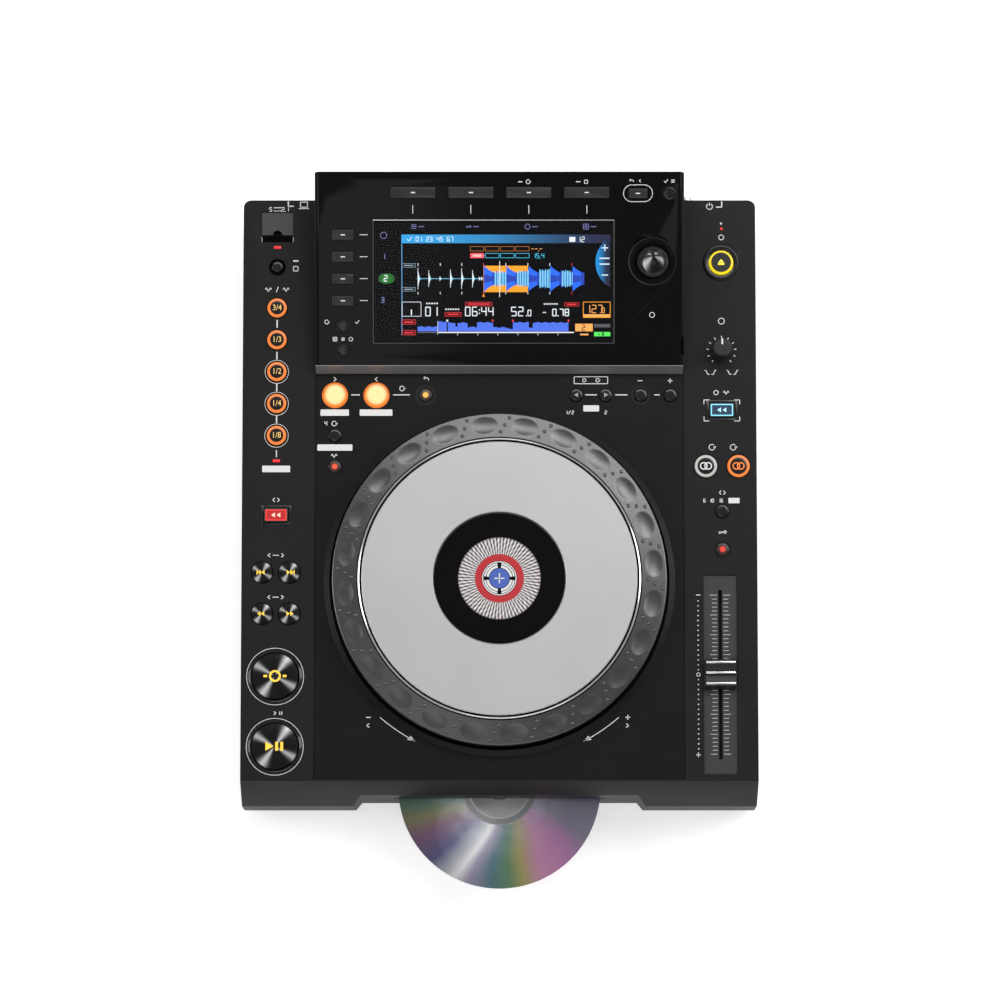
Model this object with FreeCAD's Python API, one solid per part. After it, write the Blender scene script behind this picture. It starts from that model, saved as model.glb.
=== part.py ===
import FreeCAD, Part
import math
import os

# A slot-loading disc player for the booth table, all sizes in millimetres.
# The model is drawn with X across, Y from the front edge of the deck to the rear and Z up from the
# table. Each piece is moved by ORIGIN_SHIFT when it is written, so that the origin lies under the
# middle of the whole player with its disc out.

# Rounds that carry nothing are drawn with flat sides: small ones such as key caps, the two large
# keys, and the jog wheel in its well
ROUND_SIDES = 16
CUE_SIDES = 32
WHEEL_SIDES = 60

# Case shell
CASE_WIDTH = 305.0
CASE_DEPTH = 360.0
DECK_HEIGHT = 70.0
FOOT_HEIGHT = 6.0
CASE_WALL = 2.5
CASE_CORNER_RADIUS = 4.5
CHIN_RUN = 12.3
CHIN_DROP = 28.0
LEG_TAPER = 1.0
NOTCH_DEPTH = 5.4
NOTCH_HALF_BACK = 82.0
NOTCH_HALF_FRONT = 86.5

# Centre panel and jog well
PANEL_WIDTH = 218.4
PANEL_STEP = 0.8
PANEL_THICKNESS = 1.7
PANEL_FLANGE = 2.0
PANEL_FLANGE_REACH = 3.5
PANEL_FRONT = 1.2
SEAM = 0.2
JOG_CENTRE_Y = 118.5
WELL_RADIUS = 100.6
WELL_RIM_RADIUS = 104.0
WELL_RIM_RISE = 1.2
WELL_WALL = 2.0
WELL_DEPTH = 11.7
POST_RADIUS = 38.5
POST_WALL = 4.0
POST_TOP = DECK_HEIGHT + 6.0

# Jog wheel
JOG_RADIUS = 98.8
JOG_RING_WALL = 3.0
JOG_RING_TOP = DECK_HEIGHT + 13.4
JOG_RING_FALL = 2.0
JOG_SKIRT_BOTTOM = DECK_HEIGHT - 6.0
JOG_BEAD_OUTER = 84.2
JOG_BEAD_INNER = 81.7
JOG_BEAD_TOP = DECK_HEIGHT + 14.7
JOG_WEB_THICKNESS = 2.5
JOG_HUB_WALL = 4.0
BEARING_CLEARANCE = 0.06
DIMPLE_COUNT = 24
DIMPLE_RADIUS = 91.4
DIMPLE_LENGTH = 15.9
DIMPLE_WIDTH = 10.4
DIMPLE_DEPTH = 1.3
DIMPLE_FLOOR = 0.5
DIMPLE_SIDES = 8
FIRST_DIMPLE_DEG = 9.5
GEAR_MODULE = 3.0
GEAR_TEETH = 40
GEAR_TOP = DECK_HEIGHT + 1.0
GEAR_BOTTOM = DECK_HEIGHT - 7.0
GEAR_BACKLASH = 0.45
GEAR_RIM = 4.0
ENCODER_TEETH = 10
ENCODER_DEG = 60.0
ENCODER_SHAFT_RADIUS = 1.5
PLATE_RADIUS = 81.3
PLATE_HOLE_RADIUS = 39.2
PLATE_TOP = DECK_HEIGHT + 14.5
PLATE_THICKNESS = 1.8
PLATE_PRESS = 0.5
DISPLAY_GAP = 0.1
DISPLAY_TOP = DECK_HEIGHT + 12.2

# Display head
HEAD_WIDTH = 218.4
HEAD_FRONT_Y = 243.0
HEAD_FACE_Y = 246.0
HEAD_FACE_Z = DECK_HEIGHT + 9.0
HEAD_REAR_Y = 357.7
HEAD_REAR_Z = DECK_HEIGHT + 36.6
HEAD_REAR_EDGE = 1.6
HEAD_BEVEL = 2.0
HEAD_WALL = 2.5
WINDOW_WIDTH = 142.6
WINDOW_HEIGHT = 72.9
WINDOW_CENTRE_X = -3.4
WINDOW_CENTRE_S = 49.9
WINDOW_THICKNESS = 1.2
WINDOW_SINK = 0.4
WINDOW_LEDGE = 1.2
LCD_DEPTH = 4.0

# Keys: clearances, travel and the switch boards below them
KEY_GAP = 0.35
KEY_RISE = 1.8
KEY_TRAVEL = 1.0
KEY_FLANGE = 1.2
KEY_FLANGE_REACH = 1.1
KEY_FLANGE_GAP = 0.2
KEY_STEM = 4.0
SWITCH_SIZE = 6.0
SWITCH_HEIGHT = 3.5
SWITCH_GAP = 0.3
BOARD_DROP = 11.0
BOARD_THICKNESS = 1.6
BOSS_SIZE = 5.0

# Key places on the left strip
LEFT_STRIP_X = 20.3 - CASE_WIDTH / 2
USB_STOP_Y = 307.1
USB_STOP_RADIUS = 3.25
BEAT_FRONT_Y = 205.5
BEAT_PITCH = 19.2
BEAT_COUNT = 5
BEAT_RADIUS = 5.7
REVERSE_Y = 157.7
REVERSE_WIDTH = 14.4
REVERSE_LENGTH = 8.5
PAIR_PITCH = 16.1
TRACK_Y = 123.5
SEARCH_Y = 98.9
TRACK_RADIUS = 6.2
CUE_Y = 61.7
PLAY_Y = 20.1
CUE_RADIUS = 13.6
CUE_RISE = 3.0
USB_FLAP_WIDTH = 18.4
USB_FLAP_LENGTH = 12.9
USB_FLAP_FRONT_Y = 326.6
USB_FLAP_THICKNESS = 1.6
USB_FLAP_DEPTH = 14.0
FINGER_NOTCH_RADIUS = 4.2
FINGER_NOTCH_DEPTH = 1.6
HINGE_RADIUS = 1.0

# Key places on the right strip
RIGHT_STRIP_X = CASE_WIDTH / 2 - 20.5
EJECT_Y = 309.8
EJECT_RADIUS = 7.2
SPEED_Y = 256.7
SPEED_KNOB_RADIUS = 5.6
SPEED_KNOB_HEIGHT = 13.0
SPEED_SHAFT_RADIUS = 2.5
JOG_MODE_Y = 220.7
JOG_MODE_WIDTH = 15.0
JOG_MODE_LENGTH = 9.0
SYNC_PITCH = 19.3
SYNC_Y = 187.1
SYNC_RADIUS = 6.6
RANGE_Y = 160.2
MASTER_TEMPO_Y = 137.3
RANGE_RADIUS = 3.85
FADER_X = CASE_WIDTH / 2 - 22.1
FADER_WIDTH = 20.0
FADER_FRONT_Y = 3.9
FADER_LENGTH = 118.4
FADER_SINK = 1.4
FADER_SLOT_WIDTH = 2.1
FADER_SLOT_LENGTH = 100.6
FADER_TRAVEL = 48.0
FADER_STEM_WIDTH = 1.6
FADER_STEM_LENGTH = 4.0
FADER_CAP_WIDTH = 17.9
FADER_CAP_LENGTH = 18.6
FADER_CAP_HEIGHT = 9.0
FADER_CAP_GAP = 0.5
FADER_BODY_DEPTH = 12.0

# Key places on the centre panel
DECK_ROW_Y = 229.9
LOOP_IN_X = -97.6
LOOP_OUT_X = -73.0
LOOP_RADIUS = 6.9
RELOOP_X = -43.8
CALL_X = 54.4
CALL_PITCH = 17.3
DELETE_X = 83.9
MEMORY_X = 101.5
SMALL_KEY_RADIUS = 3.75
FOUR_BEAT_Y = 205.6
SLIP_Y = 186.9

# Key places on the display head, X across and S up the sloping face
MENU_S = 102.7
MENU_PITCH = 34.2
MENU_FIRST_X = -51.0
MENU_COUNT = 4
MENU_WIDTH = 26.6
MENU_HEIGHT = 6.5
SOURCE_X = -92.6
SOURCE_FRONT_S = 38.7
SOURCE_PITCH = 13.0
SOURCE_COUNT = 4
SOURCE_WIDTH = 13.0
SOURCE_HEIGHT = 6.0
TIME_S = 23.8
QUANTIZE_S = 9.6
HEAD_KEY_RADIUS = 3.1
BACK_X = 81.9
BACK_S = 102.2
BACK_WIDTH = 11.2
BACK_HEIGHT = 5.8
TAG_X = 100.5
TAG_RADIUS = 3.8
SELECTOR_X = 90.6
SELECTOR_S = 62.0
SELECTOR_DISH_RADIUS = 13.8
SELECTOR_DISH_FLOOR_RADIUS = 10.2
SELECTOR_DISH_DEPTH = 1.6
SELECTOR_SHAFT_RADIUS = 3.0
SELECTOR_SHAFT_HEIGHT = 14.0
SELECTOR_KNOB_RADIUS = 9.1
SELECTOR_TOP_RADIUS = 7.7
SELECTOR_KNOB_HEIGHT = 17.0
SELECTOR_KNOB_GAP = 1.2
SELECTOR_SKIRT_HEIGHT = 6.5
SELECTOR_LOBES = 6
SELECTOR_LOBE_STEPS = 6
SELECTOR_LOBE_RISE = 0.6
SELECTOR_TRAVEL = 0.8

# Disc and its drive
DISC_RADIUS = 60.0
DISC_HOLE_RADIUS = 7.5
DISC_THICKNESS = 1.2
DISC_UNDERSIDE = 34.4
DISC_OUT_Y = -0.6
DISC_TRAVEL = 69.0
SLOT_WIDTH = 126.0
SLOT_HEIGHT = 4.0
ROLLER_Y = 4.0
ROLLER_END_RADIUS = 4.4
ROLLER_WAIST_RADIUS = 3.5
ROLLER_LENGTH = 112.0
ROLLER_SHAFT_RADIUS = 1.5
DISC_GAP = 0.1
FRAME_HALF_WIDTH = 72.0
FRAME_SHEET = 1.5
FRAME_TOP = 44.0
FRAME_FRONT_Y = -3.4
FRAME_REAR_Y = 146.0
FRAME_FOOT = 9.0
LOADING_MOTOR_RADIUS = 7.0
GUIDE_LIFT = 1.0
GUIDE_HEIGHT = 2.5
CLAMP_RADIUS = 12.5
CLAMP_FLANGE_RADIUS = 15.5
CLAMP_FLANGE = 1.6
SLED_LIFT = 5.0
SLED_HALF_WIDTH = 38.0
SLED_SHEET = 1.5
SLED_DROP = 7.5
SLED_FRONT_Y = 52.0
SLED_REAR_Y = 143.0
SLED_PIN_RADIUS = 1.5
TURNTABLE_RADIUS = 14.0
TURNTABLE_THICKNESS = 2.0
BOSS_HEIGHT = 1.4
BOSS_GAP = 0.1
SPINDLE_RADIUS = 1.0
MOTOR_RADIUS = 11.0
MOTOR_HEIGHT = 7.0
PICKUP_WIDTH = 40.0
PICKUP_LENGTH = 24.0
PICKUP_HEIGHT = 7.0
PICKUP_TRAVEL = 33.0
LENS_RADIUS = 4.0
FIRST_TRACK_RADIUS = 25.0
ROD_RADIUS = 1.5
ROD_SPREAD = 15.0

# Base, rear panel and sockets
TRAY_SHEET = 1.2
TRAY_FLANGE = 14.0
TRAY_GAP = 0.2
FOOT_RADIUS = 11.0
FOOT_INSET_X = 24.0
FOOT_FRONT_Y = 14.0
FOOT_REAR_INSET = 24.0
SCREW_HEAD_RADIUS = 2.8
SCREW_HEAD_HEIGHT = 1.6
SCREW_SIDES = 10
SOCKET_Z = 36.0
LINE_BARREL_RADIUS = 4.15
LINE_BARREL_LENGTH = 8.0
LINE_BARREL_BORE = 1.7
LINE_INSULATOR_RADIUS = 6.0
INSULATOR_PROUD = 0.2
SOCKET_CLEARANCE = 0.3
LINE_X = (CASE_WIDTH / 2 - 40.5, CASE_WIDTH / 2 - 54.5)
DIGITAL_X = CASE_WIDTH / 2 - 74.5
CONTROL_X = CASE_WIDTH / 2 - 92.5
CONTROL_BORE_RADIUS = 1.8
CONTROL_NECK_RADIUS = 3.4
NETWORK_X = CASE_WIDTH / 2 - 118.5
NETWORK_WIDTH = 11.8
NETWORK_HEIGHT = 8.4
NETWORK_DEPTH = 13.0
USB_B_X = CASE_WIDTH / 2 - 142.5
USB_B_WIDTH = 8.6
USB_B_HEIGHT = 7.8
POWER_X = 60.5 - CASE_WIDTH / 2
POWER_WIDTH = 12.0
POWER_HEIGHT = 8.0
POWER_TRAVEL = 3.0
POWER_PROUD = 4.0
INLET_X = 28.5 - CASE_WIDTH / 2
INLET_WIDTH = 24.0
INLET_HEIGHT = 16.4
INLET_DEPTH = 17.0
INLET_PIN_LENGTH = 12.0
INLET_PIN_WIDTH = 2.0
INLET_PIN_HEIGHT = 3.0
INLET_PINS = ((-7.0, -2.0), (7.0, -2.0), (0.0, 2.0))
SHELL_WALL = 1.2
MAIN_BOARD_Z = 16.0
MAIN_BOARD_X = (-70.0, CASE_WIDTH / 2 - 24.5)
MAIN_BOARD_Y = (165.0, 332.0)
CHIP_SIZE = 24.0
CHIP_HEIGHT = 2.5
SINK_WIDTH = 30.0
SINK_LENGTH = 40.0
SINK_HEIGHT = 14.0
SINK_INSET_X = 30.0
SINK_INSET_Y = 50.0
SUPPLY_WIDTH = 58.0
SUPPLY_LENGTH = 94.0
SUPPLY_HEIGHT = 32.0
SUPPLY_INSET_X = 8.0
SUPPLY_INSET_Y = 36.0
EDGE_SCREW_INSET = 8.0
EDGE_SCREW_ROWS = (60.0, 170.0, 280.0)
FRAME_SCREW_ROWS = (30.0, 110.0)

# Places worked out from the sizes above
HALF_WIDTH = CASE_WIDTH / 2
REAR_Y = CASE_DEPTH - CHIN_RUN
CHIN_Z = DECK_HEIGHT - CHIN_DROP
NOTCH_FACE_Y = -CHIN_RUN + NOTCH_DEPTH
CASE_INNER_HALF = HALF_WIDTH - CASE_WALL
PANEL_TOP = DECK_HEIGHT - PANEL_STEP
PANEL_HALF = PANEL_WIDTH / 2
CASE_CEILING = DECK_HEIGHT - CASE_WALL
PANEL_CEILING = PANEL_TOP - PANEL_THICKNESS - PANEL_FLANGE
PANEL_REAR_Y = REAR_Y
WELL_FLOOR_TOP = PANEL_TOP - WELL_DEPTH
WELL_FLOOR_BOTTOM = WELL_FLOOR_TOP - WELL_WALL
HEAD_TILT = math.degrees(math.atan2(HEAD_REAR_Z - HEAD_FACE_Z, HEAD_REAR_Y - HEAD_FACE_Y))
DISC_TOP = DISC_UNDERSIDE + DISC_THICKNESS
DISC_IN_Y = DISC_OUT_Y + DISC_TRAVEL
ROLLER_Z = DISC_UNDERSIDE - DISC_GAP - ROLLER_END_RADIUS
GEAR_PITCH_RADIUS = GEAR_MODULE * GEAR_TEETH / 2
ENCODER_PITCH_RADIUS = GEAR_MODULE * ENCODER_TEETH / 2
ENCODER_DISTANCE = GEAR_PITCH_RADIUS + ENCODER_PITCH_RADIUS
ENCODER_X = ENCODER_DISTANCE * math.sin(math.radians(ENCODER_DEG))
ENCODER_Y = JOG_CENTRE_Y + ENCODER_DISTANCE * math.cos(math.radians(ENCODER_DEG))
PLATFORM_TOP = DISC_UNDERSIDE - DISC_GAP - SLED_LIFT
SLED_TOP = PLATFORM_TOP - SLED_DROP
TRAY_TOP = FOOT_HEIGHT + TRAY_SHEET
TRAY_HALF = CASE_INNER_HALF - TRAY_GAP
TRAY_REAR_Y = REAR_Y - 0.3
FADER_REAR_Y = FADER_FRONT_Y + FADER_LENGTH
FADER_CENTRE_Y = (FADER_FRONT_Y + FADER_REAR_Y) / 2
FADER_FACE = DECK_HEIGHT - FADER_SINK
USB_HINGE_Y = USB_FLAP_FRONT_Y + USB_FLAP_LENGTH
USB_HINGE_Z = DECK_HEIGHT - HINGE_RADIUS
BOARD_TOP = DECK_HEIGHT - BOARD_DROP
FRONT_MOST = DISC_OUT_Y - DISC_RADIUS
REAR_MOST = max(HEAD_REAR_Y, REAR_Y + LINE_BARREL_LENGTH)
JOG_WEB_TOP = PLATE_TOP - PLATE_THICKNESS - PLATE_PRESS - 0.1
ORIGIN_SHIFT = FreeCAD.Vector(0, -(FRONT_MOST + REAR_MOST) / 2, 0)
PLENTY = 20.0


def vec(x, y, z):
    return FreeCAD.Vector(x, y, z)


def box(x0, x1, y0, y1, z0, z1):
    return Part.makeBox(x1 - x0, y1 - y0, z1 - z0, vec(x0, y0, z0))


def block(x, y, width, length, z0, z1):
    """A box centred on x, y."""
    return box(x - width / 2, x + width / 2, y - length / 2, y + length / 2, z0, z1)


def cylinder(radius, z0, z1, x=0.0, y=0.0):
    return Part.makeCylinder(radius, z1 - z0, vec(x, y, z0))


def circle_corners(radius, a=0.0, b=0.0, sides=ROUND_SIDES):
    """Corners of an even polygon round a, b."""
    corners = []
    for i in range(sides):
        angle = 2 * math.pi * (i + 0.5) / sides
        corners.append((a + radius * math.cos(angle), b + radius * math.sin(angle)))
    return corners


def many_sided(radius, z0, z1, x=0.0, y=0.0, sides=ROUND_SIDES):
    """An upright round with flat sides."""
    return prism_z(circle_corners(radius, x, y, sides), z0, z1)


def lying_x(radius, x0, x1, y, z, sides=ROUND_SIDES):
    """A round along X with flat sides."""
    return prism_x(circle_corners(radius, y, z, sides), x0, x1)


def lying_y(radius, y0, y1, x, z, sides=ROUND_SIDES):
    """A round along Y with flat sides."""
    corners = [vec(a, y0, b) for a, b in circle_corners(radius, x, z, sides)]
    face = Part.Face(Part.makePolygon(corners + corners[:1]))
    return outward(face.extrude(vec(0, y1 - y0, 0)))


def cylinder_x(radius, x0, x1, y, z):
    return Part.makeCylinder(radius, x1 - x0, vec(x0, y, z), vec(1, 0, 0))


def cylinder_y(radius, y0, y1, x, z):
    return Part.makeCylinder(radius, y1 - y0, vec(x, y0, z), vec(0, 1, 0))


def outward(shape):
    """The same solid with its faces pointing outwards."""
    if shape.Volume < 0:
        shape.reverse()
    return shape


def prism_x(outline, x0, x1):
    """Extrude a (y, z) outline along X."""
    corners = [vec(x0, y, z) for y, z in outline]
    face = Part.Face(Part.makePolygon(corners + corners[:1]))
    return outward(face.extrude(vec(x1 - x0, 0, 0)))


def prism_z(outline, z0, z1):
    """Extrude an (x, y) outline upwards."""
    corners = [vec(x, y, z0) for x, y in outline]
    face = Part.Face(Part.makePolygon(corners + corners[:1]))
    return outward(face.extrude(vec(0, 0, z1 - z0)))


def wrapped(rings, closed):
    """Flat faces between each ring of corners and the next, with end faces unless it is closed."""
    count = len(rings[0])
    pairs = list(zip(rings, rings[1:] + rings[:1])) if closed else list(zip(rings, rings[1:]))
    faces = []
    for ring, other in pairs:
        for i in range(count):
            j = (i + 1) % count
            faces.append(Part.Face(Part.makePolygon([ring[i], ring[j], other[j], other[i], ring[i]])))
    if not closed:
        faces += [Part.Face(Part.makePolygon(ring + ring[:1])) for ring in (rings[0], rings[-1])]
    return outward(Part.makeSolid(Part.makeShell(faces))).removeSplitter()


def faceted(outline, x=0.0, y=0.0, sides=WHEEL_SIDES):
    """Turn an (r, z) outline once round the vertical through x, y in flat steps."""
    return wrapped([[vec(a, b, z) for a, b in circle_corners(r, x, y, sides)] for r, z in outline], True)


def joined(shapes):
    """One solid, or one group of solids, from pieces that touch or overlap."""
    first = shapes[0]
    if len(shapes) > 1:
        first = first.multiFuse(shapes[1:]).removeSplitter()
    return first


def apart(shapes):
    """A group of separate solids."""
    return Part.makeCompound(shapes)


def upright_edges(shape, at_x=None):
    """The vertical edges, or only those at the given distance from the middle plane."""
    found = []
    for edge in shape.Edges:
        low, high = edge.BoundBox.ZMin, edge.BoundBox.ZMax
        spread = max(edge.BoundBox.XLength, edge.BoundBox.YLength)
        if high - low > 1e-3 and spread < 1e-3:
            if at_x is None or abs(abs(edge.BoundBox.XMin) - at_x) < 1e-3:
                found.append(edge)
    return found


def rounded_block(x, y, width, length, z0, z1, radius):
    """A box centred on x, y with round vertical edges."""
    shape = block(x, y, width, length, z0, z1)
    return shape.makeFillet(radius, upright_edges(shape))


def on_head(shape):
    """Move a shape drawn with its face at z = 0 and S along Y to the sloping face of the head."""
    shape = shape.copy()
    shape.rotate(vec(0, 0, 0), vec(1, 0, 0), HEAD_TILT)
    shape.translate(vec(0, HEAD_FACE_Y, HEAD_FACE_Z))
    return shape


def polar(radius, degrees_from_rear):
    """A place on a circle round the jog centre, its angle taken clockwise from the rear."""
    angle = math.radians(degrees_from_rear)
    return radius * math.sin(angle), JOG_CENTRE_Y + radius * math.cos(angle)


# Keys. Each is drawn with the panel's face at z = 0: cap, flange under the panel, and stem.
def key_levels(wall, travel):
    flange_top = -wall - KEY_FLANGE_GAP
    flange_bottom = flange_top - KEY_FLANGE
    stem_bottom = -BOARD_DROP + SWITCH_HEIGHT + travel + SWITCH_GAP
    return flange_top, flange_bottom, stem_bottom


def round_key(x, y, radius, wall, rise=KEY_RISE, travel=KEY_TRAVEL, chamfer=0.0,
              sides=ROUND_SIDES):
    flange_top, flange_bottom, stem_bottom = key_levels(wall, travel)
    cap = many_sided(radius, flange_top, rise, x, y, sides)
    if chamfer:
        top = [edge for edge in cap.Edges if edge.BoundBox.ZMin > rise - 1e-3]
        cap = cap.makeChamfer(chamfer, top)
    side = 2 * (radius + KEY_FLANGE_REACH)
    flange = block(x, y, side, side, flange_bottom, flange_top)
    stem = block(x, y, KEY_STEM, KEY_STEM, stem_bottom, flange_bottom)
    return joined([cap, flange, stem])


def bar_key(places, width, length, wall, rise=KEY_RISE, travel=KEY_TRAVEL, chamfer=0.4):
    """One moulding with a rectangular cap at each place."""
    flange_top, flange_bottom, stem_bottom = key_levels(wall, travel)
    pieces = []
    for x, y in places:
        cap = block(x, y, width, length, flange_top, rise)
        top = [edge for edge in cap.Edges if edge.BoundBox.ZMin > rise - 1e-3]
        pieces.append(cap.makeChamfer(chamfer, top))
        pieces.append(block(x, y, KEY_STEM, KEY_STEM, stem_bottom, flange_bottom))
    reach_x = width / 2 + KEY_FLANGE_REACH
    reach_y = length / 2 + KEY_FLANGE_REACH
    low_x = min(x for x, y in places) - reach_x
    high_x = max(x for x, y in places) + reach_x
    low_y = min(y for x, y in places) - reach_y
    high_y = max(y for x, y in places) + reach_y
    pieces.append(box(low_x, high_x, low_y, high_y, flange_bottom, flange_top))
    return joined(pieces)


def switches(places):
    """Push switches on a board whose top is BOARD_DROP below the face."""
    top = -BOARD_DROP + SWITCH_HEIGHT
    return [block(x, y, SWITCH_SIZE, SWITCH_SIZE, -BOARD_DROP, top) for x, y in places]


def lifted(shape, height):
    shape = shape.copy()
    shape.translate(vec(0, 0, height))
    return shape


# Places of the keys, by node name
def beat_places():
    return [(LEFT_STRIP_X, BEAT_FRONT_Y + BEAT_PITCH * i) for i in range(BEAT_COUNT)]


def strip_round_keys():
    """Node name to place, radius and rise of each round key on the two strips."""
    left, right = LEFT_STRIP_X, RIGHT_STRIP_X
    half = PAIR_PITCH / 2
    keys = {
        "usb_stop_key": (left, USB_STOP_Y, USB_STOP_RADIUS, KEY_RISE),
        "track_back_key": (left - half, TRACK_Y, TRACK_RADIUS, KEY_RISE),
        "track_next_key": (left + half, TRACK_Y, TRACK_RADIUS, KEY_RISE),
        "search_back_key": (left - half, SEARCH_Y, TRACK_RADIUS, KEY_RISE),
        "search_next_key": (left + half, SEARCH_Y, TRACK_RADIUS, KEY_RISE),
        "cue_key": (left, CUE_Y, CUE_RADIUS, CUE_RISE),
        "play_key": (left, PLAY_Y, CUE_RADIUS, CUE_RISE),
        "eject_key": (right, EJECT_Y, EJECT_RADIUS, KEY_RISE),
        "sync_key": (right - SYNC_PITCH / 2, SYNC_Y, SYNC_RADIUS, KEY_RISE),
        "master_key": (right + SYNC_PITCH / 2, SYNC_Y, SYNC_RADIUS, KEY_RISE),
        "tempo_range_key": (right, RANGE_Y, RANGE_RADIUS, KEY_RISE),
        "master_tempo_key": (right, MASTER_TEMPO_Y, RANGE_RADIUS, KEY_RISE),
    }
    for number, (x, y) in enumerate(beat_places(), start=1):
        keys["beat_key_%d" % number] = (x, y, BEAT_RADIUS, KEY_RISE)
    return keys


def strip_bar_keys():
    return {
        "reverse_key": (LEFT_STRIP_X, REVERSE_Y, REVERSE_WIDTH, REVERSE_LENGTH),
        "jog_mode_key": (RIGHT_STRIP_X, JOG_MODE_Y, JOG_MODE_WIDTH, JOG_MODE_LENGTH),
    }


def panel_keys():
    """Node name to place and radius of the single round keys on the centre panel."""
    return {
        "loop_in_key": (LOOP_IN_X, DECK_ROW_Y, LOOP_RADIUS),
        "loop_out_key": (LOOP_OUT_X, DECK_ROW_Y, LOOP_RADIUS),
        "reloop_key": (RELOOP_X, DECK_ROW_Y, SMALL_KEY_RADIUS),
        "delete_key": (DELETE_X, DECK_ROW_Y, SMALL_KEY_RADIUS),
        "memory_key": (MEMORY_X, DECK_ROW_Y, SMALL_KEY_RADIUS),
        "four_beat_key": (LOOP_IN_X, FOUR_BEAT_Y, SMALL_KEY_RADIUS),
        "slip_key": (LOOP_IN_X, SLIP_Y, SMALL_KEY_RADIUS),
    }


def call_places():
    return [(CALL_X - CALL_PITCH / 2, DECK_ROW_Y), (CALL_X + CALL_PITCH / 2, DECK_ROW_Y)]


def head_round_keys():
    return {
        "time_mode_key": (SOURCE_X, TIME_S, HEAD_KEY_RADIUS),
        "quantize_key": (SOURCE_X, QUANTIZE_S, HEAD_KEY_RADIUS),
        "tag_key": (TAG_X, BACK_S, TAG_RADIUS),
    }


def menu_places():
    return [(MENU_FIRST_X + MENU_PITCH * i, MENU_S) for i in range(MENU_COUNT)]


def source_places():
    return [(SOURCE_X, SOURCE_FRONT_S + SOURCE_PITCH * i) for i in range(SOURCE_COUNT)]


# Case shell
def case_outline(open_by):
    """Side outline of the case; open_by carries its bottom and rear past the shell."""
    low = FOOT_HEIGHT - open_by
    slant = LEG_TAPER * (CHIN_Z - low) / (CHIN_Z - FOOT_HEIGHT)
    rear = REAR_Y + open_by
    return [(rear, low), (rear, DECK_HEIGHT), (0.0, DECK_HEIGHT),
            (-CHIN_RUN, CHIN_Z), (-CHIN_RUN + slant, low)]


def notch_outline(grow):
    """Plan of the notch between the legs, grown sideways and to the rear by a wall."""
    slant = (NOTCH_HALF_FRONT - NOTCH_HALF_BACK) / NOTCH_DEPTH
    reach = NOTCH_DEPTH + PLENTY
    back = NOTCH_HALF_BACK + grow
    front = back + slant * reach
    rear_y = NOTCH_FACE_Y + grow
    front_y = NOTCH_FACE_Y - reach
    return [(-back, rear_y), (back, rear_y), (front, front_y), (-front, front_y)]


def make_top_case():
    outer = prism_x(case_outline(0.0), -HALF_WIDTH, HALF_WIDTH)
    corners = upright_edges(outer, HALF_WIDTH)
    outer = outer.makeFillet(CASE_CORNER_RADIUS, corners)
    side = prism_x(case_outline(PLENTY), 0.0, 1.0)
    face = min(side.Faces, key=lambda f: f.CenterOfMass.x)
    inner = face.makeOffset2D(-CASE_WALL)
    cavity = outward(inner.extrude(vec(2 * CASE_INNER_HALF, 0, 0)))
    cavity.translate(vec(-CASE_INNER_HALF, 0, 0))
    cavity = cavity.cut(prism_z(notch_outline(CASE_WALL), -PLENTY, DECK_HEIGHT - CASE_WALL))
    shell = outer.cut(cavity)
    cuts = [prism_z(notch_outline(0.0), -PLENTY, DECK_HEIGHT - CASE_WALL)]
    low, high = CASE_CEILING - PLENTY / 4, DECK_HEIGHT + PLENTY
    cuts.append(box(-PANEL_HALF - SEAM, PANEL_HALF + SEAM, PANEL_FRONT - SEAM,
                    PANEL_REAR_Y + SEAM, low, high))
    for x, y, radius, rise in strip_round_keys().values():
        sides = CUE_SIDES if radius == CUE_RADIUS else ROUND_SIDES
        cuts.append(many_sided(radius + KEY_GAP, low, high, x, y, sides))
    for x, y, width, length in strip_bar_keys().values():
        cuts.append(block(x, y, width + 2 * KEY_GAP, length + 2 * KEY_GAP, low, high))
    cuts.append(many_sided(SPEED_SHAFT_RADIUS + KEY_GAP, low, high, RIGHT_STRIP_X, SPEED_Y))
    cuts.append(block(FADER_X, FADER_CENTRE_Y, FADER_WIDTH, FADER_LENGTH, low, high))
    cuts.append(box(LEFT_STRIP_X - USB_FLAP_WIDTH / 2 - SEAM, LEFT_STRIP_X + USB_FLAP_WIDTH / 2 + SEAM,
                    USB_FLAP_FRONT_Y - SEAM, USB_HINGE_Y + HINGE_RADIUS + SEAM, low, high))
    cuts.append(many_sided(FINGER_NOTCH_RADIUS, DECK_HEIGHT - FINGER_NOTCH_DEPTH, high,
                           LEFT_STRIP_X, USB_FLAP_FRONT_Y))
    slot_z = (DISC_UNDERSIDE + DISC_TOP) / 2
    cuts.append(box(-SLOT_WIDTH / 2, SLOT_WIDTH / 2, NOTCH_FACE_Y - 1, NOTCH_FACE_Y + CASE_WALL + 1,
                    slot_z - SLOT_HEIGHT / 2, slot_z + SLOT_HEIGHT / 2))
    shell = shell.cut(Part.makeCompound(cuts))
    return joined([shell] + strip_bosses())


def strip_bosses():
    """Square posts that carry the strip boards, and the ledge that carries the USB hinge."""
    posts = []
    for x in (LEFT_STRIP_X, RIGHT_STRIP_X):
        for y in strip_boss_rows(x):
            posts.append(block(x, y, BOSS_SIZE, BOSS_SIZE, BOARD_TOP, CASE_CEILING + 0.5))
    return posts


def strip_boss_rows(x):
    between_cue_and_play = (CUE_Y + PLAY_Y) / 2
    above_slot = (REVERSE_Y + TRACK_Y) / 2
    if x < 0:
        return [between_cue_and_play, above_slot, (REVERSE_Y + BEAT_FRONT_Y) / 2, USB_STOP_Y - 12.0]
    return [(RANGE_Y + SYNC_Y) / 2, (SYNC_Y + JOG_MODE_Y) / 2, (SPEED_Y + EJECT_Y) / 2]


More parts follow.
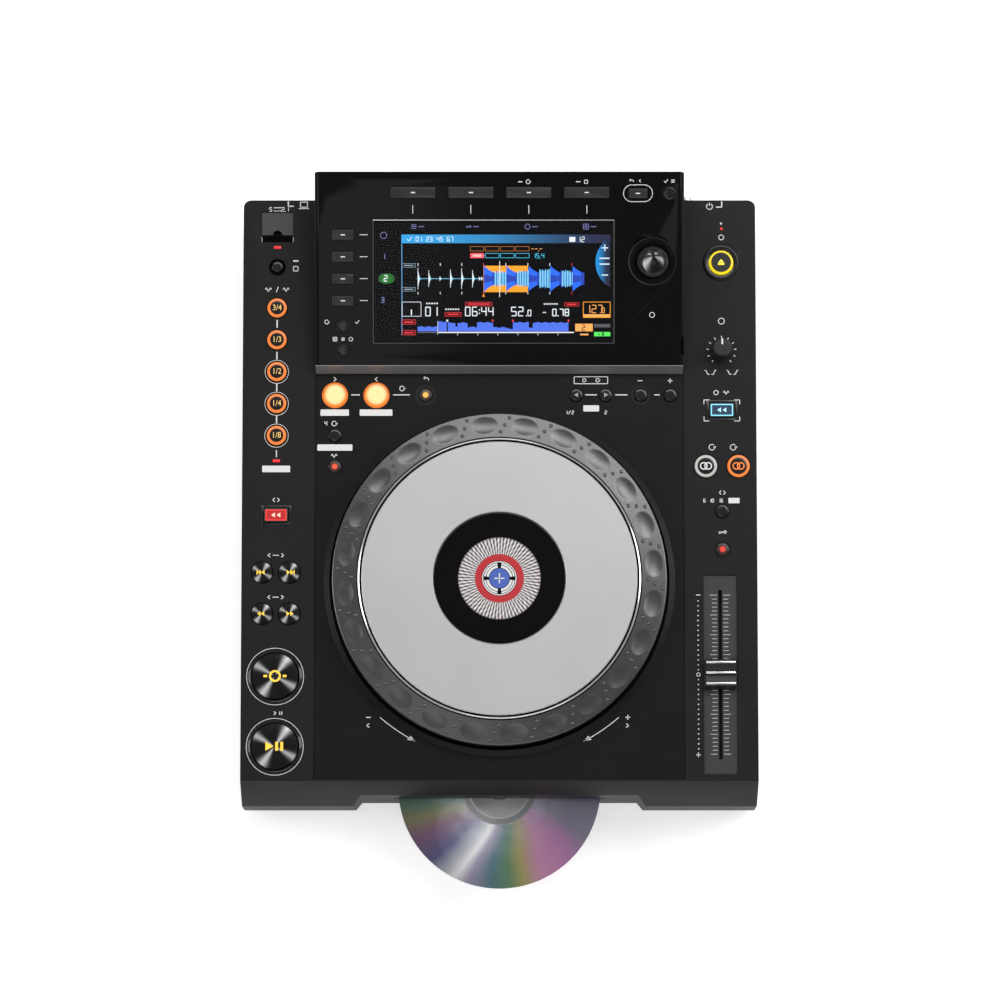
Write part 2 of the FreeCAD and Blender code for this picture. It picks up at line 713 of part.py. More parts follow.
# Centre panel with the jog well and the fixed post
def make_deck_panel():
    step = PANEL_TOP - PANEL_THICKNESS
    raised = box(-PANEL_HALF, PANEL_HALF, PANEL_FRONT, PANEL_REAR_Y, step, PANEL_TOP)
    reach = PANEL_HALF + PANEL_FLANGE_REACH
    rear = TRAY_REAR_Y - TRAY_SHEET - SEAM
    flange = box(-reach, reach, PANEL_FRONT + SEAM + PANEL_STEP, rear, PANEL_CEILING, step)
    plate = joined([raised, flange])
    bore = many_sided(WELL_RADIUS + WELL_WALL / 2, PANEL_CEILING - 1, PANEL_TOP + 1, 0, JOG_CENTRE_Y,
                      WHEEL_SIDES)
    head_opening = box(-HEAD_WIDTH / 2 + 4.5, HEAD_WIDTH / 2 - 4.5, HEAD_FACE_Y + 2.5, REAR_Y - 8,
                       PANEL_CEILING - 1, PANEL_TOP + 1)
    rim = WELL_RIM_RISE + PANEL_TOP
    well = faceted([
        (WELL_RADIUS, rim), (WELL_RIM_RADIUS, PANEL_TOP), (WELL_RADIUS + WELL_WALL, PANEL_CEILING),
        (WELL_RADIUS + WELL_WALL, WELL_FLOOR_BOTTOM),
        (POST_RADIUS - POST_WALL, WELL_FLOOR_BOTTOM), (POST_RADIUS - POST_WALL, POST_TOP),
        (POST_RADIUS, POST_TOP), (POST_RADIUS, WELL_FLOOR_TOP), (WELL_RADIUS, WELL_FLOOR_TOP),
    ], 0, JOG_CENTRE_Y)
    plate = joined([plate.cut(bore), well])
    cuts = [head_opening]
    low, high = PANEL_CEILING - 1, PANEL_TOP + 1
    for x, y, radius in panel_keys().values():
        cuts.append(many_sided(radius + KEY_GAP, low, high, x, y))
    for x, y in call_places():
        cuts.append(many_sided(SMALL_KEY_RADIUS + KEY_GAP, low, high, x, y))
    cuts.append(cylinder(ENCODER_SHAFT_RADIUS + BEARING_CLEARANCE, WELL_FLOOR_BOTTOM - 1,
                         WELL_FLOOR_TOP + 1, ENCODER_X, ENCODER_Y))
    plate = plate.cut(Part.makeCompound(cuts))
    posts = [block(x, y, BOSS_SIZE, BOSS_SIZE, PANEL_TOP - BOARD_DROP, PANEL_CEILING + 0.5)
             for x, y in panel_boss_places()]
    return joined([plate] + posts)


def panel_boss_places():
    return [((LOOP_IN_X + LOOP_OUT_X) / 2, DECK_ROW_Y), ((LOOP_OUT_X + RELOOP_X) / 2, DECK_ROW_Y),
            ((CALL_X + CALL_PITCH / 2 + DELETE_X) / 2, DECK_ROW_Y), (CALL_X - CALL_PITCH, DECK_ROW_Y)]


# Jog wheel
def gear_outline(teeth, backlash, phase_deg, addendum):
    """Corners of a spur gear with involute flanks drawn as one chord each."""
    pitch = GEAR_MODULE * teeth / 2
    pressure = math.radians(20)
    base = pitch * math.cos(pressure)
    root = pitch - 1.25 * GEAR_MODULE
    tip = pitch + addendum * GEAR_MODULE
    half_pitch = (math.pi * GEAR_MODULE / 2 - backlash) / (2 * pitch)

    def half_angle(radius):
        alpha = math.acos(min(1.0, base / max(radius, base)))
        involute = math.tan(alpha) - alpha
        return half_pitch + (math.tan(pressure) - pressure) - involute

    corners = []
    for tooth in range(teeth):
        middle = math.radians(phase_deg) + 2 * math.pi * tooth / teeth
        wide, narrow = half_angle(max(base, root)), half_angle(tip)
        for radius, angle in ((root, -wide), (tip, -narrow), (tip, narrow), (root, wide)):
            corners.append((radius * math.cos(middle + angle), radius * math.sin(middle + angle)))
    return corners


def mesh_phases():
    """Tooth angles of ring gear and encoder wheel, with a tooth of one in a gap of the other."""
    line = 90.0 - ENCODER_DEG
    return line, line + 180.0 + 180.0 / ENCODER_TEETH


def dimple(degrees):
    """An oval finger bowl with flat facets, wide at the top of the ring and narrow at its floor."""
    slope = JOG_RING_FALL / (JOG_RADIUS - JOG_BEAD_OUTER)
    surface = JOG_RING_TOP - slope * (DIMPLE_RADIUS - JOG_BEAD_OUTER)
    flare = 2.0 - DIMPLE_FLOOR

    def oval(scale, z):
        corners = []
        for i in range(DIMPLE_SIDES):
            angle = 2 * math.pi * i / DIMPLE_SIDES
            corners.append(vec(scale * DIMPLE_LENGTH / 2 * math.cos(angle),
                               scale * DIMPLE_WIDTH / 2 * math.sin(angle), z))
        return corners

    bowl = wrapped([oval(DIMPLE_FLOOR, -DIMPLE_DEPTH), oval(flare, DIMPLE_DEPTH)], False)
    bowl.rotate(vec(0, 0, 0), vec(1, 0, 0), -math.degrees(math.atan(slope)))
    bowl.translate(vec(0, JOG_CENTRE_Y + DIMPLE_RADIUS, surface))
    bowl.rotate(vec(0, JOG_CENTRE_Y, 0), vec(0, 0, 1), -degrees)
    return outward(bowl)


def make_jog_ring():
    """Ring with its bead, and the web and hub that turn it round the post."""
    hub_bore = (POST_RADIUS + BEARING_CLEARANCE) / math.cos(math.pi / WHEEL_SIDES)
    web_bottom = JOG_WEB_TOP - JOG_WEB_THICKNESS
    inner_wall = JOG_RADIUS - JOG_RING_WALL
    body = faceted([
        (hub_bore, JOG_SKIRT_BOTTOM), (hub_bore + JOG_HUB_WALL, JOG_SKIRT_BOTTOM),
        (hub_bore + JOG_HUB_WALL, web_bottom), (inner_wall, web_bottom),
        (inner_wall, JOG_SKIRT_BOTTOM), (JOG_RADIUS, JOG_SKIRT_BOTTOM),
        (JOG_RADIUS, JOG_RING_TOP - JOG_RING_FALL), (JOG_BEAD_OUTER, JOG_RING_TOP),
        ((JOG_BEAD_OUTER + JOG_BEAD_INNER) / 2, JOG_BEAD_TOP), (JOG_BEAD_INNER, JOG_WEB_TOP),
        (hub_bore, JOG_WEB_TOP),
    ], 0, JOG_CENTRE_Y)
    bowls = [dimple(FIRST_DIMPLE_DEG + 360.0 / DIMPLE_COUNT * i) for i in range(DIMPLE_COUNT)]
    body = body.cut(Part.makeCompound(bowls))
    return joined([body, make_ring_gear(web_bottom)])


def make_ring_gear(web_bottom):
    """Teeth below the web of the jog wheel, on a rim that reaches up to it."""
    phase, other = mesh_phases()
    teeth = prism_z(gear_outline(GEAR_TEETH, GEAR_BACKLASH, phase, 0.85), GEAR_BOTTOM, GEAR_TOP)
    root = GEAR_PITCH_RADIUS - 1.25 * GEAR_MODULE
    rim = many_sided(root, GEAR_BOTTOM, web_bottom, sides=GEAR_TEETH)
    bore = many_sided(root - GEAR_RIM, GEAR_BOTTOM - 1, web_bottom + 1, sides=GEAR_TEETH)
    gear = joined([teeth, rim]).cut(bore)
    gear.translate(vec(0, JOG_CENTRE_Y, 0))
    return gear


def make_jog_plate():
    bottom = PLATE_TOP - PLATE_THICKNESS
    return faceted([(PLATE_HOLE_RADIUS, bottom), (PLATE_RADIUS, bottom), (PLATE_RADIUS, PLATE_TOP),
                    (PLATE_HOLE_RADIUS, PLATE_TOP)], 0, JOG_CENTRE_Y)


def make_jog_display():
    return many_sided(POST_RADIUS - DISPLAY_GAP, POST_TOP, DISPLAY_TOP, 0, JOG_CENTRE_Y, WHEEL_SIDES)


def make_encoder_wheel():
    ring_phase, phase = mesh_phases()
    teeth = prism_z(gear_outline(ENCODER_TEETH, GEAR_BACKLASH, phase, 0.85), GEAR_BOTTOM, GEAR_TOP - 1)
    collar = many_sided(ENCODER_SHAFT_RADIUS + 2.0, WELL_FLOOR_TOP + 0.3, GEAR_BOTTOM)
    shaft = cylinder(ENCODER_SHAFT_RADIUS, WELL_FLOOR_BOTTOM - 4.0, GEAR_BOTTOM)
    wheel = joined([teeth, collar, shaft])
    wheel.translate(vec(ENCODER_X, ENCODER_Y, 0))
    return wheel


# Display head
def head_outline(lower_by):
    """Side outline of the head; lower_by carries its open bottom below the panel."""
    base = PANEL_TOP - lower_by
    rise = HEAD_FACE_Z - PANEL_TOP
    front = HEAD_FRONT_Y - (HEAD_FACE_Y - HEAD_FRONT_Y) * lower_by / rise
    rear_low = HEAD_REAR_Z - HEAD_REAR_EDGE
    lean = (HEAD_REAR_Y - REAR_Y) / (rear_low - PANEL_TOP)
    rear = REAR_Y - lean * lower_by
    return [(front, base), (HEAD_FACE_Y, HEAD_FACE_Z), (HEAD_REAR_Y, HEAD_REAR_Z),
            (HEAD_REAR_Y, rear_low), (rear, base)]


def make_display_housing():
    half = HEAD_WIDTH / 2
    outer = prism_x(head_outline(0.0), -half, half)
    sides = []
    for edge in outer.Edges:
        bounds = edge.BoundBox
        along = bounds.XLength < 1e-3 and bounds.YLength > HEAD_REAR_Y - HEAD_FACE_Y - 1
        if along and bounds.ZMax > HEAD_REAR_Z - 1:
            sides.append(edge)
    outer = outer.makeChamfer(HEAD_BEVEL, sides)
    side = prism_x(head_outline(PLENTY), 0.0, 1.0)
    face = min(side.Faces, key=lambda f: f.CenterOfMass.x)
    inner = face.makeOffset2D(-HEAD_WALL)
    cavity = outward(inner.extrude(vec(HEAD_WIDTH - 2 * HEAD_WALL, 0, 0)))
    cavity.translate(vec(-half + HEAD_WALL, 0, 0))
    shell = outer.cut(cavity)
    low, high = -HEAD_WALL - 1, PLENTY
    cuts = [block(WINDOW_CENTRE_X, WINDOW_CENTRE_S, WINDOW_WIDTH + 2 * SEAM, WINDOW_HEIGHT + 2 * SEAM,
                  -WINDOW_SINK - WINDOW_THICKNESS, high),
            block(WINDOW_CENTRE_X, WINDOW_CENTRE_S, WINDOW_WIDTH - 2 * WINDOW_LEDGE,
                  WINDOW_HEIGHT - 2 * WINDOW_LEDGE, low, high)]
    for x, s in menu_places():
        cuts.append(block(x, s, MENU_WIDTH + 2 * KEY_GAP, MENU_HEIGHT + 2 * KEY_GAP, low, high))
    for x, s in source_places():
        cuts.append(block(x, s, SOURCE_WIDTH + 2 * KEY_GAP, SOURCE_HEIGHT + 2 * KEY_GAP, low, high))
    cuts.append(block(BACK_X, BACK_S, BACK_WIDTH + 2 * KEY_GAP, BACK_HEIGHT + 2 * KEY_GAP, low, high))
    for x, s, radius in head_round_keys().values():
        cuts.append(many_sided(radius + KEY_GAP, low, high, x, s))
    cuts.append(cylinder(SELECTOR_SHAFT_RADIUS + BEARING_CLEARANCE, low, high, SELECTOR_X, SELECTOR_S))
    cuts.append(faceted([(1.0, -SELECTOR_DISH_DEPTH), (SELECTOR_DISH_FLOOR_RADIUS, -SELECTOR_DISH_DEPTH),
                         (SELECTOR_DISH_RADIUS, 0.0), (1.0, 0.0)], SELECTOR_X, SELECTOR_S, CUE_SIDES))
    shell = shell.cut(Part.makeCompound([on_head(cut) for cut in cuts]))
    posts = [on_head(block(x, s, BOSS_SIZE, BOSS_SIZE, -BOARD_DROP, -HEAD_WALL + 0.5))
             for x, s in head_boss_places()]
    return joined([shell] + posts)


def head_boss_places():
    beside_source = (SOURCE_X, (SOURCE_FRONT_S + TIME_S) / 2)
    beside_menu = ((MENU_FIRST_X + MENU_PITCH * (MENU_COUNT - 1) + BACK_X) / 2 + 3.5, MENU_S)
    return [beside_source, beside_menu, (SOURCE_X, MENU_S - 6.0), (SELECTOR_X, TIME_S)]


def make_display_window():
    pane = rounded_block(WINDOW_CENTRE_X, WINDOW_CENTRE_S, WINDOW_WIDTH, WINDOW_HEIGHT,
                         -WINDOW_SINK - WINDOW_THICKNESS, -WINDOW_SINK, 0.8)
    return on_head(pane)


# Knobs, fader, flap
def make_selector_shaft():
    top = SELECTOR_SHAFT_HEIGHT
    foot = -BOARD_DROP + SWITCH_HEIGHT + SELECTOR_TRAVEL + SWITCH_GAP
    shaft = cylinder(SELECTOR_SHAFT_RADIUS, foot, top, SELECTOR_X, SELECTOR_S)
    collar = block(SELECTOR_X, SELECTOR_S, 9.0, 9.0, foot, -HEAD_WALL - KEY_FLANGE_GAP)
    return on_head(joined([shaft, collar]))


def make_selector_knob():
    """Round skirt with a lobed grip on it, bored for the shaft."""
    x, s = SELECTOR_X, SELECTOR_S
    low = SELECTOR_KNOB_GAP
    skirt = many_sided(SELECTOR_KNOB_RADIUS, low, low + SELECTOR_SKIRT_HEIGHT, x, s, CUE_SIDES)
    corners = []
    for i in range(SELECTOR_LOBES * SELECTOR_LOBE_STEPS):
        angle = 2 * math.pi * i / (SELECTOR_LOBES * SELECTOR_LOBE_STEPS)
        radius = SELECTOR_TOP_RADIUS + SELECTOR_LOBE_RISE * math.cos(SELECTOR_LOBES * angle)
        corners.append((x + radius * math.cos(angle), s + radius * math.sin(angle)))
    grip = prism_z(corners, low + SELECTOR_SKIRT_HEIGHT, SELECTOR_KNOB_HEIGHT)
    bore = cylinder(SELECTOR_SHAFT_RADIUS + BEARING_CLEARANCE, low - 1, SELECTOR_SHAFT_HEIGHT + 0.2, x, s)
    return on_head(joined([skirt, grip]).cut(bore))


def make_speed_knob():
    x, y = RIGHT_STRIP_X, SPEED_Y
    base = DECK_HEIGHT + 0.5
    top = DECK_HEIGHT + SPEED_KNOB_HEIGHT
    body = many_sided(SPEED_KNOB_RADIUS, base, top, x, y, CUE_SIDES)
    pointer = box(x - 0.6, x + 0.6, y + 1.0, y + SPEED_KNOB_RADIUS + 0.2, top - 0.5, top + 0.3)
    shaft = cylinder(SPEED_SHAFT_RADIUS, BOARD_TOP + 1.0, base, x, y)
    return joined([body, pointer, shaft])


def make_fader_track():
    """Sunken plate with its slot, on the long body that guides the slider."""
    flange_top = CASE_CEILING
    flange_bottom = flange_top - 1.2
    half_w, half_l = FADER_WIDTH / 2, FADER_LENGTH / 2
    x, y = FADER_X, FADER_CENTRE_Y
    plate = block(x, y, 2 * half_w - 2 * SEAM, 2 * half_l - 2 * SEAM, flange_bottom, FADER_FACE)
    flange = block(x, y, 2 * half_w + 3.0, 2 * half_l + 3.0, flange_bottom, flange_top)
    body = block(x, y, FADER_STEM_WIDTH + 8.0, FADER_SLOT_LENGTH + 8.0,
                 flange_bottom - FADER_BODY_DEPTH, flange_bottom)
    slot = block(x, y, FADER_SLOT_WIDTH, FADER_SLOT_LENGTH, flange_bottom - FADER_BODY_DEPTH + 1.0,
                 FADER_FACE + 1)
    race = block(x, y, FADER_STEM_WIDTH + 5.0, FADER_SLOT_LENGTH + 5.0,
                 flange_bottom - FADER_BODY_DEPTH + 1.2, flange_bottom - 1.2)
    return joined([plate, flange, body]).cut(Part.makeCompound([slot, race]))


def make_tempo_slider():
    x, y = FADER_X, FADER_CENTRE_Y
    base = FADER_FACE + FADER_CAP_GAP
    top = base + FADER_CAP_HEIGHT
    half = FADER_CAP_LENGTH / 2
    saddle = top - 2.2
    cap = prism_x([
        (y - half, base), (y - half + 1.6, top - 1.0), (y - half + 2.6, top - 1.0),
        (y - 3.0, saddle), (y - 0.9, saddle), (y - 0.5, top - 0.6), (y + 0.5, top - 0.6),
        (y + 0.9, saddle), (y + 3.0, saddle), (y + half - 2.6, top - 1.0),
        (y + half - 1.6, top - 1.0), (y + half, base),
    ], x - FADER_CAP_WIDTH / 2, x + FADER_CAP_WIDTH / 2)
    race_bottom = CASE_CEILING - 1.2 - FADER_BODY_DEPTH + 1.2
    stem = block(x, y, FADER_STEM_WIDTH, FADER_STEM_LENGTH, race_bottom + 0.4, base)
    carriage = block(x, y, FADER_STEM_WIDTH + 4.6, FADER_STEM_LENGTH + 3.0,
                     race_bottom + 0.4, race_bottom + 7.0)
    return joined([cap, stem, carriage])


def make_usb_flap():
    half = USB_FLAP_WIDTH / 2
    x = LEFT_STRIP_X
    plate = box(x - half, x + half, USB_FLAP_FRONT_Y, USB_HINGE_Y,
                DECK_HEIGHT - USB_FLAP_THICKNESS, DECK_HEIGHT)
    barrel = cylinder_x(HINGE_RADIUS, x - half, x + half, USB_HINGE_Y, USB_HINGE_Z)
    grip = many_sided(FINGER_NOTCH_RADIUS - 1.4, DECK_HEIGHT - USB_FLAP_THICKNESS - 1,
                      DECK_HEIGHT + 1, x, USB_FLAP_FRONT_Y)
    return joined([plate, barrel]).cut(grip)


# Disc drive
def make_disc():
    z0, z1 = DISC_UNDERSIDE, DISC_TOP
    body = cylinder(DISC_RADIUS, z0, z1, 0, DISC_OUT_Y)
    return body.cut(cylinder(DISC_HOLE_RADIUS, z0 - 1, z1 + 1, 0, DISC_OUT_Y))


def make_roller():
    """Rubber roller, thinner at its waist so that only the disc's edges touch it."""
    half = ROLLER_LENGTH / 2
    pieces = [cylinder_x(ROLLER_SHAFT_RADIUS, -FRAME_HALF_WIDTH - 1, FRAME_HALF_WIDTH + 3.0,
                         ROLLER_Y, ROLLER_Z)]
    for side in (-1, 1):
        ends = []
        for x, radius in ((0.0, ROLLER_WAIST_RADIUS), (side * half, ROLLER_END_RADIUS)):
            ends.append([vec(x, y, z) for y, z in circle_corners(radius, ROLLER_Y, ROLLER_Z)])
        pieces.append(wrapped(ends, False))
    return joined(pieces)


def make_loader_frame():
    """Folded steel frame over the disc, with guides, bearings and the gear motor."""
    half, sheet = FRAME_HALF_WIDTH, FRAME_SHEET
    low = TRAY_TOP
    pieces = [box(-half, half, FRAME_FRONT_Y, FRAME_REAR_Y, FRAME_TOP - sheet, FRAME_TOP)]
    for side in (-1, 1):
        inner, outer = sorted((side * (half - sheet), side * half))
        pieces.append(box(inner, outer, FRAME_FRONT_Y, FRAME_REAR_Y, low, FRAME_TOP))
        foot_in, foot_out = sorted((side * (half - sheet), side * (half + FRAME_FOOT)))
        pieces.append(box(foot_in, foot_out, FRAME_FRONT_Y, FRAME_REAR_Y, low, low + sheet))
        rail_in, rail_out = sorted((side * (DISC_RADIUS - 4.0), side * half))
        rail_low = DISC_TOP + GUIDE_LIFT
        pieces.append(box(rail_in, rail_out, FRAME_FRONT_Y, DISC_IN_Y + DISC_RADIUS,
                          rail_low, rail_low + GUIDE_HEIGHT))
    guide_low = DISC_TOP + DISC_GAP * 3
    pieces.append(box(-half, half, FRAME_FRONT_Y, ROLLER_Y + ROLLER_END_RADIUS,
                      guide_low, guide_low + GUIDE_HEIGHT))
    frame = joined(pieces)
    cuts = [many_sided(CLAMP_RADIUS + GUIDE_LIFT, FRAME_TOP - sheet - 1, FRAME_TOP + 1, 0, DISC_IN_Y)]
    cuts.append(cylinder_x(ROLLER_SHAFT_RADIUS + BEARING_CLEARANCE, -half - 1, half + 1,
                           ROLLER_Y, ROLLER_Z))
    pin_gap = SLED_PIN_RADIUS + BEARING_CLEARANCE
    for y in sled_pin_rows():
        low_z = SLED_TOP - SLED_SHEET / 2
        cuts.append(box(-half - 1, half + 1, y - pin_gap, y + pin_gap,
                        low_z - pin_gap, low_z + SLED_LIFT + pin_gap))
    frame = frame.cut(Part.makeCompound(cuts))
    motor_x = half + 3.0
    motor = lying_x(LOADING_MOTOR_RADIUS, half, motor_x + 20.0, ROLLER_Y, ROLLER_Z, ROUND_SIDES)
    bore = cylinder_x(ROLLER_SHAFT_RADIUS + BEARING_CLEARANCE, half - 1, motor_x + 1.0,
                      ROLLER_Y, ROLLER_Z)
    return joined([frame, motor.cut(bore)])


def make_disc_clamp():
    """Puck that hangs by its flange in the frame's top and presses the disc on the turntable."""
    seat = FRAME_TOP + 0.1
    pad = many_sided(CLAMP_RADIUS, DISC_TOP + DISC_GAP * 3, seat, 0, DISC_IN_Y)
    flange = many_sided(CLAMP_FLANGE_RADIUS, seat, seat + CLAMP_FLANGE, 0, DISC_IN_Y)
    return joined([pad, flange])


def sled_pin_rows():
    return (SLED_FRONT_Y + 8.0, SLED_REAR_Y - 8.0)


def rod_places():
    return (-ROD_SPREAD, ROD_SPREAD)


def rod_z():
    return SLED_TOP + 2.0


def make_drive_sled():
    top, low = SLED_TOP, SLED_TOP - SLED_SHEET
    plate = box(-SLED_HALF_WIDTH, SLED_HALF_WIDTH, SLED_FRONT_Y, SLED_REAR_Y, low, top)
    pickup_y = DISC_IN_Y + FIRST_TRACK_RADIUS
    window_front = pickup_y - PICKUP_LENGTH / 2 - 2.0
    window_rear = pickup_y + PICKUP_TRAVEL + PICKUP_LENGTH / 2 + 2.0
    window = box(-PICKUP_WIDTH / 2 - 2, PICKUP_WIDTH / 2 + 2, window_front, window_rear, low - 1, top + 1)
    pieces = [plate.cut(window)]
    for y in sled_pin_rows():
        middle = top - SLED_SHEET / 2
        arm = block(0, y, 2 * (FRAME_HALF_WIDTH - FRAME_SHEET - 0.3), 6.0, low, top)
        inside = block(0, y, 2 * SLED_HALF_WIDTH - 1.0, 7.0, low - 1, top + 1)
        pieces.append(arm.cut(inside))
        for side in (-1, 1):
            ends = sorted((side * (FRAME_HALF_WIDTH - 6.0), side * (FRAME_HALF_WIDTH + 1.0)))
            pieces.append(lying_x(SLED_PIN_RADIUS, ends[0], ends[1], y, middle))
    for x in rod_places():
        pieces.append(cylinder_y(ROD_RADIUS, window_front - 2.5, window_rear + 2.5, x, rod_z()))
        for y in (window_front - 2.0, window_rear + 2.0):
            pieces.append(block(x, y, 6.0, 4.0, low, rod_z() + ROD_RADIUS + 1.0))
    motor = many_sided(MOTOR_RADIUS, low - MOTOR_HEIGHT, low, 0, DISC_IN_Y)
    collar = block(0, DISC_IN_Y, 8.0, 8.0, top - 0.5, top + 2.5)
    bore = cylinder(SPINDLE_RADIUS + BEARING_CLEARANCE, low - MOTOR_HEIGHT + 1.0, top + 4.0, 0, DISC_IN_Y)
    return joined(pieces + [motor, collar]).cut(bore)


def make_turntable():
    """Platform with a raised boss for the disc's hole, on its spindle."""
    top = PLATFORM_TOP
    bottom = top - TURNTABLE_THICKNESS
    foot = SLED_TOP - SLED_SHEET - MOTOR_HEIGHT + 1.4
    spindle = cylinder(SPINDLE_RADIUS, foot, bottom, 0, DISC_IN_Y)
    platform = many_sided(TURNTABLE_RADIUS, bottom, top, 0, DISC_IN_Y, CUE_SIDES)
    boss = many_sided(DISC_HOLE_RADIUS - BOSS_GAP, top, top + BOSS_HEIGHT, 0, DISC_IN_Y)
    return joined([spindle, platform, boss])


def make_pickup():
    """Carriage bored for one guide rod and forked over the other, with its lens on top."""
    y = DISC_IN_Y + FIRST_TRACK_RADIUS
    middle = rod_z()
    low, high = middle - PICKUP_HEIGHT / 2, middle + PICKUP_HEIGHT / 2
    body = block(0, y, PICKUP_WIDTH, PICKUP_LENGTH, low, high)
    lens = many_sided(LENS_RADIUS, high, high + 2.0, 0, y)
    bored, forked = rod_places()
    bore = cylinder_y(ROD_RADIUS + BEARING_CLEARANCE, y - PICKUP_LENGTH, y + PICKUP_LENGTH, bored, middle)
    gap = ROD_RADIUS + BEARING_CLEARANCE
    fork = box(forked - gap, PICKUP_WIDTH, y - PICKUP_LENGTH, y + PICKUP_LENGTH, middle - gap, middle + gap)
    return joined([body, lens]).cut(Part.makeCompound([bore, fork]))


# Base, rear panel, feet, screws
def foot_places():
    x = HALF_WIDTH - FOOT_INSET_X
    rear = REAR_Y - FOOT_REAR_INSET
    return [(-x, FOOT_FRONT_Y), (x, FOOT_FRONT_Y), (-x, rear), (x, rear)]


def screw_places():
    x = HALF_WIDTH - EDGE_SCREW_INSET
    edge = [(side * x, y) for side in (-1, 1) for y in EDGE_SCREW_ROWS]
    foot_x = FRAME_HALF_WIDTH + FRAME_FOOT / 2
    inner = [(side * foot_x, y) for side in (-1, 1) for y in FRAME_SCREW_ROWS]
    return edge + inner


def make_bottom_tray():
    half, sheet = TRAY_HALF, TRAY_SHEET
    low, top = FOOT_HEIGHT, TRAY_TOP
    front = NOTCH_FACE_Y + CASE_WALL + TRAY_GAP
    toe = -CHIN_RUN + LEG_TAPER + CASE_WALL + TRAY_GAP
    toe_inner = NOTCH_HALF_FRONT + CASE_WALL + 1.0
    floor = prism_z([
        (-half, toe), (-toe_inner, toe), (-toe_inner, front), (toe_inner, front), (toe_inner, toe),
        (half, toe), (half, TRAY_REAR_Y), (-half, TRAY_REAR_Y),
    ], low, top)
    pieces = [floor]
    for side in (-1, 1):
        inner, outer = sorted((side * (half - sheet), side * half))
        pieces.append(box(inner, outer, front, TRAY_REAR_Y, top, top + TRAY_FLANGE))
    pieces.append(box(-half, half, TRAY_REAR_Y - sheet, TRAY_REAR_Y, top, CASE_CEILING - TRAY_GAP))
    for x, y in main_board_posts():
        pieces.append(block(x, y, BOSS_SIZE, BOSS_SIZE, top, MAIN_BOARD_Z))
    return joined(pieces).cut(Part.makeCompound(rear_cutouts()))


def main_board_posts():
    x0, x1 = MAIN_BOARD_X
    y0, y1 = MAIN_BOARD_Y
    return [(x, y) for x in (x0 + 6, x1 - 6) for y in (y0 + 6, y1 - 6)]


def rear_cutouts():
    y0, y1 = TRAY_REAR_Y - TRAY_SHEET - 1, TRAY_REAR_Y + 1
    z = SOCKET_Z
    gap = SOCKET_CLEARANCE
    cuts = [lying_y(LINE_INSULATOR_RADIUS + gap, y0, y1, x, z) for x in LINE_X + (DIGITAL_X,)]
    cuts.append(lying_y(CONTROL_NECK_RADIUS + gap, y0, y1, CONTROL_X, z))
    for x, width, height in ((NETWORK_X, NETWORK_WIDTH, NETWORK_HEIGHT),
                             (USB_B_X, USB_B_WIDTH, USB_B_HEIGHT),
                             (INLET_X, INLET_WIDTH, INLET_HEIGHT)):
        reach_x, reach_z = width / 2 + SHELL_WALL + gap, height / 2 + SHELL_WALL + gap
        cuts.append(box(x - reach_x, x + reach_x, y0, y1, z - reach_z, z + reach_z))
    cuts.append(box(POWER_X - POWER_WIDTH / 2 - gap, POWER_X + POWER_WIDTH / 2 + gap, y0, y1,
                    z - POWER_HEIGHT / 2 - gap, z + POWER_HEIGHT / 2 + gap))
    return cuts


def mouth(x, width, height, depth, z):
    """A socket shell that passes the rear panel, open to the rear, with a flange inside."""
    back = TRAY_REAR_Y + 0.4
    panel_inner = TRAY_REAR_Y - TRAY_SHEET
    outer = box(x - width / 2 - SHELL_WALL, x + width / 2 + SHELL_WALL, back - depth - SHELL_WALL, back,
                z - height / 2 - SHELL_WALL, z + height / 2 + SHELL_WALL)
    flange = box(x - width / 2 - 3.0, x + width / 2 + 3.0, panel_inner - 2.0, panel_inner,
                 z - height / 2 - 3.0, z + height / 2 + 3.0)
    hollow = box(x - width / 2, x + width / 2, back - depth, back + 1, z - height / 2, z + height / 2)
    return joined([outer, flange]).cut(hollow)


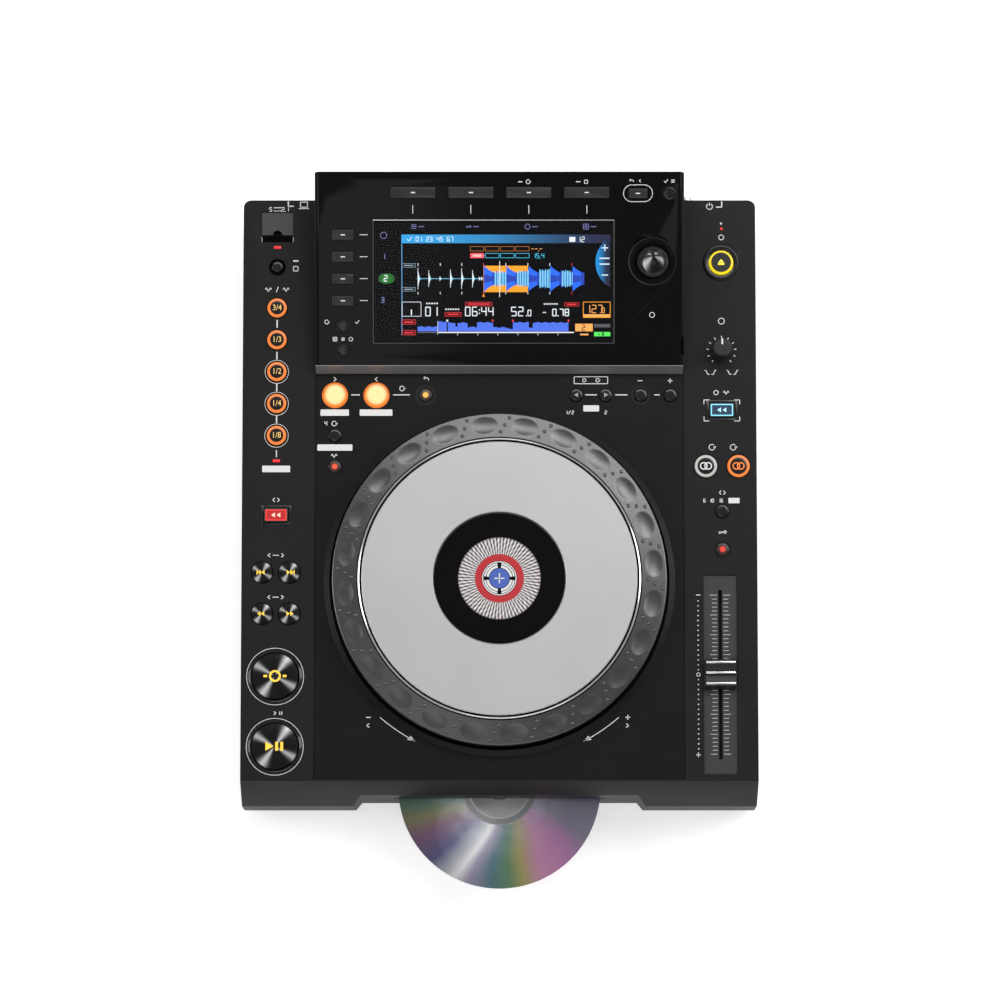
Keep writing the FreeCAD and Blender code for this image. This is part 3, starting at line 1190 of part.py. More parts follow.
def make_rear_sockets():
    z = SOCKET_Z
    panel_inner = TRAY_REAR_Y - TRAY_SHEET
    sockets = []
    for x in LINE_X + (DIGITAL_X,):
        tip = REAR_Y + LINE_BARREL_LENGTH
        barrel = cylinder_y(LINE_BARREL_RADIUS, panel_inner, tip, x, z)
        insulator = lying_y(LINE_INSULATOR_RADIUS, panel_inner - 2.0, REAR_Y + INSULATOR_PROUD, x, z)
        bore = lying_y(LINE_BARREL_BORE, tip - 7.0, tip + 1, x, z)
        body = box(x - 6, x + 6, panel_inner - 10, panel_inner, z - 6, z + 6)
        sockets.append(joined([barrel, insulator, body]).cut(bore))
    neck = lying_y(CONTROL_NECK_RADIUS, panel_inner - 2.0, REAR_Y + 0.2, CONTROL_X, z)
    body = box(CONTROL_X - 5, CONTROL_X + 5, panel_inner - 13, panel_inner, z - 5, z + 5)
    bore = cylinder_y(CONTROL_BORE_RADIUS, REAR_Y - 12.0, REAR_Y + 1, CONTROL_X, z)
    sockets.append(joined([neck, body]).cut(bore))
    sockets.append(mouth(NETWORK_X, NETWORK_WIDTH, NETWORK_HEIGHT, NETWORK_DEPTH, z))
    tongue = box(USB_B_X - 2.8, USB_B_X + 2.8, TRAY_REAR_Y - 10.0, TRAY_REAR_Y - 1.0, z - 1.6, z + 1.6)
    sockets.append(joined([mouth(USB_B_X, USB_B_WIDTH, USB_B_HEIGHT, 10.4, z), tongue]))
    inlet = mouth(INLET_X, INLET_WIDTH, INLET_HEIGHT, INLET_DEPTH, z)
    root = TRAY_REAR_Y + 0.4 - INLET_DEPTH - 0.5
    half_w, half_h = INLET_PIN_WIDTH / 2, INLET_PIN_HEIGHT / 2
    pins = [box(INLET_X + dx - half_w, INLET_X + dx + half_w, root, root + INLET_PIN_LENGTH,
                z + dz - half_h, z + dz + half_h) for dx, dz in INLET_PINS]
    sockets.append(joined([inlet] + pins))
    sockets.append(make_usb_port())
    return apart(sockets)


def make_usb_port():
    """Upright USB port under its flap, standing on the left strip's board."""
    x = LEFT_STRIP_X
    y = USB_FLAP_FRONT_Y + USB_FLAP_LENGTH / 2
    top = DECK_HEIGHT - USB_FLAP_THICKNESS - 0.6
    low = BOARD_TOP
    shell = block(x, y, 14.4, 7.0, low, top)
    hollow = block(x, y, 13.2, 5.8, low + 1.0, top + 1)
    tongue = block(x, y + 1.6, 11.0, 1.8, low + 0.5, top - 1.0)
    return joined([shell.cut(hollow), tongue])


def make_power_button():
    z = SOCKET_Z
    half_w, half_h = POWER_WIDTH / 2, POWER_HEIGHT / 2
    panel_inner = TRAY_REAR_Y - TRAY_SHEET
    cap = box(POWER_X - half_w, POWER_X + half_w, panel_inner - 1.5, REAR_Y + POWER_PROUD,
              z - half_h, z + half_h)
    flange = box(POWER_X - half_w - 1.5, POWER_X + half_w + 1.5, panel_inner - 1.5,
                 panel_inner - 0.2, z - half_h - 1.5, z + half_h + 1.5)
    stem = box(POWER_X - 2, POWER_X + 2, panel_inner - 6.0, panel_inner - 1.5, z - 2, z + 2)
    return joined([cap, flange, stem])


def make_feet():
    return apart([many_sided(FOOT_RADIUS, 0, FOOT_HEIGHT, x, y) for x, y in foot_places()])


def make_screws():
    """Heads of the screws under the base."""
    low = FOOT_HEIGHT - SCREW_HEAD_HEIGHT
    return apart([many_sided(SCREW_HEAD_RADIUS, low, FOOT_HEIGHT, x, y, SCREW_SIDES)
                  for x, y in screw_places()])


# Boards with their switches, the display module and the power supply
def board(x0, x1, y0, y1, top):
    return box(x0, x1, y0, y1, top - BOARD_THICKNESS, top)


def strip_boards():
    left_keys = [(x, y) for x, y, r, rise in strip_round_keys().values() if x < 0]
    left_keys += [(x, y) for x, y, w, l in strip_bar_keys().values() if x < 0]
    right_keys = [(x, y) for x, y, r, rise in strip_round_keys().values() if x > 0]
    right_keys += [(x, y) for x, y, w, l in strip_bar_keys().values() if x > 0]
    left = board(LEFT_STRIP_X - 15, LEFT_STRIP_X + 15, PLAY_Y - 8, USB_HINGE_Y - 2, BOARD_TOP)
    right = board(RIGHT_STRIP_X - 15, RIGHT_STRIP_X + 15, MASTER_TEMPO_Y - 7, EJECT_Y + 12, BOARD_TOP)
    left_parts = [lifted(s, DECK_HEIGHT) for s in switches(left_keys)]
    right_parts = [lifted(s, DECK_HEIGHT) for s in switches(right_keys)]
    pot = block(RIGHT_STRIP_X, SPEED_Y, 10.0, 10.0, BOARD_TOP, CASE_CEILING - 1.0)
    pot = pot.cut(many_sided(SPEED_SHAFT_RADIUS + BEARING_CLEARANCE, BOARD_TOP + 0.8, CASE_CEILING,
                             RIGHT_STRIP_X, SPEED_Y))
    return [joined([left] + left_parts), joined([right] + right_parts + [pot])]


def panel_boards():
    top = PANEL_TOP - BOARD_DROP
    margin = 8.0
    rear_left = board(LOOP_IN_X - margin, RELOOP_X + margin, DECK_ROW_Y - margin, DECK_ROW_Y + margin, top)
    side_left = board(LOOP_IN_X - margin, LOOP_IN_X + margin, SLIP_Y - margin, DECK_ROW_Y, top)
    right = board(CALL_X - CALL_PITCH - 3, MEMORY_X + 5, DECK_ROW_Y - margin, DECK_ROW_Y + margin, top)
    places = [(x, y) for x, y, radius in panel_keys().values()]
    left_places = [place for place in places if place[0] < 0]
    right_places = [place for place in places if place[0] > 0] + call_places()
    left_parts = [lifted(s, PANEL_TOP) for s in switches(left_places)]
    right_parts = [lifted(s, PANEL_TOP) for s in switches(right_places)]
    return [joined([rear_left, side_left] + left_parts), joined([right] + right_parts)]


def head_board():
    sheet = board(-HEAD_WIDTH / 2 + 6, HEAD_WIDTH / 2 - 6, QUANTIZE_S - 5, MENU_S + 1.5, -BOARD_DROP)
    places = menu_places() + source_places() + [(BACK_X, BACK_S), (SELECTOR_X, SELECTOR_S)]
    places += [(x, s) for x, s, radius in head_round_keys().values()]
    parts = switches(places)
    module = block(WINDOW_CENTRE_X, WINDOW_CENTRE_S, WINDOW_WIDTH, WINDOW_HEIGHT,
                   -BOARD_DROP, -HEAD_WALL)
    return [on_head(joined([sheet, module] + parts))]


def main_board():
    x0, x1 = MAIN_BOARD_X
    y0, y1 = MAIN_BOARD_Y
    sheet = board(x0, x1, y0, y1, MAIN_BOARD_Z + BOARD_THICKNESS)
    top = MAIN_BOARD_Z + BOARD_THICKNESS
    chip = block((x0 + x1) / 2, (y0 + y1) / 2, CHIP_SIZE, CHIP_SIZE, top, top + CHIP_HEIGHT)
    sink = block(x0 + SINK_INSET_X, y1 - SINK_INSET_Y, SINK_WIDTH, SINK_LENGTH, top, top + SINK_HEIGHT)
    supply_x = -TRAY_HALF + SUPPLY_INSET_X
    supply_y = REAR_Y - SUPPLY_INSET_Y
    supply = box(supply_x, supply_x + SUPPLY_WIDTH, supply_y - SUPPLY_LENGTH, supply_y,
                 TRAY_TOP, TRAY_TOP + SUPPLY_HEIGHT)
    return [joined([sheet, chip, sink]), supply]


def encoder_body():
    size = 12.0
    low = WELL_FLOOR_BOTTOM - 5.0
    body = block(ENCODER_X, ENCODER_Y, size, size, low, WELL_FLOOR_BOTTOM)
    return [body.cut(cylinder(ENCODER_SHAFT_RADIUS + BEARING_CLEARANCE, low + 0.5,
                              WELL_FLOOR_BOTTOM + 1, ENCODER_X, ENCODER_Y))]


def make_circuit_boards():
    return apart(strip_boards() + panel_boards() + head_board() + main_board() + encoder_body())


def make_keys():
    """Every key or key moulding, by node name."""
    nodes = {}
    for name, (x, y, radius, rise) in strip_round_keys().items():
        large = radius == CUE_RADIUS
        key = round_key(x, y, radius, CASE_WALL, rise=rise, chamfer=0.6 if large else 0.0,
                        sides=CUE_SIDES if large else ROUND_SIDES)
        nodes[name] = lifted(key, DECK_HEIGHT)
    for name, (x, y, width, length) in strip_bar_keys().items():
        nodes[name] = lifted(bar_key([(x, y)], width, length, CASE_WALL), DECK_HEIGHT)
    panel_wall = PANEL_THICKNESS + PANEL_FLANGE
    for name, (x, y, radius) in panel_keys().items():
        nodes[name] = lifted(round_key(x, y, radius, panel_wall), PANEL_TOP)
    nodes["call_keys"] = lifted(make_call_keys(panel_wall), PANEL_TOP)
    for name, (x, s, radius) in head_round_keys().items():
        nodes[name] = on_head(round_key(x, s, radius, HEAD_WALL))
    nodes["menu_keys"] = on_head(bar_key(menu_places(), MENU_WIDTH, MENU_HEIGHT, HEAD_WALL))
    nodes["source_keys"] = on_head(bar_key(source_places(), SOURCE_WIDTH, SOURCE_HEIGHT, HEAD_WALL))
    nodes["back_key"] = on_head(bar_key([(BACK_X, BACK_S)], BACK_WIDTH, BACK_HEIGHT, HEAD_WALL))
    return nodes


def make_call_keys(wall):
    """Two round caps on one moulding."""
    flange_top, flange_bottom, stem_bottom = key_levels(wall, KEY_TRAVEL)
    pair = [round_key(x, y, SMALL_KEY_RADIUS, wall) for x, y in call_places()]
    bridge = block(CALL_X, DECK_ROW_Y, CALL_PITCH, KEY_STEM, flange_bottom, flange_top)
    return joined(pair + [bridge])


def make_nodes():
    """Every node of the player, by name."""
    nodes = {
        "top_case": make_top_case(),
        "deck_panel": make_deck_panel(),
        "bottom_tray": make_bottom_tray(),
        "display_housing": make_display_housing(),
        "display_window": make_display_window(),
        "jog_ring": make_jog_ring(),
        "jog_plate": make_jog_plate(),
        "jog_display": make_jog_display(),
        "encoder_wheel": make_encoder_wheel(),
        "disc": make_disc(),
        "loading_roller": make_roller(),
        "loader_frame": make_loader_frame(),
        "disc_clamp": make_disc_clamp(),
        "drive_sled": make_drive_sled(),
        "turntable": make_turntable(),
        "optical_pickup": make_pickup(),
        "fader_track": make_fader_track(),
        "tempo_slider": make_tempo_slider(),
        "speed_knob": make_speed_knob(),
        "selector_shaft": make_selector_shaft(),
        "selector_knob": make_selector_knob(),
        "usb_flap": make_usb_flap(),
        "power_button": make_power_button(),
        "rear_sockets": make_rear_sockets(),
        "circuit_boards": make_circuit_boards(),
        "rubber_feet": make_feet(),
        "case_screws": make_screws(),
    }
    nodes.update(make_keys())
    return nodes


def main():
    os.makedirs("parts", exist_ok=True)
    for name, shape in make_nodes().items():
        shape.translate(ORIGIN_SHIFT)
        valid = shape.isValid() and all(solid.Volume > 0 for solid in shape.Solids)
        print("%-18s %2d solids %9.1f mm3 %s" % (name, len(shape.Solids), shape.Volume,
                                                 "ok" if valid else "CHECK"))
        shape.exportStep("parts/%s.step" % name)


if __name__ == "__main__":
    main()
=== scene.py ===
"""The looks of a tabletop slot-loading disc player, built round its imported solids.

Lengths in this file are in millimetres. DeckSpace turns them to metres on the deck's own axes, where
Y is 0 at the front edge of the deck. Each sub-assembly is a class that builds and dresses its pieces.
"""

import logging
import math
from dataclasses import dataclass
from enum import Enum
from typing import Callable, Iterable, Optional, Sequence, Union

import bmesh
import bpy
from mathutils import Matrix, Vector


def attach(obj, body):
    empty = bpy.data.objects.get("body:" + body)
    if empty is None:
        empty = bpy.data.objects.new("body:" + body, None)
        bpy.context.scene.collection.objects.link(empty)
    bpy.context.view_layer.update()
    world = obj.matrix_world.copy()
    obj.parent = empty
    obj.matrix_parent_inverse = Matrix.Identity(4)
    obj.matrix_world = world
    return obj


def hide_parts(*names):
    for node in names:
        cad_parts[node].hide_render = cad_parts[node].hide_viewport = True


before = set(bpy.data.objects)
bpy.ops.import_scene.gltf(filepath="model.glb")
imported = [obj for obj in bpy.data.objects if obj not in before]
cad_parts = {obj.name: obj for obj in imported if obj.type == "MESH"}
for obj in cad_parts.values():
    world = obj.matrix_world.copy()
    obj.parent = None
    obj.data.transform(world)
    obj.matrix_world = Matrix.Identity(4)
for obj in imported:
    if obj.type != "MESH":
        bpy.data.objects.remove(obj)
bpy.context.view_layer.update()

LOG = logging.getLogger("player")
Colour = tuple[float, float, float]
Point = tuple[float, float]
Number = Union[float, "Signal"]


class Level(Enum):
    """The heights and slopes that pieces are drawn on."""

    DECK = "deck"
    PANEL = "panel"
    HEAD = "head"


@dataclass(frozen=True)
class DeckSpace:
    """Where the drawing lies in the frame that all pieces share."""

    shift_y: float = -148.55
    deck_z: float = 70.0
    panel_z: float = 69.2
    head_y: float = 246.0
    head_z: float = 79.0
    head_run: float = 111.7
    head_rise: float = 27.6
    head_cosine: float = 0.9708

    def matrix(self, level: Optional[Level]) -> Matrix:
        """The move from millimetres on a level to metres in the frame.

        Args:
            level: the level whose face is z = 0, or None for heights from the table.

        Returns:
            The matrix to apply to a finished mesh.
        """
        metres = Matrix.Scale(0.001, 4) @ Matrix.Translation((0.0, self.shift_y, 0.0))
        if level is Level.DECK:
            return metres @ Matrix.Translation((0.0, 0.0, self.deck_z))
        if level is Level.PANEL:
            return metres @ Matrix.Translation((0.0, 0.0, self.panel_z))
        if level is Level.HEAD:
            tilt = Matrix.Rotation(math.atan2(self.head_rise, self.head_run), 4, "X")
            return metres @ Matrix.Translation((0.0, self.head_y, self.head_z)) @ tilt
        return metres


SPACE = DeckSpace()


class Signal:
    """A shader socket that takes part in Python expressions."""

    def __init__(self, graph: "Graph", socket: bpy.types.NodeSocket) -> None:
        """Keep the socket and the graph that new Math nodes go to."""
        self.graph = graph
        self.socket = socket

    def math(self, operation: str, *others: Number, flipped: bool = False) -> "Signal":
        """Add one Math node.

        Args:
            operation: the node's operation.
            others: the other operands.
            flipped: whether this signal comes second.

        Returns:
            The node's result.
        """
        operands = [self, *others]
        if flipped:
            operands = [others[0], self]
        inputs = {index: operand for index, operand in enumerate(operands)}
        return Signal(self.graph,
                      self.graph.node("ShaderNodeMath", {"operation": operation}, inputs).outputs[0])

    def __add__(self, other: Number) -> "Signal":
        """Sum."""
        return self.math("ADD", other)

    __radd__ = __add__

    def __sub__(self, other: Number) -> "Signal":
        """Difference."""
        return self.math("SUBTRACT", other)

    def __rsub__(self, other: Number) -> "Signal":
        """Difference from a number."""
        return self.math("SUBTRACT", other, flipped=True)

    def __mul__(self, other: Number) -> "Signal":
        """Product."""
        return self.math("MULTIPLY", other)

    __rmul__ = __mul__

    def __truediv__(self, other: Number) -> "Signal":
        """Quotient."""
        return self.math("DIVIDE", other)

    def __pow__(self, other: Number) -> "Signal":
        """Power."""
        return self.math("POWER", other)

    def sine(self) -> "Signal":
        """Sine of the value in radians."""
        return self.math("SINE")

    def cosine(self) -> "Signal":
        """Cosine of the value in radians."""
        return self.math("COSINE")

    def size(self) -> "Signal":
        """The value without its sign."""
        return self.math("ABSOLUTE")

    def larger(self, other: Number) -> "Signal":
        """The larger of two values."""
        return self.math("MAXIMUM", other)

    def smaller(self, other: Number) -> "Signal":
        """The smaller of two values."""
        return self.math("MINIMUM", other)

    def ramp(self, low: float, high: float) -> "Signal":
        """A smooth step from 0 at low to 1 at high.

        Args:
            low: where the step starts.
            high: where it ends; it may be below low.

        Returns:
            The stepped value.
        """
        settings = {"interpolation_type": "SMOOTHSTEP", "clamp": True}
        inputs = {0: self, 1: low, 2: high, 3: 0.0, 4: 1.0}
        return Signal(self.graph, self.graph.node("ShaderNodeMapRange", settings, inputs).outputs[0])

    def band(self, low: float, high: float, soft: float) -> "Signal":
        """1 between low and high, with soft edges."""
        return self.ramp(low - soft, low + soft) * self.ramp(high + soft, high - soft)


class Graph:
    """The node tree of one material, round one Principled shader, or of the world."""

    def __init__(self, name: str, tree: Optional[bpy.types.NodeTree] = None) -> None:
        """Start an empty tree, with a shader and an output if it is a material's.

        Args:
            name: the material's name.
            tree: the world's tree, if it isn't for a material.
        """
        self.tree = tree
        if tree is None:
            self.material = bpy.data.materials.new(name)
            self.material.use_nodes = True
            self.tree = self.material.node_tree
        self.tree.nodes.clear()
        if tree is None:
            self.shader = self.node("ShaderNodeBsdfPrincipled", {}, {})
            self.node("ShaderNodeOutputMaterial", {}, {"Surface": self.shader.outputs[0]})

    def node(self, kind: str, settings: dict, inputs: dict) -> bpy.types.Node:
        """Add a node.

        Args:
            kind: the node's type.
            settings: its own settings, set first; "stops" are a ramp's places and colours.
            inputs: values or links of its sockets, by name or number.

        Returns:
            The node.
        """
        node = self.tree.nodes.new(kind)
        for name, value in settings.items():
            if name == "stops":
                self._set_stops(node.color_ramp, value)
            else:
                setattr(node, name, value)
        for name, value in inputs.items():
            self.feed(node.inputs[name], value)
        return node

    @staticmethod
    def _set_stops(ramp: bpy.types.ColorRamp, stops: Sequence[tuple[float, Colour]]) -> None:
        """Give a ramp its places and colours.

        Args:
            ramp: the ramp of a node.
            stops: places and colours, from the left.
        """
        while len(ramp.elements) < len(stops):
            ramp.elements.new(0.5)
        for element, (place, colour) in zip(ramp.elements, stops):
            element.position = place
            element.color = (*colour, 1.0)

    def feed(self, socket: bpy.types.NodeSocket, value: object) -> None:
        """Link a signal or an output to a socket, or set its value.

        Args:
            socket: the input.
            value: a signal, an output or a plain value.
        """
        if isinstance(value, Signal):
            value = value.socket
        if isinstance(value, bpy.types.NodeSocket):
            self.tree.links.new(value, socket)
        elif isinstance(value, tuple) and len(value) == 3 and socket.type == "RGBA":
            socket.default_value = (*value, 1.0)
        else:
            socket.default_value = value

    def surface(self, **values: object) -> None:
        """Set or link sockets of the Principled shader, their names written with underscores."""
        for name, value in values.items():
            self.feed(self.shader.inputs[name.replace("_", " ").title().replace("Ior", "IOR")], value)

    def place(self) -> bpy.types.NodeSocket:
        """Object coordinates, in metres in the shared frame."""
        return self.node("ShaderNodeTexCoord", {}, {}).outputs["Object"]

    def parts(self, vector: bpy.types.NodeSocket) -> tuple[Signal, Signal, Signal]:
        """The three parts of a vector."""
        split = self.node("ShaderNodeSeparateXYZ", {}, {0: vector})
        return Signal(self, split.outputs[0]), Signal(self, split.outputs[1]), Signal(self,
                                                                                      split.outputs[2])

    def noise(self, size: float, detail: float = 3.0, stretch: Optional[Colour] = None) -> Signal:
        """Noise with features of about the given size.

        Args:
            size: size of the features in millimetres.
            detail: octaves.
            stretch: scale along each axis, if not even.

        Returns:
            A value round 0.5.
        """
        vector = self.place()
        if stretch:
            vector = self.node("ShaderNodeMapping", {}, {"Vector": vector, "Scale": stretch}).outputs[0]
        inputs = {"Vector": vector, "Scale": 1000.0 / size, "Detail": detail}
        return Signal(self, self.node("ShaderNodeTexNoise", {}, inputs).outputs[0])

    def blend(self, factor: Number, low: object, high: object) -> bpy.types.NodeSocket:
        """A colour between low, at factor 0, and high, at factor 1.

        Args:
            factor: 0 for low, 1 for high.
            low: colour or link.
            high: colour or link.

        Returns:
            The output with the colour.
        """
        node = self.node("ShaderNodeMix", {"data_type": "RGBA"}, {})
        self.feed(node.inputs[0], factor)
        self.feed(node.inputs[6], low)
        self.feed(node.inputs[7], high)
        return node.outputs[2]

    def bump(self, height: Signal, depth: float, strength: float = 1.0) -> None:
        """Give the shader a bump; depth is in millimetres."""
        inputs = {"Height": height, "Distance": depth / 1000.0, "Strength": strength}
        self.feed(self.shader.inputs["Normal"], self.node("ShaderNodeBump", {}, inputs).outputs[0])

    def round_place(self, x: float, y: float) -> tuple[Signal, Signal]:
        """Distance in millimetres and angle in radians round an upright line.

        Args:
            x: place of the line on the deck.
            y: place of the line on the deck.

        Returns:
            Distance and angle.
        """
        across, along, _ = self.parts(self.place())
        across = across * 1000.0 - x
        along = along * 1000.0 - (y + SPACE.shift_y)
        distance = (across * across + along * along).math("SQRT")
        return distance, along.math("ARCTAN2", across)


class Finish:
    """A surface finish, made into a material the first time it is asked for."""

    made: dict[str, bpy.types.Material] = {}
    name: str

    def material(self) -> bpy.types.Material:
        """The finish's material.

        Returns:
            The material.
        """
        if self.name not in Finish.made:
            graph = Graph(self.name)
            self.paint(graph)
            Finish.made[self.name] = graph.material
        return Finish.made[self.name]

    def paint(self, graph: Graph) -> None:
        """Fill in the material's nodes."""
        raise NotImplementedError


@dataclass(frozen=True)
class Moulding(Finish):
    """Moulded or painted plastic, rubber or board with a fine grain."""

    name: str
    colour: Colour
    roughness: float = 0.5
    grain: float = 0.5
    grain_depth: float = 0.02
    mottle: float = 0.12
    coat: float = 0.0
    specular: float = 0.5

    def paint(self, graph: Graph) -> None:
        """Grain in the bump and the roughness, and a faint change of tone.

        Args:
            graph: the material's nodes.
        """
        broad = graph.noise(35.0, 2.0)
        fine = graph.noise(self.grain, 2.0)
        tone = broad * 0.6 + fine * 0.4
        dark = tuple(part * (1.0 - self.mottle) for part in self.colour)
        light = tuple(min(1.0, part * (1.0 + self.mottle)) for part in self.colour)
        graph.surface(base_color=graph.blend(tone, dark, light),
                      roughness=(broad - 0.5) * 0.12 + (fine - 0.5) * 0.1 + self.roughness,
                      coat_weight=self.coat, coat_roughness=0.04, specular_ior_level=self.specular)
        if self.grain_depth:
            graph.bump(fine, self.grain_depth)


@dataclass(frozen=True)
class Metal(Finish):
    """Blasted, plated or rolled metal."""

    name: str
    colour: Colour
    roughness: float = 0.3
    grain: float = 0.4
    grain_depth: float = 0.006
    stretch: Colour = (1.0, 1.0, 1.0)
    metallic: float = 1.0

    def paint(self, graph: Graph) -> None:
        """Fine grain, and slow changes of polish.

        Args:
            graph: the material's nodes.
        """
        fine = graph.noise(self.grain, 2.0, self.stretch)
        broad = graph.noise(60.0, 2.0)
        dark = tuple(part * 0.93 for part in self.colour)
        light = tuple(min(1.0, part * 1.06) for part in self.colour)
        graph.surface(base_color=graph.blend(fine * 0.7 + broad * 0.3, dark, light),
                      metallic=self.metallic,
                      roughness=(fine - 0.5) * 0.12 + (broad - 0.5) * 0.06 + self.roughness)
        if self.grain_depth:
            graph.bump(fine, self.grain_depth)


@dataclass(frozen=True)
class Glow(Finish):
    """A lit legend, lens or screen colour, a little uneven as light guides are."""

    name: str
    colour: Colour
    strength: float = 1.0
    roughness: float = 0.35

    def paint(self, graph: Graph) -> None:
        """Light of one hue whose strength wanders slightly.

        Args:
            graph: the material's nodes.
        """
        broad = graph.noise(6.0, 1.0)
        dark = tuple(part * 0.86 for part in self.colour)
        shade = graph.blend(broad, dark, self.colour)
        graph.surface(base_color=tuple(part * 0.35 for part in self.colour), emission_color=shade,
                      emission_strength=self.strength, roughness=(broad - 0.5) * 0.1 + self.roughness)


@dataclass(frozen=True)
class Ink(Finish):
    """Screen-printed ink."""

    name: str
    colour: Colour
    roughness: float = 0.6

    def paint(self, graph: Graph) -> None:
        """Ink whose cover is slightly uneven.

        Args:
            graph: the material's nodes.
        """
        fine = graph.noise(0.4, 2.0)
        dark = tuple(part * 0.8 for part in self.colour)
        graph.surface(base_color=graph.blend(fine, dark, self.colour),
                      roughness=(fine - 0.5) * 0.15 + self.roughness)


@dataclass(frozen=True)
class SpunCapPaintedGlint(Finish):
    """A black cap turned on a lathe, with two bright bars across each other painted into its colour as the
    highlights that its grooves throw.
    """

    name: str
    x: float
    y: float
    # Grey of the painted highlight bars.
    bright: float = 0.8
    turn: float = 0.9
    spread: float = 8.0

    def paint(self, graph: Graph) -> None:
        """Painted highlight bars by the angle round the cap, and grooves by the distance from its middle.

        Args:
            graph: the material's nodes.
        """
        distance, angle = graph.round_place(self.x, self.y)
        # Painted highlight: two bars in an X round the cap, light grey and a little metallic in the
        # colour.
        wave = ((angle - self.turn) * 2.0).cosine() * 0.5 + 0.5
        narrow = wave ** self.spread
        other = ((angle + self.turn * 0.55) * 2.0).cosine() * 0.5 + 0.5
        bars = (narrow + (other ** (self.spread * 1.6)) * 0.75).smaller(1.0)
        groove = (distance * 14.0).sine() * 0.5 + 0.5
        lit = bars * (groove * 0.25 + 0.75) * distance.ramp(0.2, 2.5)
        grey = (self.bright, self.bright, self.bright)
        graph.surface(base_color=graph.blend(lit, (0.004, 0.004, 0.0045), grey), metallic=lit * 0.3,
                      roughness=0.42 - lit * 0.1, specular_ior_level=0.12)
        graph.bump(groove, 0.01, 0.5)


@dataclass(frozen=True)
class LitCap(Finish):
    """A translucent round cap with a lamp behind it and a deeper hue at its edge."""

    name: str
    x: float
    y: float
    radius: float
    middle: Colour
    edge: Colour
    strength: float = 1.0
    spot: float = 0.62

    def paint(self, graph: Graph) -> None:
        """The hue by the distance from the cap's middle.

        Args:
            graph: the material's nodes.
        """
        distance, _ = graph.round_place(self.x, self.y)
        rim = (distance / self.radius).ramp(self.spot, self.spot + 0.38)
        cloud = graph.noise(2.5, 2.0)
        shade = graph.blend(rim, self.middle, self.edge)
        base = graph.blend(rim, tuple(part * 0.2 for part in self.middle),
                           tuple(part * 0.2 for part in self.edge))
        graph.surface(base_color=base, emission_color=shade, emission_strength=self.strength,
                      roughness=(cloud - 0.5) * 0.1 + 0.3)


@dataclass(frozen=True)
class MirrorDisc(Finish):
    """The playing side of a pressed disc, with painted reflections: the rainbow colours and pale rays that
    its fine tracks throw under the lamps.
    """

    name: str = "disc_foil"
    y: float = -0.6

    def paint(self, graph: Graph) -> None:
        """Painted reflection colours by the angle round the disc, drifting with the distance.

        Args:
            graph: the material's nodes.
        """
        distance, angle = graph.round_place(0.0, self.y)
        turn = angle / (2.0 * math.pi) + 0.5
        drift = distance * 0.0009
        streak = graph.noise(40.0, 1.0) * 0.05
        # The ramp is painted reflection: rainbow colours round the disc and a near-white band where a lamp
        # is mirrored.
        stops = ((0.0, (0.16, 0.17, 0.18)), (0.06, (0.13, 0.14, 0.15)), (0.10, (0.10, 0.17, 0.12)),
                 (0.13, (0.20, 0.19, 0.10)), (0.16, (0.17, 0.09, 0.15)), (0.20, (0.09, 0.09, 0.20)),
                 (0.235, (0.45, 0.46, 0.50)), (0.255, (0.80, 0.80, 0.82)), (0.275, (0.34, 0.30, 0.42)),
                 (0.31, (0.10, 0.20, 0.24)), (0.34, (0.14, 0.26, 0.14)), (0.37, (0.42, 0.36, 0.14)),
                 (0.405, (0.60, 0.28, 0.46)), (0.44, (0.50, 0.22, 0.46)), (0.49, (0.24, 0.22, 0.30)),
                 (1.0, (0.16, 0.17, 0.18)), )
        hue = graph.node("ShaderNodeValToRGB", {"stops": stops}, {0: turn + drift + streak})
        clear = distance.ramp(22.6, 22.0)
        label = distance.band(18.6, 22.0, 0.15)
        # The pale rays blended over the colours are a painted highlight.
        ray = graph.noise(9.0, 1.0, (1.0, 1.0, 1.0)) * distance.ramp(46.0, 22.0)
        shade = graph.blend(ray * 0.5, hue.outputs[0], (0.75, 0.76, 0.80))
        shade = graph.blend(clear, shade, (0.40, 0.41, 0.42))
        shade = graph.blend(label * 0.6, shade, (0.08, 0.085, 0.09))
        track = graph.noise(0.3, 1.0)
        graph.surface(base_color=shade, metallic=0.85 - clear * 0.5,
                      roughness=(track - 0.5) * 0.06 + 0.24, coat_weight=0.6, coat_roughness=0.03)


@dataclass(frozen=True)
class StrobeFace(Finish):
    """A printed disc of fine rays cut by rings, as seen in the middle of the jog wheel."""

    name: str = "strobe_face"
    y: float = 118.5
    rays: int = 72

    def paint(self, graph: Graph) -> None:
        """Rays by the angle, rings by the distance.

        Args:
            graph: the material's nodes.
        """
        distance, angle = graph.round_place(0.0, self.y)
        ray = (angle * float(self.rays)).sine() * 0.5 + 0.5
        ring = (distance * 9.0).sine() * 0.5 + 0.5
        twist = ((angle * 36.0) + (distance * 1.7)).sine() * 0.5 + 0.5
        mark = (ray * 0.55 + ring * 0.25 + twist * 0.2).ramp(0.25, 0.75)
        light = mark * distance.ramp(25.0, 23.0)
        shade = graph.blend(light, (0.035, 0.025, 0.028), (0.62, 0.58, 0.58))
        graph.surface(base_color=shade, emission_color=shade, emission_strength=0.25,
                      roughness=0.4 - mark * 0.1, coat_weight=0.5, coat_roughness=0.05)


@dataclass(frozen=True)
class ScreenGradient(Finish):
    """A lit band of the screen that fades along X."""

    name: str
    low_x: float
    high_x: float
    low: Colour
    high: Colour

    def paint(self, graph: Graph) -> None:
        """The hue by the place across the screen.

        Args:
            graph: the material's nodes.
        """
        across, _, _ = graph.parts(graph.place())
        step = (across * 1000.0).ramp(self.low_x, self.high_x)
        shade = graph.blend(step, self.low, self.high)
        graph.surface(base_color=(0.01, 0.01, 0.012), emission_color=shade, emission_strength=1.0,
                      roughness=step * 0.05 + 0.25)


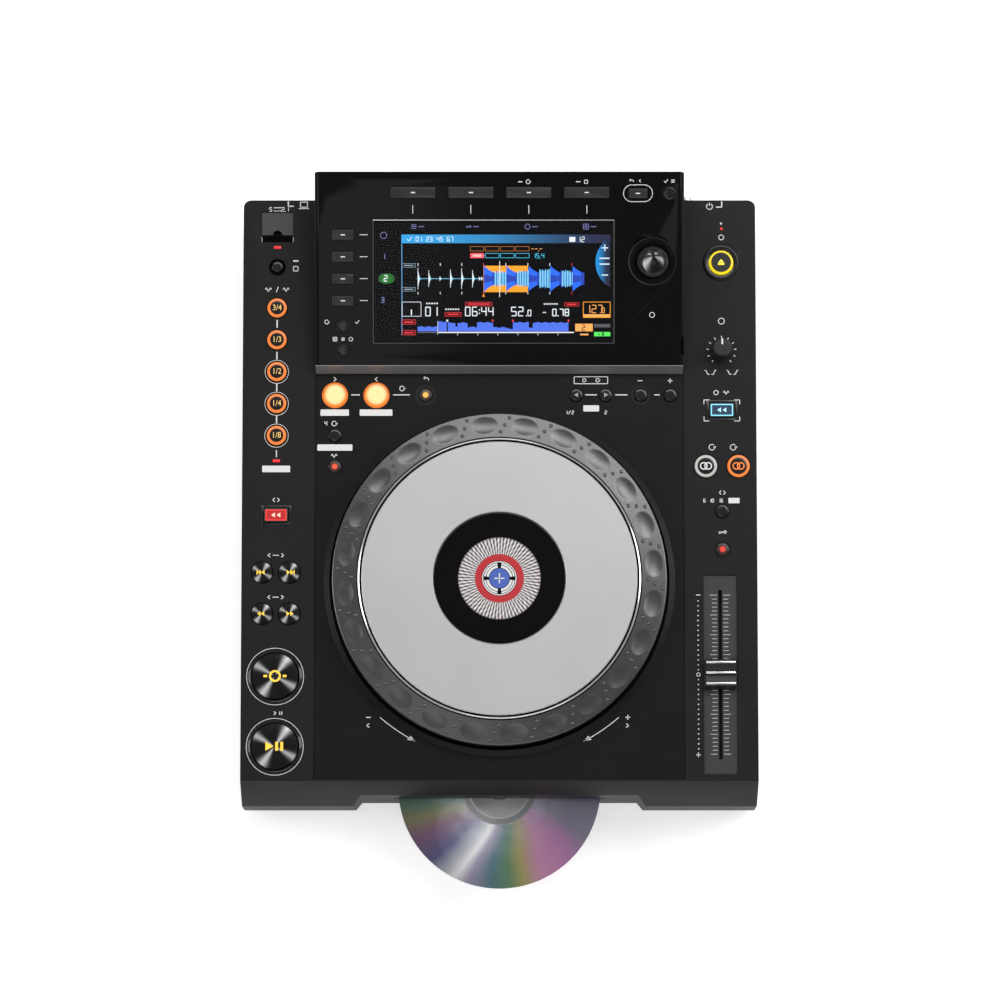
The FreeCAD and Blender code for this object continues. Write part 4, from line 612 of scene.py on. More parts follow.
@dataclass(frozen=True)
class ClearPane(Finish):
    """Smoked clear plastic."""

    name: str
    colour: Colour = (0.02, 0.02, 0.024)
    alpha: float = 0.06

    def paint(self, graph: Graph) -> None:
        """Mostly see-through, glossy, with a trace of haze."""
        haze = graph.noise(30.0, 2.0)
        graph.surface(base_color=self.colour, alpha=(haze - 0.5) * 0.02 + self.alpha,
                      roughness=(haze - 0.5) * 0.04 + 0.05, specular_ior_level=0.5)


SHELL = Moulding("charcoal_shell", (0.0085, 0.0085, 0.009), 0.5, 0.55, 0.03, 0.16, 0.0, 0.17)
PANEL = Moulding("satin_panel", (0.0045, 0.0044, 0.0046), 0.38, 0.35, 0.006, 0.1, 0.0, 0.16)
HEAD = Moulding("gloss_head", (0.0018, 0.0017, 0.0019), 0.09, 0.4, 0.0, 0.1, 0.0, 0.16)
KEY_BLACK = Moulding("key_black", (0.006, 0.006, 0.0065), 0.2, 0.4, 0.002, 0.1, 0.3, 0.3)
KEY_DARK = Moulding("key_dark", (0.012, 0.012, 0.013), 0.4, 0.4, 0.006, 0.1, 0.0, 0.3)
MENU_KEY = Moulding("menu_key_grey", (0.022, 0.022, 0.024), 0.3, 0.4, 0.004, 0.1, 0.0, 0.3)
BEZEL = Moulding("key_bezel", (0.008, 0.008, 0.009), 0.2, 0.4, 0.002, 0.1, 0.3, 0.35)
KNOB = Moulding("knob_black", (0.012, 0.012, 0.013), 0.36, 0.4, 0.01, 0.12, 0.0, 0.35)
# Near-black with almost no gloss: painted shade for gaps, holes and recesses.
GAP_SHADE = Moulding("gap_shade_black", (0.0015, 0.0015, 0.0015), 0.9, 0.5, 0.01, 0.1, 0.0, 0.05)
LCD_BLACK = Moulding("screen_black", (0.0012, 0.0012, 0.0018), 0.4, 0.5, 0.0, 0.1, 0.0, 0.08)
RUBBER = Moulding("rubber", (0.015, 0.015, 0.015), 0.75, 0.8, 0.05, 0.15, 0.0, 0.25)
NYLON = Moulding("natural_nylon", (0.72, 0.70, 0.64), 0.5, 0.5, 0.01, 0.05)
BOARD = Moulding("board_green", (0.01, 0.09, 0.035), 0.35, 0.4, 0.01, 0.15)
BASE = Moulding("base_paint", (0.012, 0.012, 0.013), 0.5, 0.3, 0.01, 0.12, 0.0, 0.3)
SOCKET_BODY = Moulding("socket_body", (0.012, 0.012, 0.013), 0.45, 0.4, 0.006, 0.12, 0.0, 0.3)
FADER_PLATE = Moulding("fader_plate", (0.035, 0.035, 0.037), 0.35, 0.4, 0.004, 0.12, 0.0, 0.4)
# Grey for the USB flap, lighter than the shell; the extra lightness is painted sheen.
FLAP_GREY_SHEEN = Moulding("flap_grey_sheen", (0.055, 0.054, 0.055), 0.45, 0.5, 0.01, 0.12, 0.0, 0.3)
WHITE_COLLAR = Moulding("white_insulator", (0.72, 0.71, 0.68), 0.4, 0.4, 0.004, 0.06)
RED_COLLAR = Moulding("red_insulator", (0.55, 0.02, 0.02), 0.4, 0.4, 0.004, 0.08)
ORANGE_COLLAR = Moulding("orange_insulator", (0.60, 0.14, 0.01), 0.4, 0.4, 0.004, 0.08)
WHEEL = Metal("wheel_black_chrome", (0.105, 0.105, 0.107), 0.3, 2.5, 0.0)
BEAD = Metal("bead_chrome", (0.82, 0.83, 0.84), 0.1, 0.5, 0.0)
PLATE = Metal("blasted_plate", (0.53, 0.53, 0.535), 0.42, 0.35, 0.008)
# Bright metal for the fader cap's ribs and the recess edges, and for the painted highlight line on the
# window's rear edge.
RIDGE_AND_GLINT = Metal("bright_ridge_and_glint", (0.85, 0.85, 0.86), 0.22, 0.3, 0.002)
# Grey that paints the reflection of the front lamps on the head's front bevel.
HEAD_EDGE_SHEEN = Moulding("head_edge_sheen", (0.20, 0.20, 0.205), 0.32, 0.4, 0.002, 0.25, 0.2, 0.5)
STEEL = Metal("zinc_steel", (0.50, 0.50, 0.48), 0.38, 1.2, 0.004, (1.0, 0.15, 1.0))
SCREW = Metal("black_zinc", (0.08, 0.08, 0.08), 0.35, 0.4, 0.004)
NICKEL = Metal("nickel", (0.72, 0.70, 0.66), 0.2, 0.4, 0.002)
WHITE_INK = Ink("white_ink", (0.80, 0.80, 0.80))
GREY_INK = Ink("grey_ink", (0.36, 0.36, 0.37))
TICK_INK = Ink("tick_ink", (0.62, 0.62, 0.63))
# Dim grey for the painted highlight lines on the window's other edges.
DIM_EDGE_GLINT = Ink("dim_edge_glint", (0.12, 0.12, 0.125))
RED_RING = Ink("red_ring", (0.50, 0.012, 0.02))
DIAL_BLUE = Ink("dial_blue", (0.06, 0.12, 0.48))
LED_RED = Glow("led_red", (0.85, 0.012, 0.02))
PANE = ClearPane("clear_window")
LIT_WHITE = Glow("screen_white", (0.80, 0.86, 0.90))
LIT_SKY = Glow("screen_sky", (0.20, 0.62, 0.90))
LIT_BLUE = Glow("screen_blue", (0.015, 0.14, 0.90))
LIT_DEEP = Glow("screen_deep", (0.01, 0.05, 0.45))
LIT_ORANGE = Glow("screen_orange", (1.0, 0.36, 0.01))
LIT_RED = Glow("screen_red", (0.80, 0.03, 0.04))
LIT_VIOLET = Glow("screen_violet", (0.07, 0.16, 0.80))
LIT_AMBER = Glow("screen_amber", (1.0, 0.42, 0.10))
LIT_CYAN = Glow("screen_cyan", (0.05, 0.50, 0.75))
LIT_RUST = Glow("screen_rust", (0.42, 0.13, 0.02))
LIT_PALE = Glow("screen_pale", (0.62, 0.84, 0.95))
LEGEND = Glow("legend_dull", (0.16, 0.17, 0.38))
LIT_GREY = Glow("screen_grey", (0.09, 0.09, 0.10))
LIT_DUSK = Glow("screen_dusk", (0.25, 0.35, 0.42))
MARK_AMBER = Glow("mark_amber", (0.98, 0.62, 0.06))
RING_ORANGE = Glow("ring_orange", (0.76, 0.19, 0.03))
SEGMENTS = {"0": "abcdef", "1": "bc", "2": "abged", "3": "abgcd", "4": "fgbc", "5": "afgcd",
            "6": "afgedc",
            "7": "abc", "8": "abcdefg", "9": "abcdfg", "-": "g", " ": ""}
SEGMENT_ENDS = {"a": ((0, 1), (1, 1)), "b": ((1, 1), (1, 0.5)), "c": ((1, 0.5), (1, 0)),
                "d": ((0, 0), (1, 0)),
                "e": ((0, 0.5), (0, 0)), "f": ((0, 1), (0, 0.5)), "g": ((0, 0.5), (1, 0.5))}
ROUND = [(0.5 * math.cos(math.pi * i / 8), 0.5 * math.sin(math.pi * i / 8)) for i in range(17)]
SYMBOLS = {
    "plus": [[(-0.5, 0), (0.5, 0)], [(0, -0.5), (0, 0.5)]],
    "minus": [[(-0.5, 0), (0.5, 0)]],
    "left": [[(0.3, 0.45), (-0.3, 0), (0.3, -0.45)]],
    "right": [[(-0.3, 0.45), (0.3, 0), (-0.3, -0.45)]],
    "both": [[(-0.25, 0.4), (-0.65, 0), (-0.25, -0.4)], [(0.25, 0.4), (0.65, 0), (0.25, -0.4)]],
    "list": [[(-0.5, 0.35), (0.5, 0.35)], [(-0.5, 0), (0.5, 0)], [(-0.5, -0.35), (0.5, -0.35)]],
    "circle": [ROUND],
    "loop": [ROUND[2:16], [(0.28, 0.1), (0.5, -0.1), (0.68, 0.15)]],
    "square": [[(-0.4, -0.4), (-0.4, 0.4), (0.4, 0.4), (0.4, -0.4), (-0.4, -0.4)]],
    "power": [[(0.5 * math.cos(t * math.pi / 9), 0.5 * math.sin(t * math.pi / 9)) for t in range(6, 22)],
              [(0, 0.1), (0, 0.65)]],
    "dc": [[(-0.5, 0.2), (0.5, 0.2)], [(-0.5, -0.2), (-0.2, -0.2)], [(-0.1, -0.2), (0.1, -0.2)],
           [(0.2, -0.2), (0.5, -0.2)]],
    "laptop": [[(-0.38, -0.15), (-0.38, 0.4), (0.38, 0.4), (0.38, -0.15), (-0.38, -0.15)],
               [(-0.55, -0.3), (0.55, -0.3)]],
    "fall": [[(-0.5, 0.4), (-0.25, 0.4), (0.1, -0.4), (0.5, -0.4)]],
    "rise": [[(-0.5, -0.4), (-0.1, -0.4), (0.25, 0.4), (0.5, 0.4)]],
    "return": [[(-0.2, 0.5), (-0.5, 0.2), (-0.2, -0.1)],
               [(-0.5, 0.2), (0.35, 0.2), (0.5, 0.0), (0.5, -0.35)]],
    "slash": [[(-0.2, -0.5), (0.2, 0.5)]],
    "wave": [[(-0.6, 0), (-0.4, 0.4), (-0.2, 0), (0, -0.4), (0.2, 0), (0.4, 0.4), (0.6, 0)]],
    "tick": [[(-0.45, 0.0), (-0.1, -0.4), (0.5, 0.45)]],
    "key": [[(-0.5, 0), (0.1, 0)], [(-0.4, 0), (-0.4, -0.25)], [(-0.2, 0), (-0.2, -0.2)],
            [(0.3 + 0.2 * a, 0.2 * 2 * b) for a, b in ((-1, 0), (0, 0.5), (1, 0), (0, -0.5), (-1, 0))]],
    "grid": [[(-0.5, 0.5), (0.5, 0.5), (0.5, -0.5), (-0.5, -0.5), (-0.5, 0.5)], [(-0.5, 0), (0.5, 0)],
             [(0, -0.5), (0, 0.5)]],
}


class Draft:
    """A mesh under construction, made of closed shapes in millimetres."""

    def __init__(self) -> None:
        """Start with nothing."""
        self.mesh = bmesh.new()

    def add(self, shape: bmesh.types.BMesh, slot: int = 0, move: Optional[Matrix] = None) -> None:
        """Take in a finished shape.

        Args:
            shape: the shape, which is used up.
            slot: which of the piece's finishes it wears.
            move: a move to make first.
        """
        if move is not None:
            bmesh.ops.transform(shape, matrix=move, verts=shape.verts)
        bmesh.ops.recalc_face_normals(shape, faces=shape.faces)
        for face in shape.faces:
            face.material_index = slot
        held = bpy.data.meshes.new("held")
        shape.to_mesh(held)
        shape.free()
        self.mesh.from_mesh(held)
        bpy.data.meshes.remove(held)

    def turned(self, outline: Sequence[Point], x: float = 0.0, y: float = 0.0, steps: int = 48,
               slot: int = 0, closed: bool = False, move: Optional[Matrix] = None) -> None:
        """Spin a half outline round an upright line.

        Args:
            outline: distance and height of each corner.
            x: place of the line.
            y: place of the line.
            steps: flat steps round the turn.
            slot: which finish it wears.
            closed: whether the outline is a loop, as for a ring.
            move: a move to make afterwards.
        """
        shape = bmesh.new()
        corners = [shape.verts.new((radius, 0.0, height)) for radius, height in outline]
        pairs = list(zip(corners, corners[1:]))
        if closed:
            pairs.append((corners[-1], corners[0]))
        edges = [shape.edges.new(pair) for pair in pairs]
        bmesh.ops.spin(shape, geom=corners + edges, cent=(0, 0, 0), axis=(0, 0, 1), angle=2 * math.pi,
                       steps=steps, use_merge=True)
        bmesh.ops.remove_doubles(shape, verts=shape.verts, dist=1e-5)
        bmesh.ops.translate(shape, vec=(x, y, 0.0), verts=shape.verts)
        self.add(shape, slot, move)

    def slab(self, x: Point, y: Point, z: Point, soft: float = 0.0, corner: float = 0.0, slot: int = 0,
             move: Optional[Matrix] = None) -> None:
        """A block, its upright edges rounded first and its top edges softened.

        Args:
            x: its ends across.
            y: its ends along.
            z: its bottom and top.
            soft: width of the bevel on the top edges.
            corner: radius of the upright edges.
            slot: which finish it wears.
            move: a move to make afterwards.
        """
        shape = bmesh.new()
        bmesh.ops.create_cube(shape, size=1.0)
        size = Vector((x[1] - x[0], y[1] - y[0], z[1] - z[0]))
        middle = Vector((x[0] + x[1], y[0] + y[1], z[0] + z[1])) / 2
        bmesh.ops.scale(shape, vec=size, verts=shape.verts)
        bmesh.ops.translate(shape, vec=middle, verts=shape.verts)
        if corner:
            upright = [edge for edge in shape.edges if abs(edge.verts[0].co.z - edge.verts[1].co.z) > 1e-6]
            bevel_edges(shape, upright, corner, 6)
        if soft:
            rim = [edge for edge in shape.edges if min(v.co.z for v in edge.verts) > z[1] - 1e-6]
            bevel_edges(shape, rim, soft, 2)
        self.add(shape, slot, move)

    def prism(self, outline: Iterable[Point], z: Point, slot: int = 0, soft: float = 0.0,
              move: Optional[Matrix] = None) -> None:
        """Extrude a flat outline upwards.

        Args:
            outline: its corners.
            z: bottom and top.
            slot: which finish it wears.
            soft: width of the bevel on the top edges.
            move: a move to make afterwards.
        """
        shape = bmesh.new()
        face = shape.faces.new([shape.verts.new((a, b, z[0])) for a, b in outline])
        lifted = bmesh.ops.extrude_face_region(shape, geom=[face], use_keep_orig=True)
        top = [item for item in lifted["geom"] if isinstance(item, bmesh.types.BMVert)]
        bmesh.ops.translate(shape, vec=(0, 0, z[1] - z[0]), verts=top)
        if soft:
            rim = [edge for edge in shape.edges if min(v.co.z for v in edge.verts) > z[1] - 1e-6]
            bevel_edges(shape, rim, soft, 2)
        self.add(shape, slot, move)

    def ring(self, inner: float, outer: float, z: Point, x: float = 0.0, y: float = 0.0, steps: int = 48,
             slot: int = 0, soft: float = 0.0, move: Optional[Matrix] = None) -> None:
        """A flat ring with its top edges softened.

        Args:
            inner: inner radius.
            outer: outer radius.
            z: bottom and top.
            x: middle across.
            y: middle along.
            steps: flat steps round the turn.
            slot: which finish it wears.
            soft: width of the bevel on its top edges.
            move: a move to make afterwards.
        """
        low, high = z
        outline = [(inner, low), (outer, low), (outer, high - soft), (outer - soft, high),
                   (inner + soft, high), (inner, high - soft)]
        if not soft:
            outline = [(inner, low), (outer, low), (outer, high), (inner, high)]
        self.turned(outline, x, y, steps, slot, True, move)

    def line(self, points: Sequence[Point], width: float, z: Point, slot: int = 0,
             move: Optional[Matrix] = None) -> None:
        """A flat line through points, made of straight strokes.

        Args:
            points: the places it passes.
            width: width of a stroke.
            z: bottom and top.
            slot: which finish it wears.
            move: a move to make afterwards.
        """
        for start, end in zip(points, points[1:]):
            ahead = Vector((end[0] - start[0], end[1] - start[1]))
            length = ahead.length
            turn = Matrix.Rotation(math.atan2(ahead.y, ahead.x), 4, "Z")
            lay = Matrix.Translation((start[0], start[1], 0.0)) @ turn
            if move is not None:
                lay = move @ lay
            self.slab((0.0, length), (-width / 2, width / 2), z, slot=slot, move=lay)

    def digits(self, text: str, x: float, y: float, height: float, z: float, slot: int = 0,
               stretch: float = 1.0) -> None:
        """Plain figures, centred on a place.

        Args:
            text: figures and signs.
            x: middle across.
            y: middle along.
            height: height of a figure.
            z: height of the ink's top over the level.
            slot: which finish it wears.
            stretch: width against the plain face.
        """
        curve = bpy.data.curves.new("figures", "FONT")
        curve.body = text
        curve.align_x = "CENTER"
        curve.align_y = "CENTER"
        curve.extrude = 0.01 / height
        holder = bpy.data.objects.new("figures", curve)
        bpy.context.scene.collection.objects.link(holder)
        bpy.context.view_layer.update()
        ready = holder.evaluated_get(bpy.context.evaluated_depsgraph_get())
        shape = bmesh.new()
        made = bpy.data.meshes.new_from_object(ready)
        shape.from_mesh(made)
        bpy.data.meshes.remove(made)
        bpy.data.objects.remove(holder)
        bpy.data.curves.remove(curve)
        scale = height / 0.7
        move = Matrix.Translation((x, y, z)) @ Matrix.Diagonal((scale * stretch, scale, scale, 1.0))
        bmesh.ops.transform(shape, matrix=move, verts=shape.verts)
        self.add(shape, slot)

    def symbol(self, kind: str, x: float, y: float, size: float, width: float, z: Point,
               slot: int = 0) -> None:
        """A generic sign made of strokes.

        Args:
            kind: which sign.
            x: middle across.
            y: middle along.
            size: height of the sign.
            width: width of a stroke.
            z: bottom and top of the ink.
            slot: which finish it wears.
        """
        for stroke in SYMBOLS[kind]:
            self.line([(x + a * size, y + b * size) for a, b in stroke], width, z, slot)

    def figures(self, text: str, x: float, y: float, height: float, width: float, z: Point,
                slot: int = 0) -> None:
        """Plain figures of seven strokes each, from a place on their lower left.

        Args:
            text: figures, with full stops and colons.
            x: left end of the first figure.
            y: foot of the figures.
            height: height of a figure.
            width: width of a stroke.
            z: bottom and top of the ink.
            slot: which finish it wears.
        """
        wide = height * 0.52
        for letter in text:
            if letter in ".:":
                for rise in ((0.0,) if letter == "." else (0.28, 0.68)):
                    foot = y + rise * height
                    self.slab((x - width * 0.6, x + width * 0.6),
                              (foot - width * 0.6, foot + width * 0.6), z, slot=slot)
                x += wide * 0.5
                continue
            for name in SEGMENTS[letter]:
                (a0, b0), (a1, b1) = SEGMENT_ENDS[name]
                self.line([(x + a0 * wide, y + b0 * height), (x + a1 * wide, y + b1 * height)], width, z,
                          slot)
            x += wide * 1.55

    def frame(self, x: Point, y: Point, width: float, z: Point, slot: int = 0) -> None:
        """A thin rectangular outline.

        Args:
            x: its ends across.
            y: its ends along.
            width: width of a stroke.
            z: bottom and top.
            slot: which finish it wears.
        """
        self.line([(x[0], y[0]), (x[1], y[0])], width, z, slot)
        self.line([(x[0], y[1]), (x[1], y[1])], width, z, slot)
        self.line([(x[0], y[0]), (x[0], y[1])], width, z, slot)
        self.line([(x[1], y[0]), (x[1], y[1])], width, z, slot)

    def piece(self, name: str, finishes: Sequence[Finish], body: str, slot: str,
              level: Optional[Level] = None,
              stands_for: Sequence[str] = (), smooth: float = 32.0) -> bpy.types.Object:
        """Turn the draft into a finished piece that rides a body.

        Args:
            name: the piece's name.
            finishes: finishes by the numbers that the shapes were given.
            body: the body it moves with.
            slot: the record's material slot; not used.
            level: the level that it was drawn on.
            stands_for: the solids that it replaces.
            smooth: edges flatter than this many degrees are shaded smooth.

        Returns:
            The object, at the origin.
        """
        bmesh.ops.transform(self.mesh, matrix=SPACE.matrix(level), verts=self.mesh.verts)
        mesh = bpy.data.meshes.new(name)
        self.mesh.to_mesh(mesh)
        self.mesh.free()
        for polygon in mesh.polygons:
            polygon.use_smooth = True
        mesh.set_sharp_from_angle(angle=math.radians(smooth))
        for finish in finishes:
            mesh.materials.append(finish.material())
        thing = bpy.data.objects.new(name, mesh)
        bpy.context.scene.collection.objects.link(thing)
        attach(thing, body)
        if stands_for:
            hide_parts(*stands_for)
        LOG.info("%s: %d faces", name, len(mesh.polygons))
        return thing


def bevel_edges(shape: bmesh.types.BMesh, edges: Sequence[bmesh.types.BMEdge], width: float,
                segments: int) -> None:
    """Bevel edges with a round profile."""
    bmesh.ops.bevel(shape, geom=list(edges), offset=width, offset_type="OFFSET", segments=segments,
                    profile=0.5, affect="EDGES", clamp_overlap=True, material=-1)


def dress(**finishes: Finish) -> None:
    """Give solids of the frame a finish each, their shapes left as they are.

    Args:
        finishes: what each solid wears, by the solid's name.
    """
    for node, finish in finishes.items():
        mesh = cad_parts[node].data
        mesh.materials.clear()
        mesh.materials.append(finish.material())
        LOG.info("%s: dressed", node)


def rounded_copy(node: str, name: str, finish: Finish, body: str, slot: str, width: float,
                 wanted: Callable[[Vector, Vector], bool], segments: int = 3) -> bpy.types.Object:
    """A copy of a solid whose chosen sharp edges are rounded, which stands for the solid.

    Args:
        node: the solid.
        name: the copy's name.
        finish: its finish.
        body: the body it moves with.
        slot: the record's material slot.
        width: width of the rounding in millimetres.
        wanted: says from an edge's two ends, in deck millimetres, whether it is rounded.
        segments: steps of the rounding.

    Returns:
        The copy.
    """
    shape = bmesh.new()
    shape.from_mesh(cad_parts[node].data)
    bmesh.ops.transform(shape, matrix=SPACE.matrix(None).inverted(), verts=shape.verts)
    bmesh.ops.remove_doubles(shape, verts=shape.verts, dist=1e-3)
    bmesh.ops.dissolve_limit(shape, angle_limit=math.radians(0.5), verts=shape.verts, edges=shape.edges)
    chosen = [edge for edge in shape.edges
              if len(edge.link_faces) == 2 and edge.calc_face_angle(0.0) > math.radians(20)
              and wanted(edge.verts[0].co, edge.verts[1].co)]
    bevel_edges(shape, chosen, width, segments)
    draft = Draft()
    draft.add(shape)
    return draft.piece(name, [finish], body, slot, stands_for=[node])


class Studio:
    """The floor, the soft lights and the camera."""

    tilt = math.radians(8.5)
    distance = 3.5
    aim = Vector((0.000355, 0.01839, 0.070))
    lens = 212.8
    even_light = 0.35
    floor_glow = 0.5

    def floor(self) -> None:
        """A pale floor that keeps the shadow and shows white to the camera."""
        graph = Graph("studio_floor")
        path = graph.node("ShaderNodeLightPath", {}, {})
        seen = Signal(graph, path.outputs["Is Camera Ray"])
        for ray in ("Is Glossy Ray", "Is Transmission Ray"):
            seen = seen.larger(Signal(graph, path.outputs[ray]))
        graph.surface(base_color=(0.86, 0.86, 0.86), roughness=0.9, specular_ior_level=0.1,
                      emission_color=(1.0, 1.0, 1.0))
        graph.feed(graph.shader.inputs["Emission Strength"], seen * self.floor_glow)
        shape = bmesh.new()
        bmesh.ops.create_grid(shape, x_segments=1, y_segments=1, size=4.0)
        mesh = bpy.data.meshes.new("studio_floor")
        shape.to_mesh(mesh)
        shape.free()
        mesh.materials.append(graph.material)
        floor = bpy.data.objects.new("studio_floor", mesh)
        bpy.context.scene.collection.objects.link(floor)

    def lamp(self, name: str, place: Vector, size: Point, power: float, turn: float = 0.0) -> None:
        """A soft rectangular lamp aimed at the player, turned about its aim.

        Args:
            name: the lamp's name.
            place: where it hangs.
            size: its two sides in metres.
            power: its power in watts.
            turn: its turn about its aim, in radians.
        """
        data = bpy.data.lights.new(name, "AREA")
        data.shape = "RECTANGLE"
        data.size, data.size_y = size
        data.energy = power
        lamp = bpy.data.objects.new(name, data)
        lamp.location = place
        aim = (Vector((0, 0, 0.05)) - place).to_track_quat("-Z", "Y").to_matrix()
        lamp.rotation_euler = (aim @ Matrix.Rotation(turn, 3, "Z")).to_euler()
        bpy.context.scene.collection.objects.link(lamp)

    def world(self) -> None:
        """Even light, white where the camera looks past the floor."""
        world = bpy.data.worlds.new("studio_world")
        world.use_nodes = True
        graph = Graph("", world.node_tree)
        white = (1.0, 1.0, 1.0)
        path = graph.node("ShaderNodeLightPath", {}, {})
        even = graph.node("ShaderNodeBackground", {}, {"Color": white, "Strength": self.even_light})
        seen = graph.node("ShaderNodeBackground", {}, {"Color": white, "Strength": 1.0})
        links = {0: path.outputs["Is Camera Ray"], 1: even.outputs[0], 2: seen.outputs[0]}
        mix = graph.node("ShaderNodeMixShader", {}, links)
        graph.node("ShaderNodeOutputWorld", {}, {"Surface": mix.outputs[0]})
        bpy.context.scene.world = world

    def camera(self) -> None:
        """The camera, tilted from straight down towards the front."""
        data = bpy.data.cameras.new("camera")
        data.lens = self.lens
        data.sensor_width = 36.0
        data.clip_end = 50.0
        camera = bpy.data.objects.new("camera", data)
        ahead = Vector((0.0, math.sin(self.tilt), -math.cos(self.tilt)))
        camera.location = self.aim - ahead * self.distance
        camera.rotation_euler = (self.tilt, 0.0, 0.0)
        bpy.context.scene.collection.objects.link(camera)
        bpy.context.scene.camera = camera

    def build(self) -> None:
        """Set everything up."""
        self.camera()
        self.floor()
        self.world()
        self.lamp("rear_softbox", Vector((0.1, 1.15, 2.0)), (1.9, 0.55), 15.0)
        self.lamp("left_softbox", Vector((-1.7, 0.1, 1.2)), (0.8, 1.2), 12.0)
        self.lamp("right_softbox", Vector((1.6, 0.4, 1.3)), (0.8, 1.2), 14.0)
        self.lamp("sheen_card", Vector((0.85, 0.75, 2.1)), (0.5, 0.7), 5.0)
        self.lamp("head_card", Vector((-0.36, -0.66, 2.0)), (0.62, 1.2), 2.0, math.radians(27.0))
        self.lamp("front_softbox", Vector((0.2, -1.4, 1.6)), (1.4, 0.6), 4.5)
        bpy.context.scene.view_settings.view_transform = "Standard"


@dataclass
class Case:
    """Top shell, centre panel, base and the other static shells."""

    half_width: float = 152.5

    def outer_edge(self, first: Vector, second: Vector) -> bool:
        """Whether an edge of the shell is on its outside: its outline, chin or notch.

        Args:
            first: one end of the edge.
            second: the other end.

        Returns:
            Whether to round it.
        """
        at_side = min(abs(first.x), abs(second.x)) > self.half_width - 5.0
        at_front = max(first.y, second.y) < 0.1
        low = max(first.z, second.z) < 33.0 and at_front
        inside = abs(first.x) < 149.0 and first.y > -4.0 and first.z < 67.6
        return (at_side or (at_front and not low)) and not inside

    def build(self) -> None:
        """Dress the shells."""
        rounded_copy("top_case", "case_shell", SHELL, "deck", "shell", 0.5, self.outer_edge)
        dress(deck_panel=PANEL, bottom_tray=BASE, rubber_feet=RUBBER, case_screws=SCREW,
              loader_frame=STEEL, circuit_boards=BOARD)


@dataclass
class Head:
    """The display head: its shell, its window, bright and dim lines of painted highlight on the window's
    edges, and a grey strip of painted reflection on its front edge.
    """

    sheen_half: float = 109.0

    def top_edge(self, first: Vector, second: Vector) -> bool:
        """Whether an edge lies on the outside of the head."""
        return min(first.z,
                   second.z) > 77.0 and (abs(first.x) > 100.0 or first.y < 247.0 or first.y > 357.0)

    def build(self) -> None:
        """Dress the shell and the pane."""
        rounded_copy("display_housing", "head_shell", HEAD, "deck", "head", 0.35, self.top_edge)
        dress(display_window=PANE)
        # A grey strip over the front bevel paints the reflection there.
        draft = Draft()
        profile = [(242.86, 69.25), (245.86, 79.1), (246.3, 79.2), (246.0, 78.6), (243.1, 69.25)]
        lay = Matrix(((0, 0, 1, -self.sheen_half), (1, 0, 0, 0), (0, 1, 0, 0), (0, 0, 0, 1)))
        draft.prism(profile, (0.0, 2 * self.sheen_half), move=lay)
        draft.piece("head_front_trim", [HEAD_EDGE_SHEEN], "deck", "head")
        # Painted highlight: a bright line on the window's rear edge and dim lines on the others, where its
        # bevel catches the light.
        draft = Draft()
        left, right, low, high = -74.7, 67.9, 13.45, 86.35
        draft.line([(left, high), (right, high)], 0.45, (-0.35, 0.05), 0)
        for start, end in (((left, low), (left, high)), ((left, low), (right, low)),
                           ((right, low), (right, high))):
            draft.line([start, end], 0.25, (-0.35, 0.03), 1)
        draft.piece("window_frame", [RIDGE_AND_GLINT, DIM_EDGE_GLINT], "deck", "window", Level.HEAD)


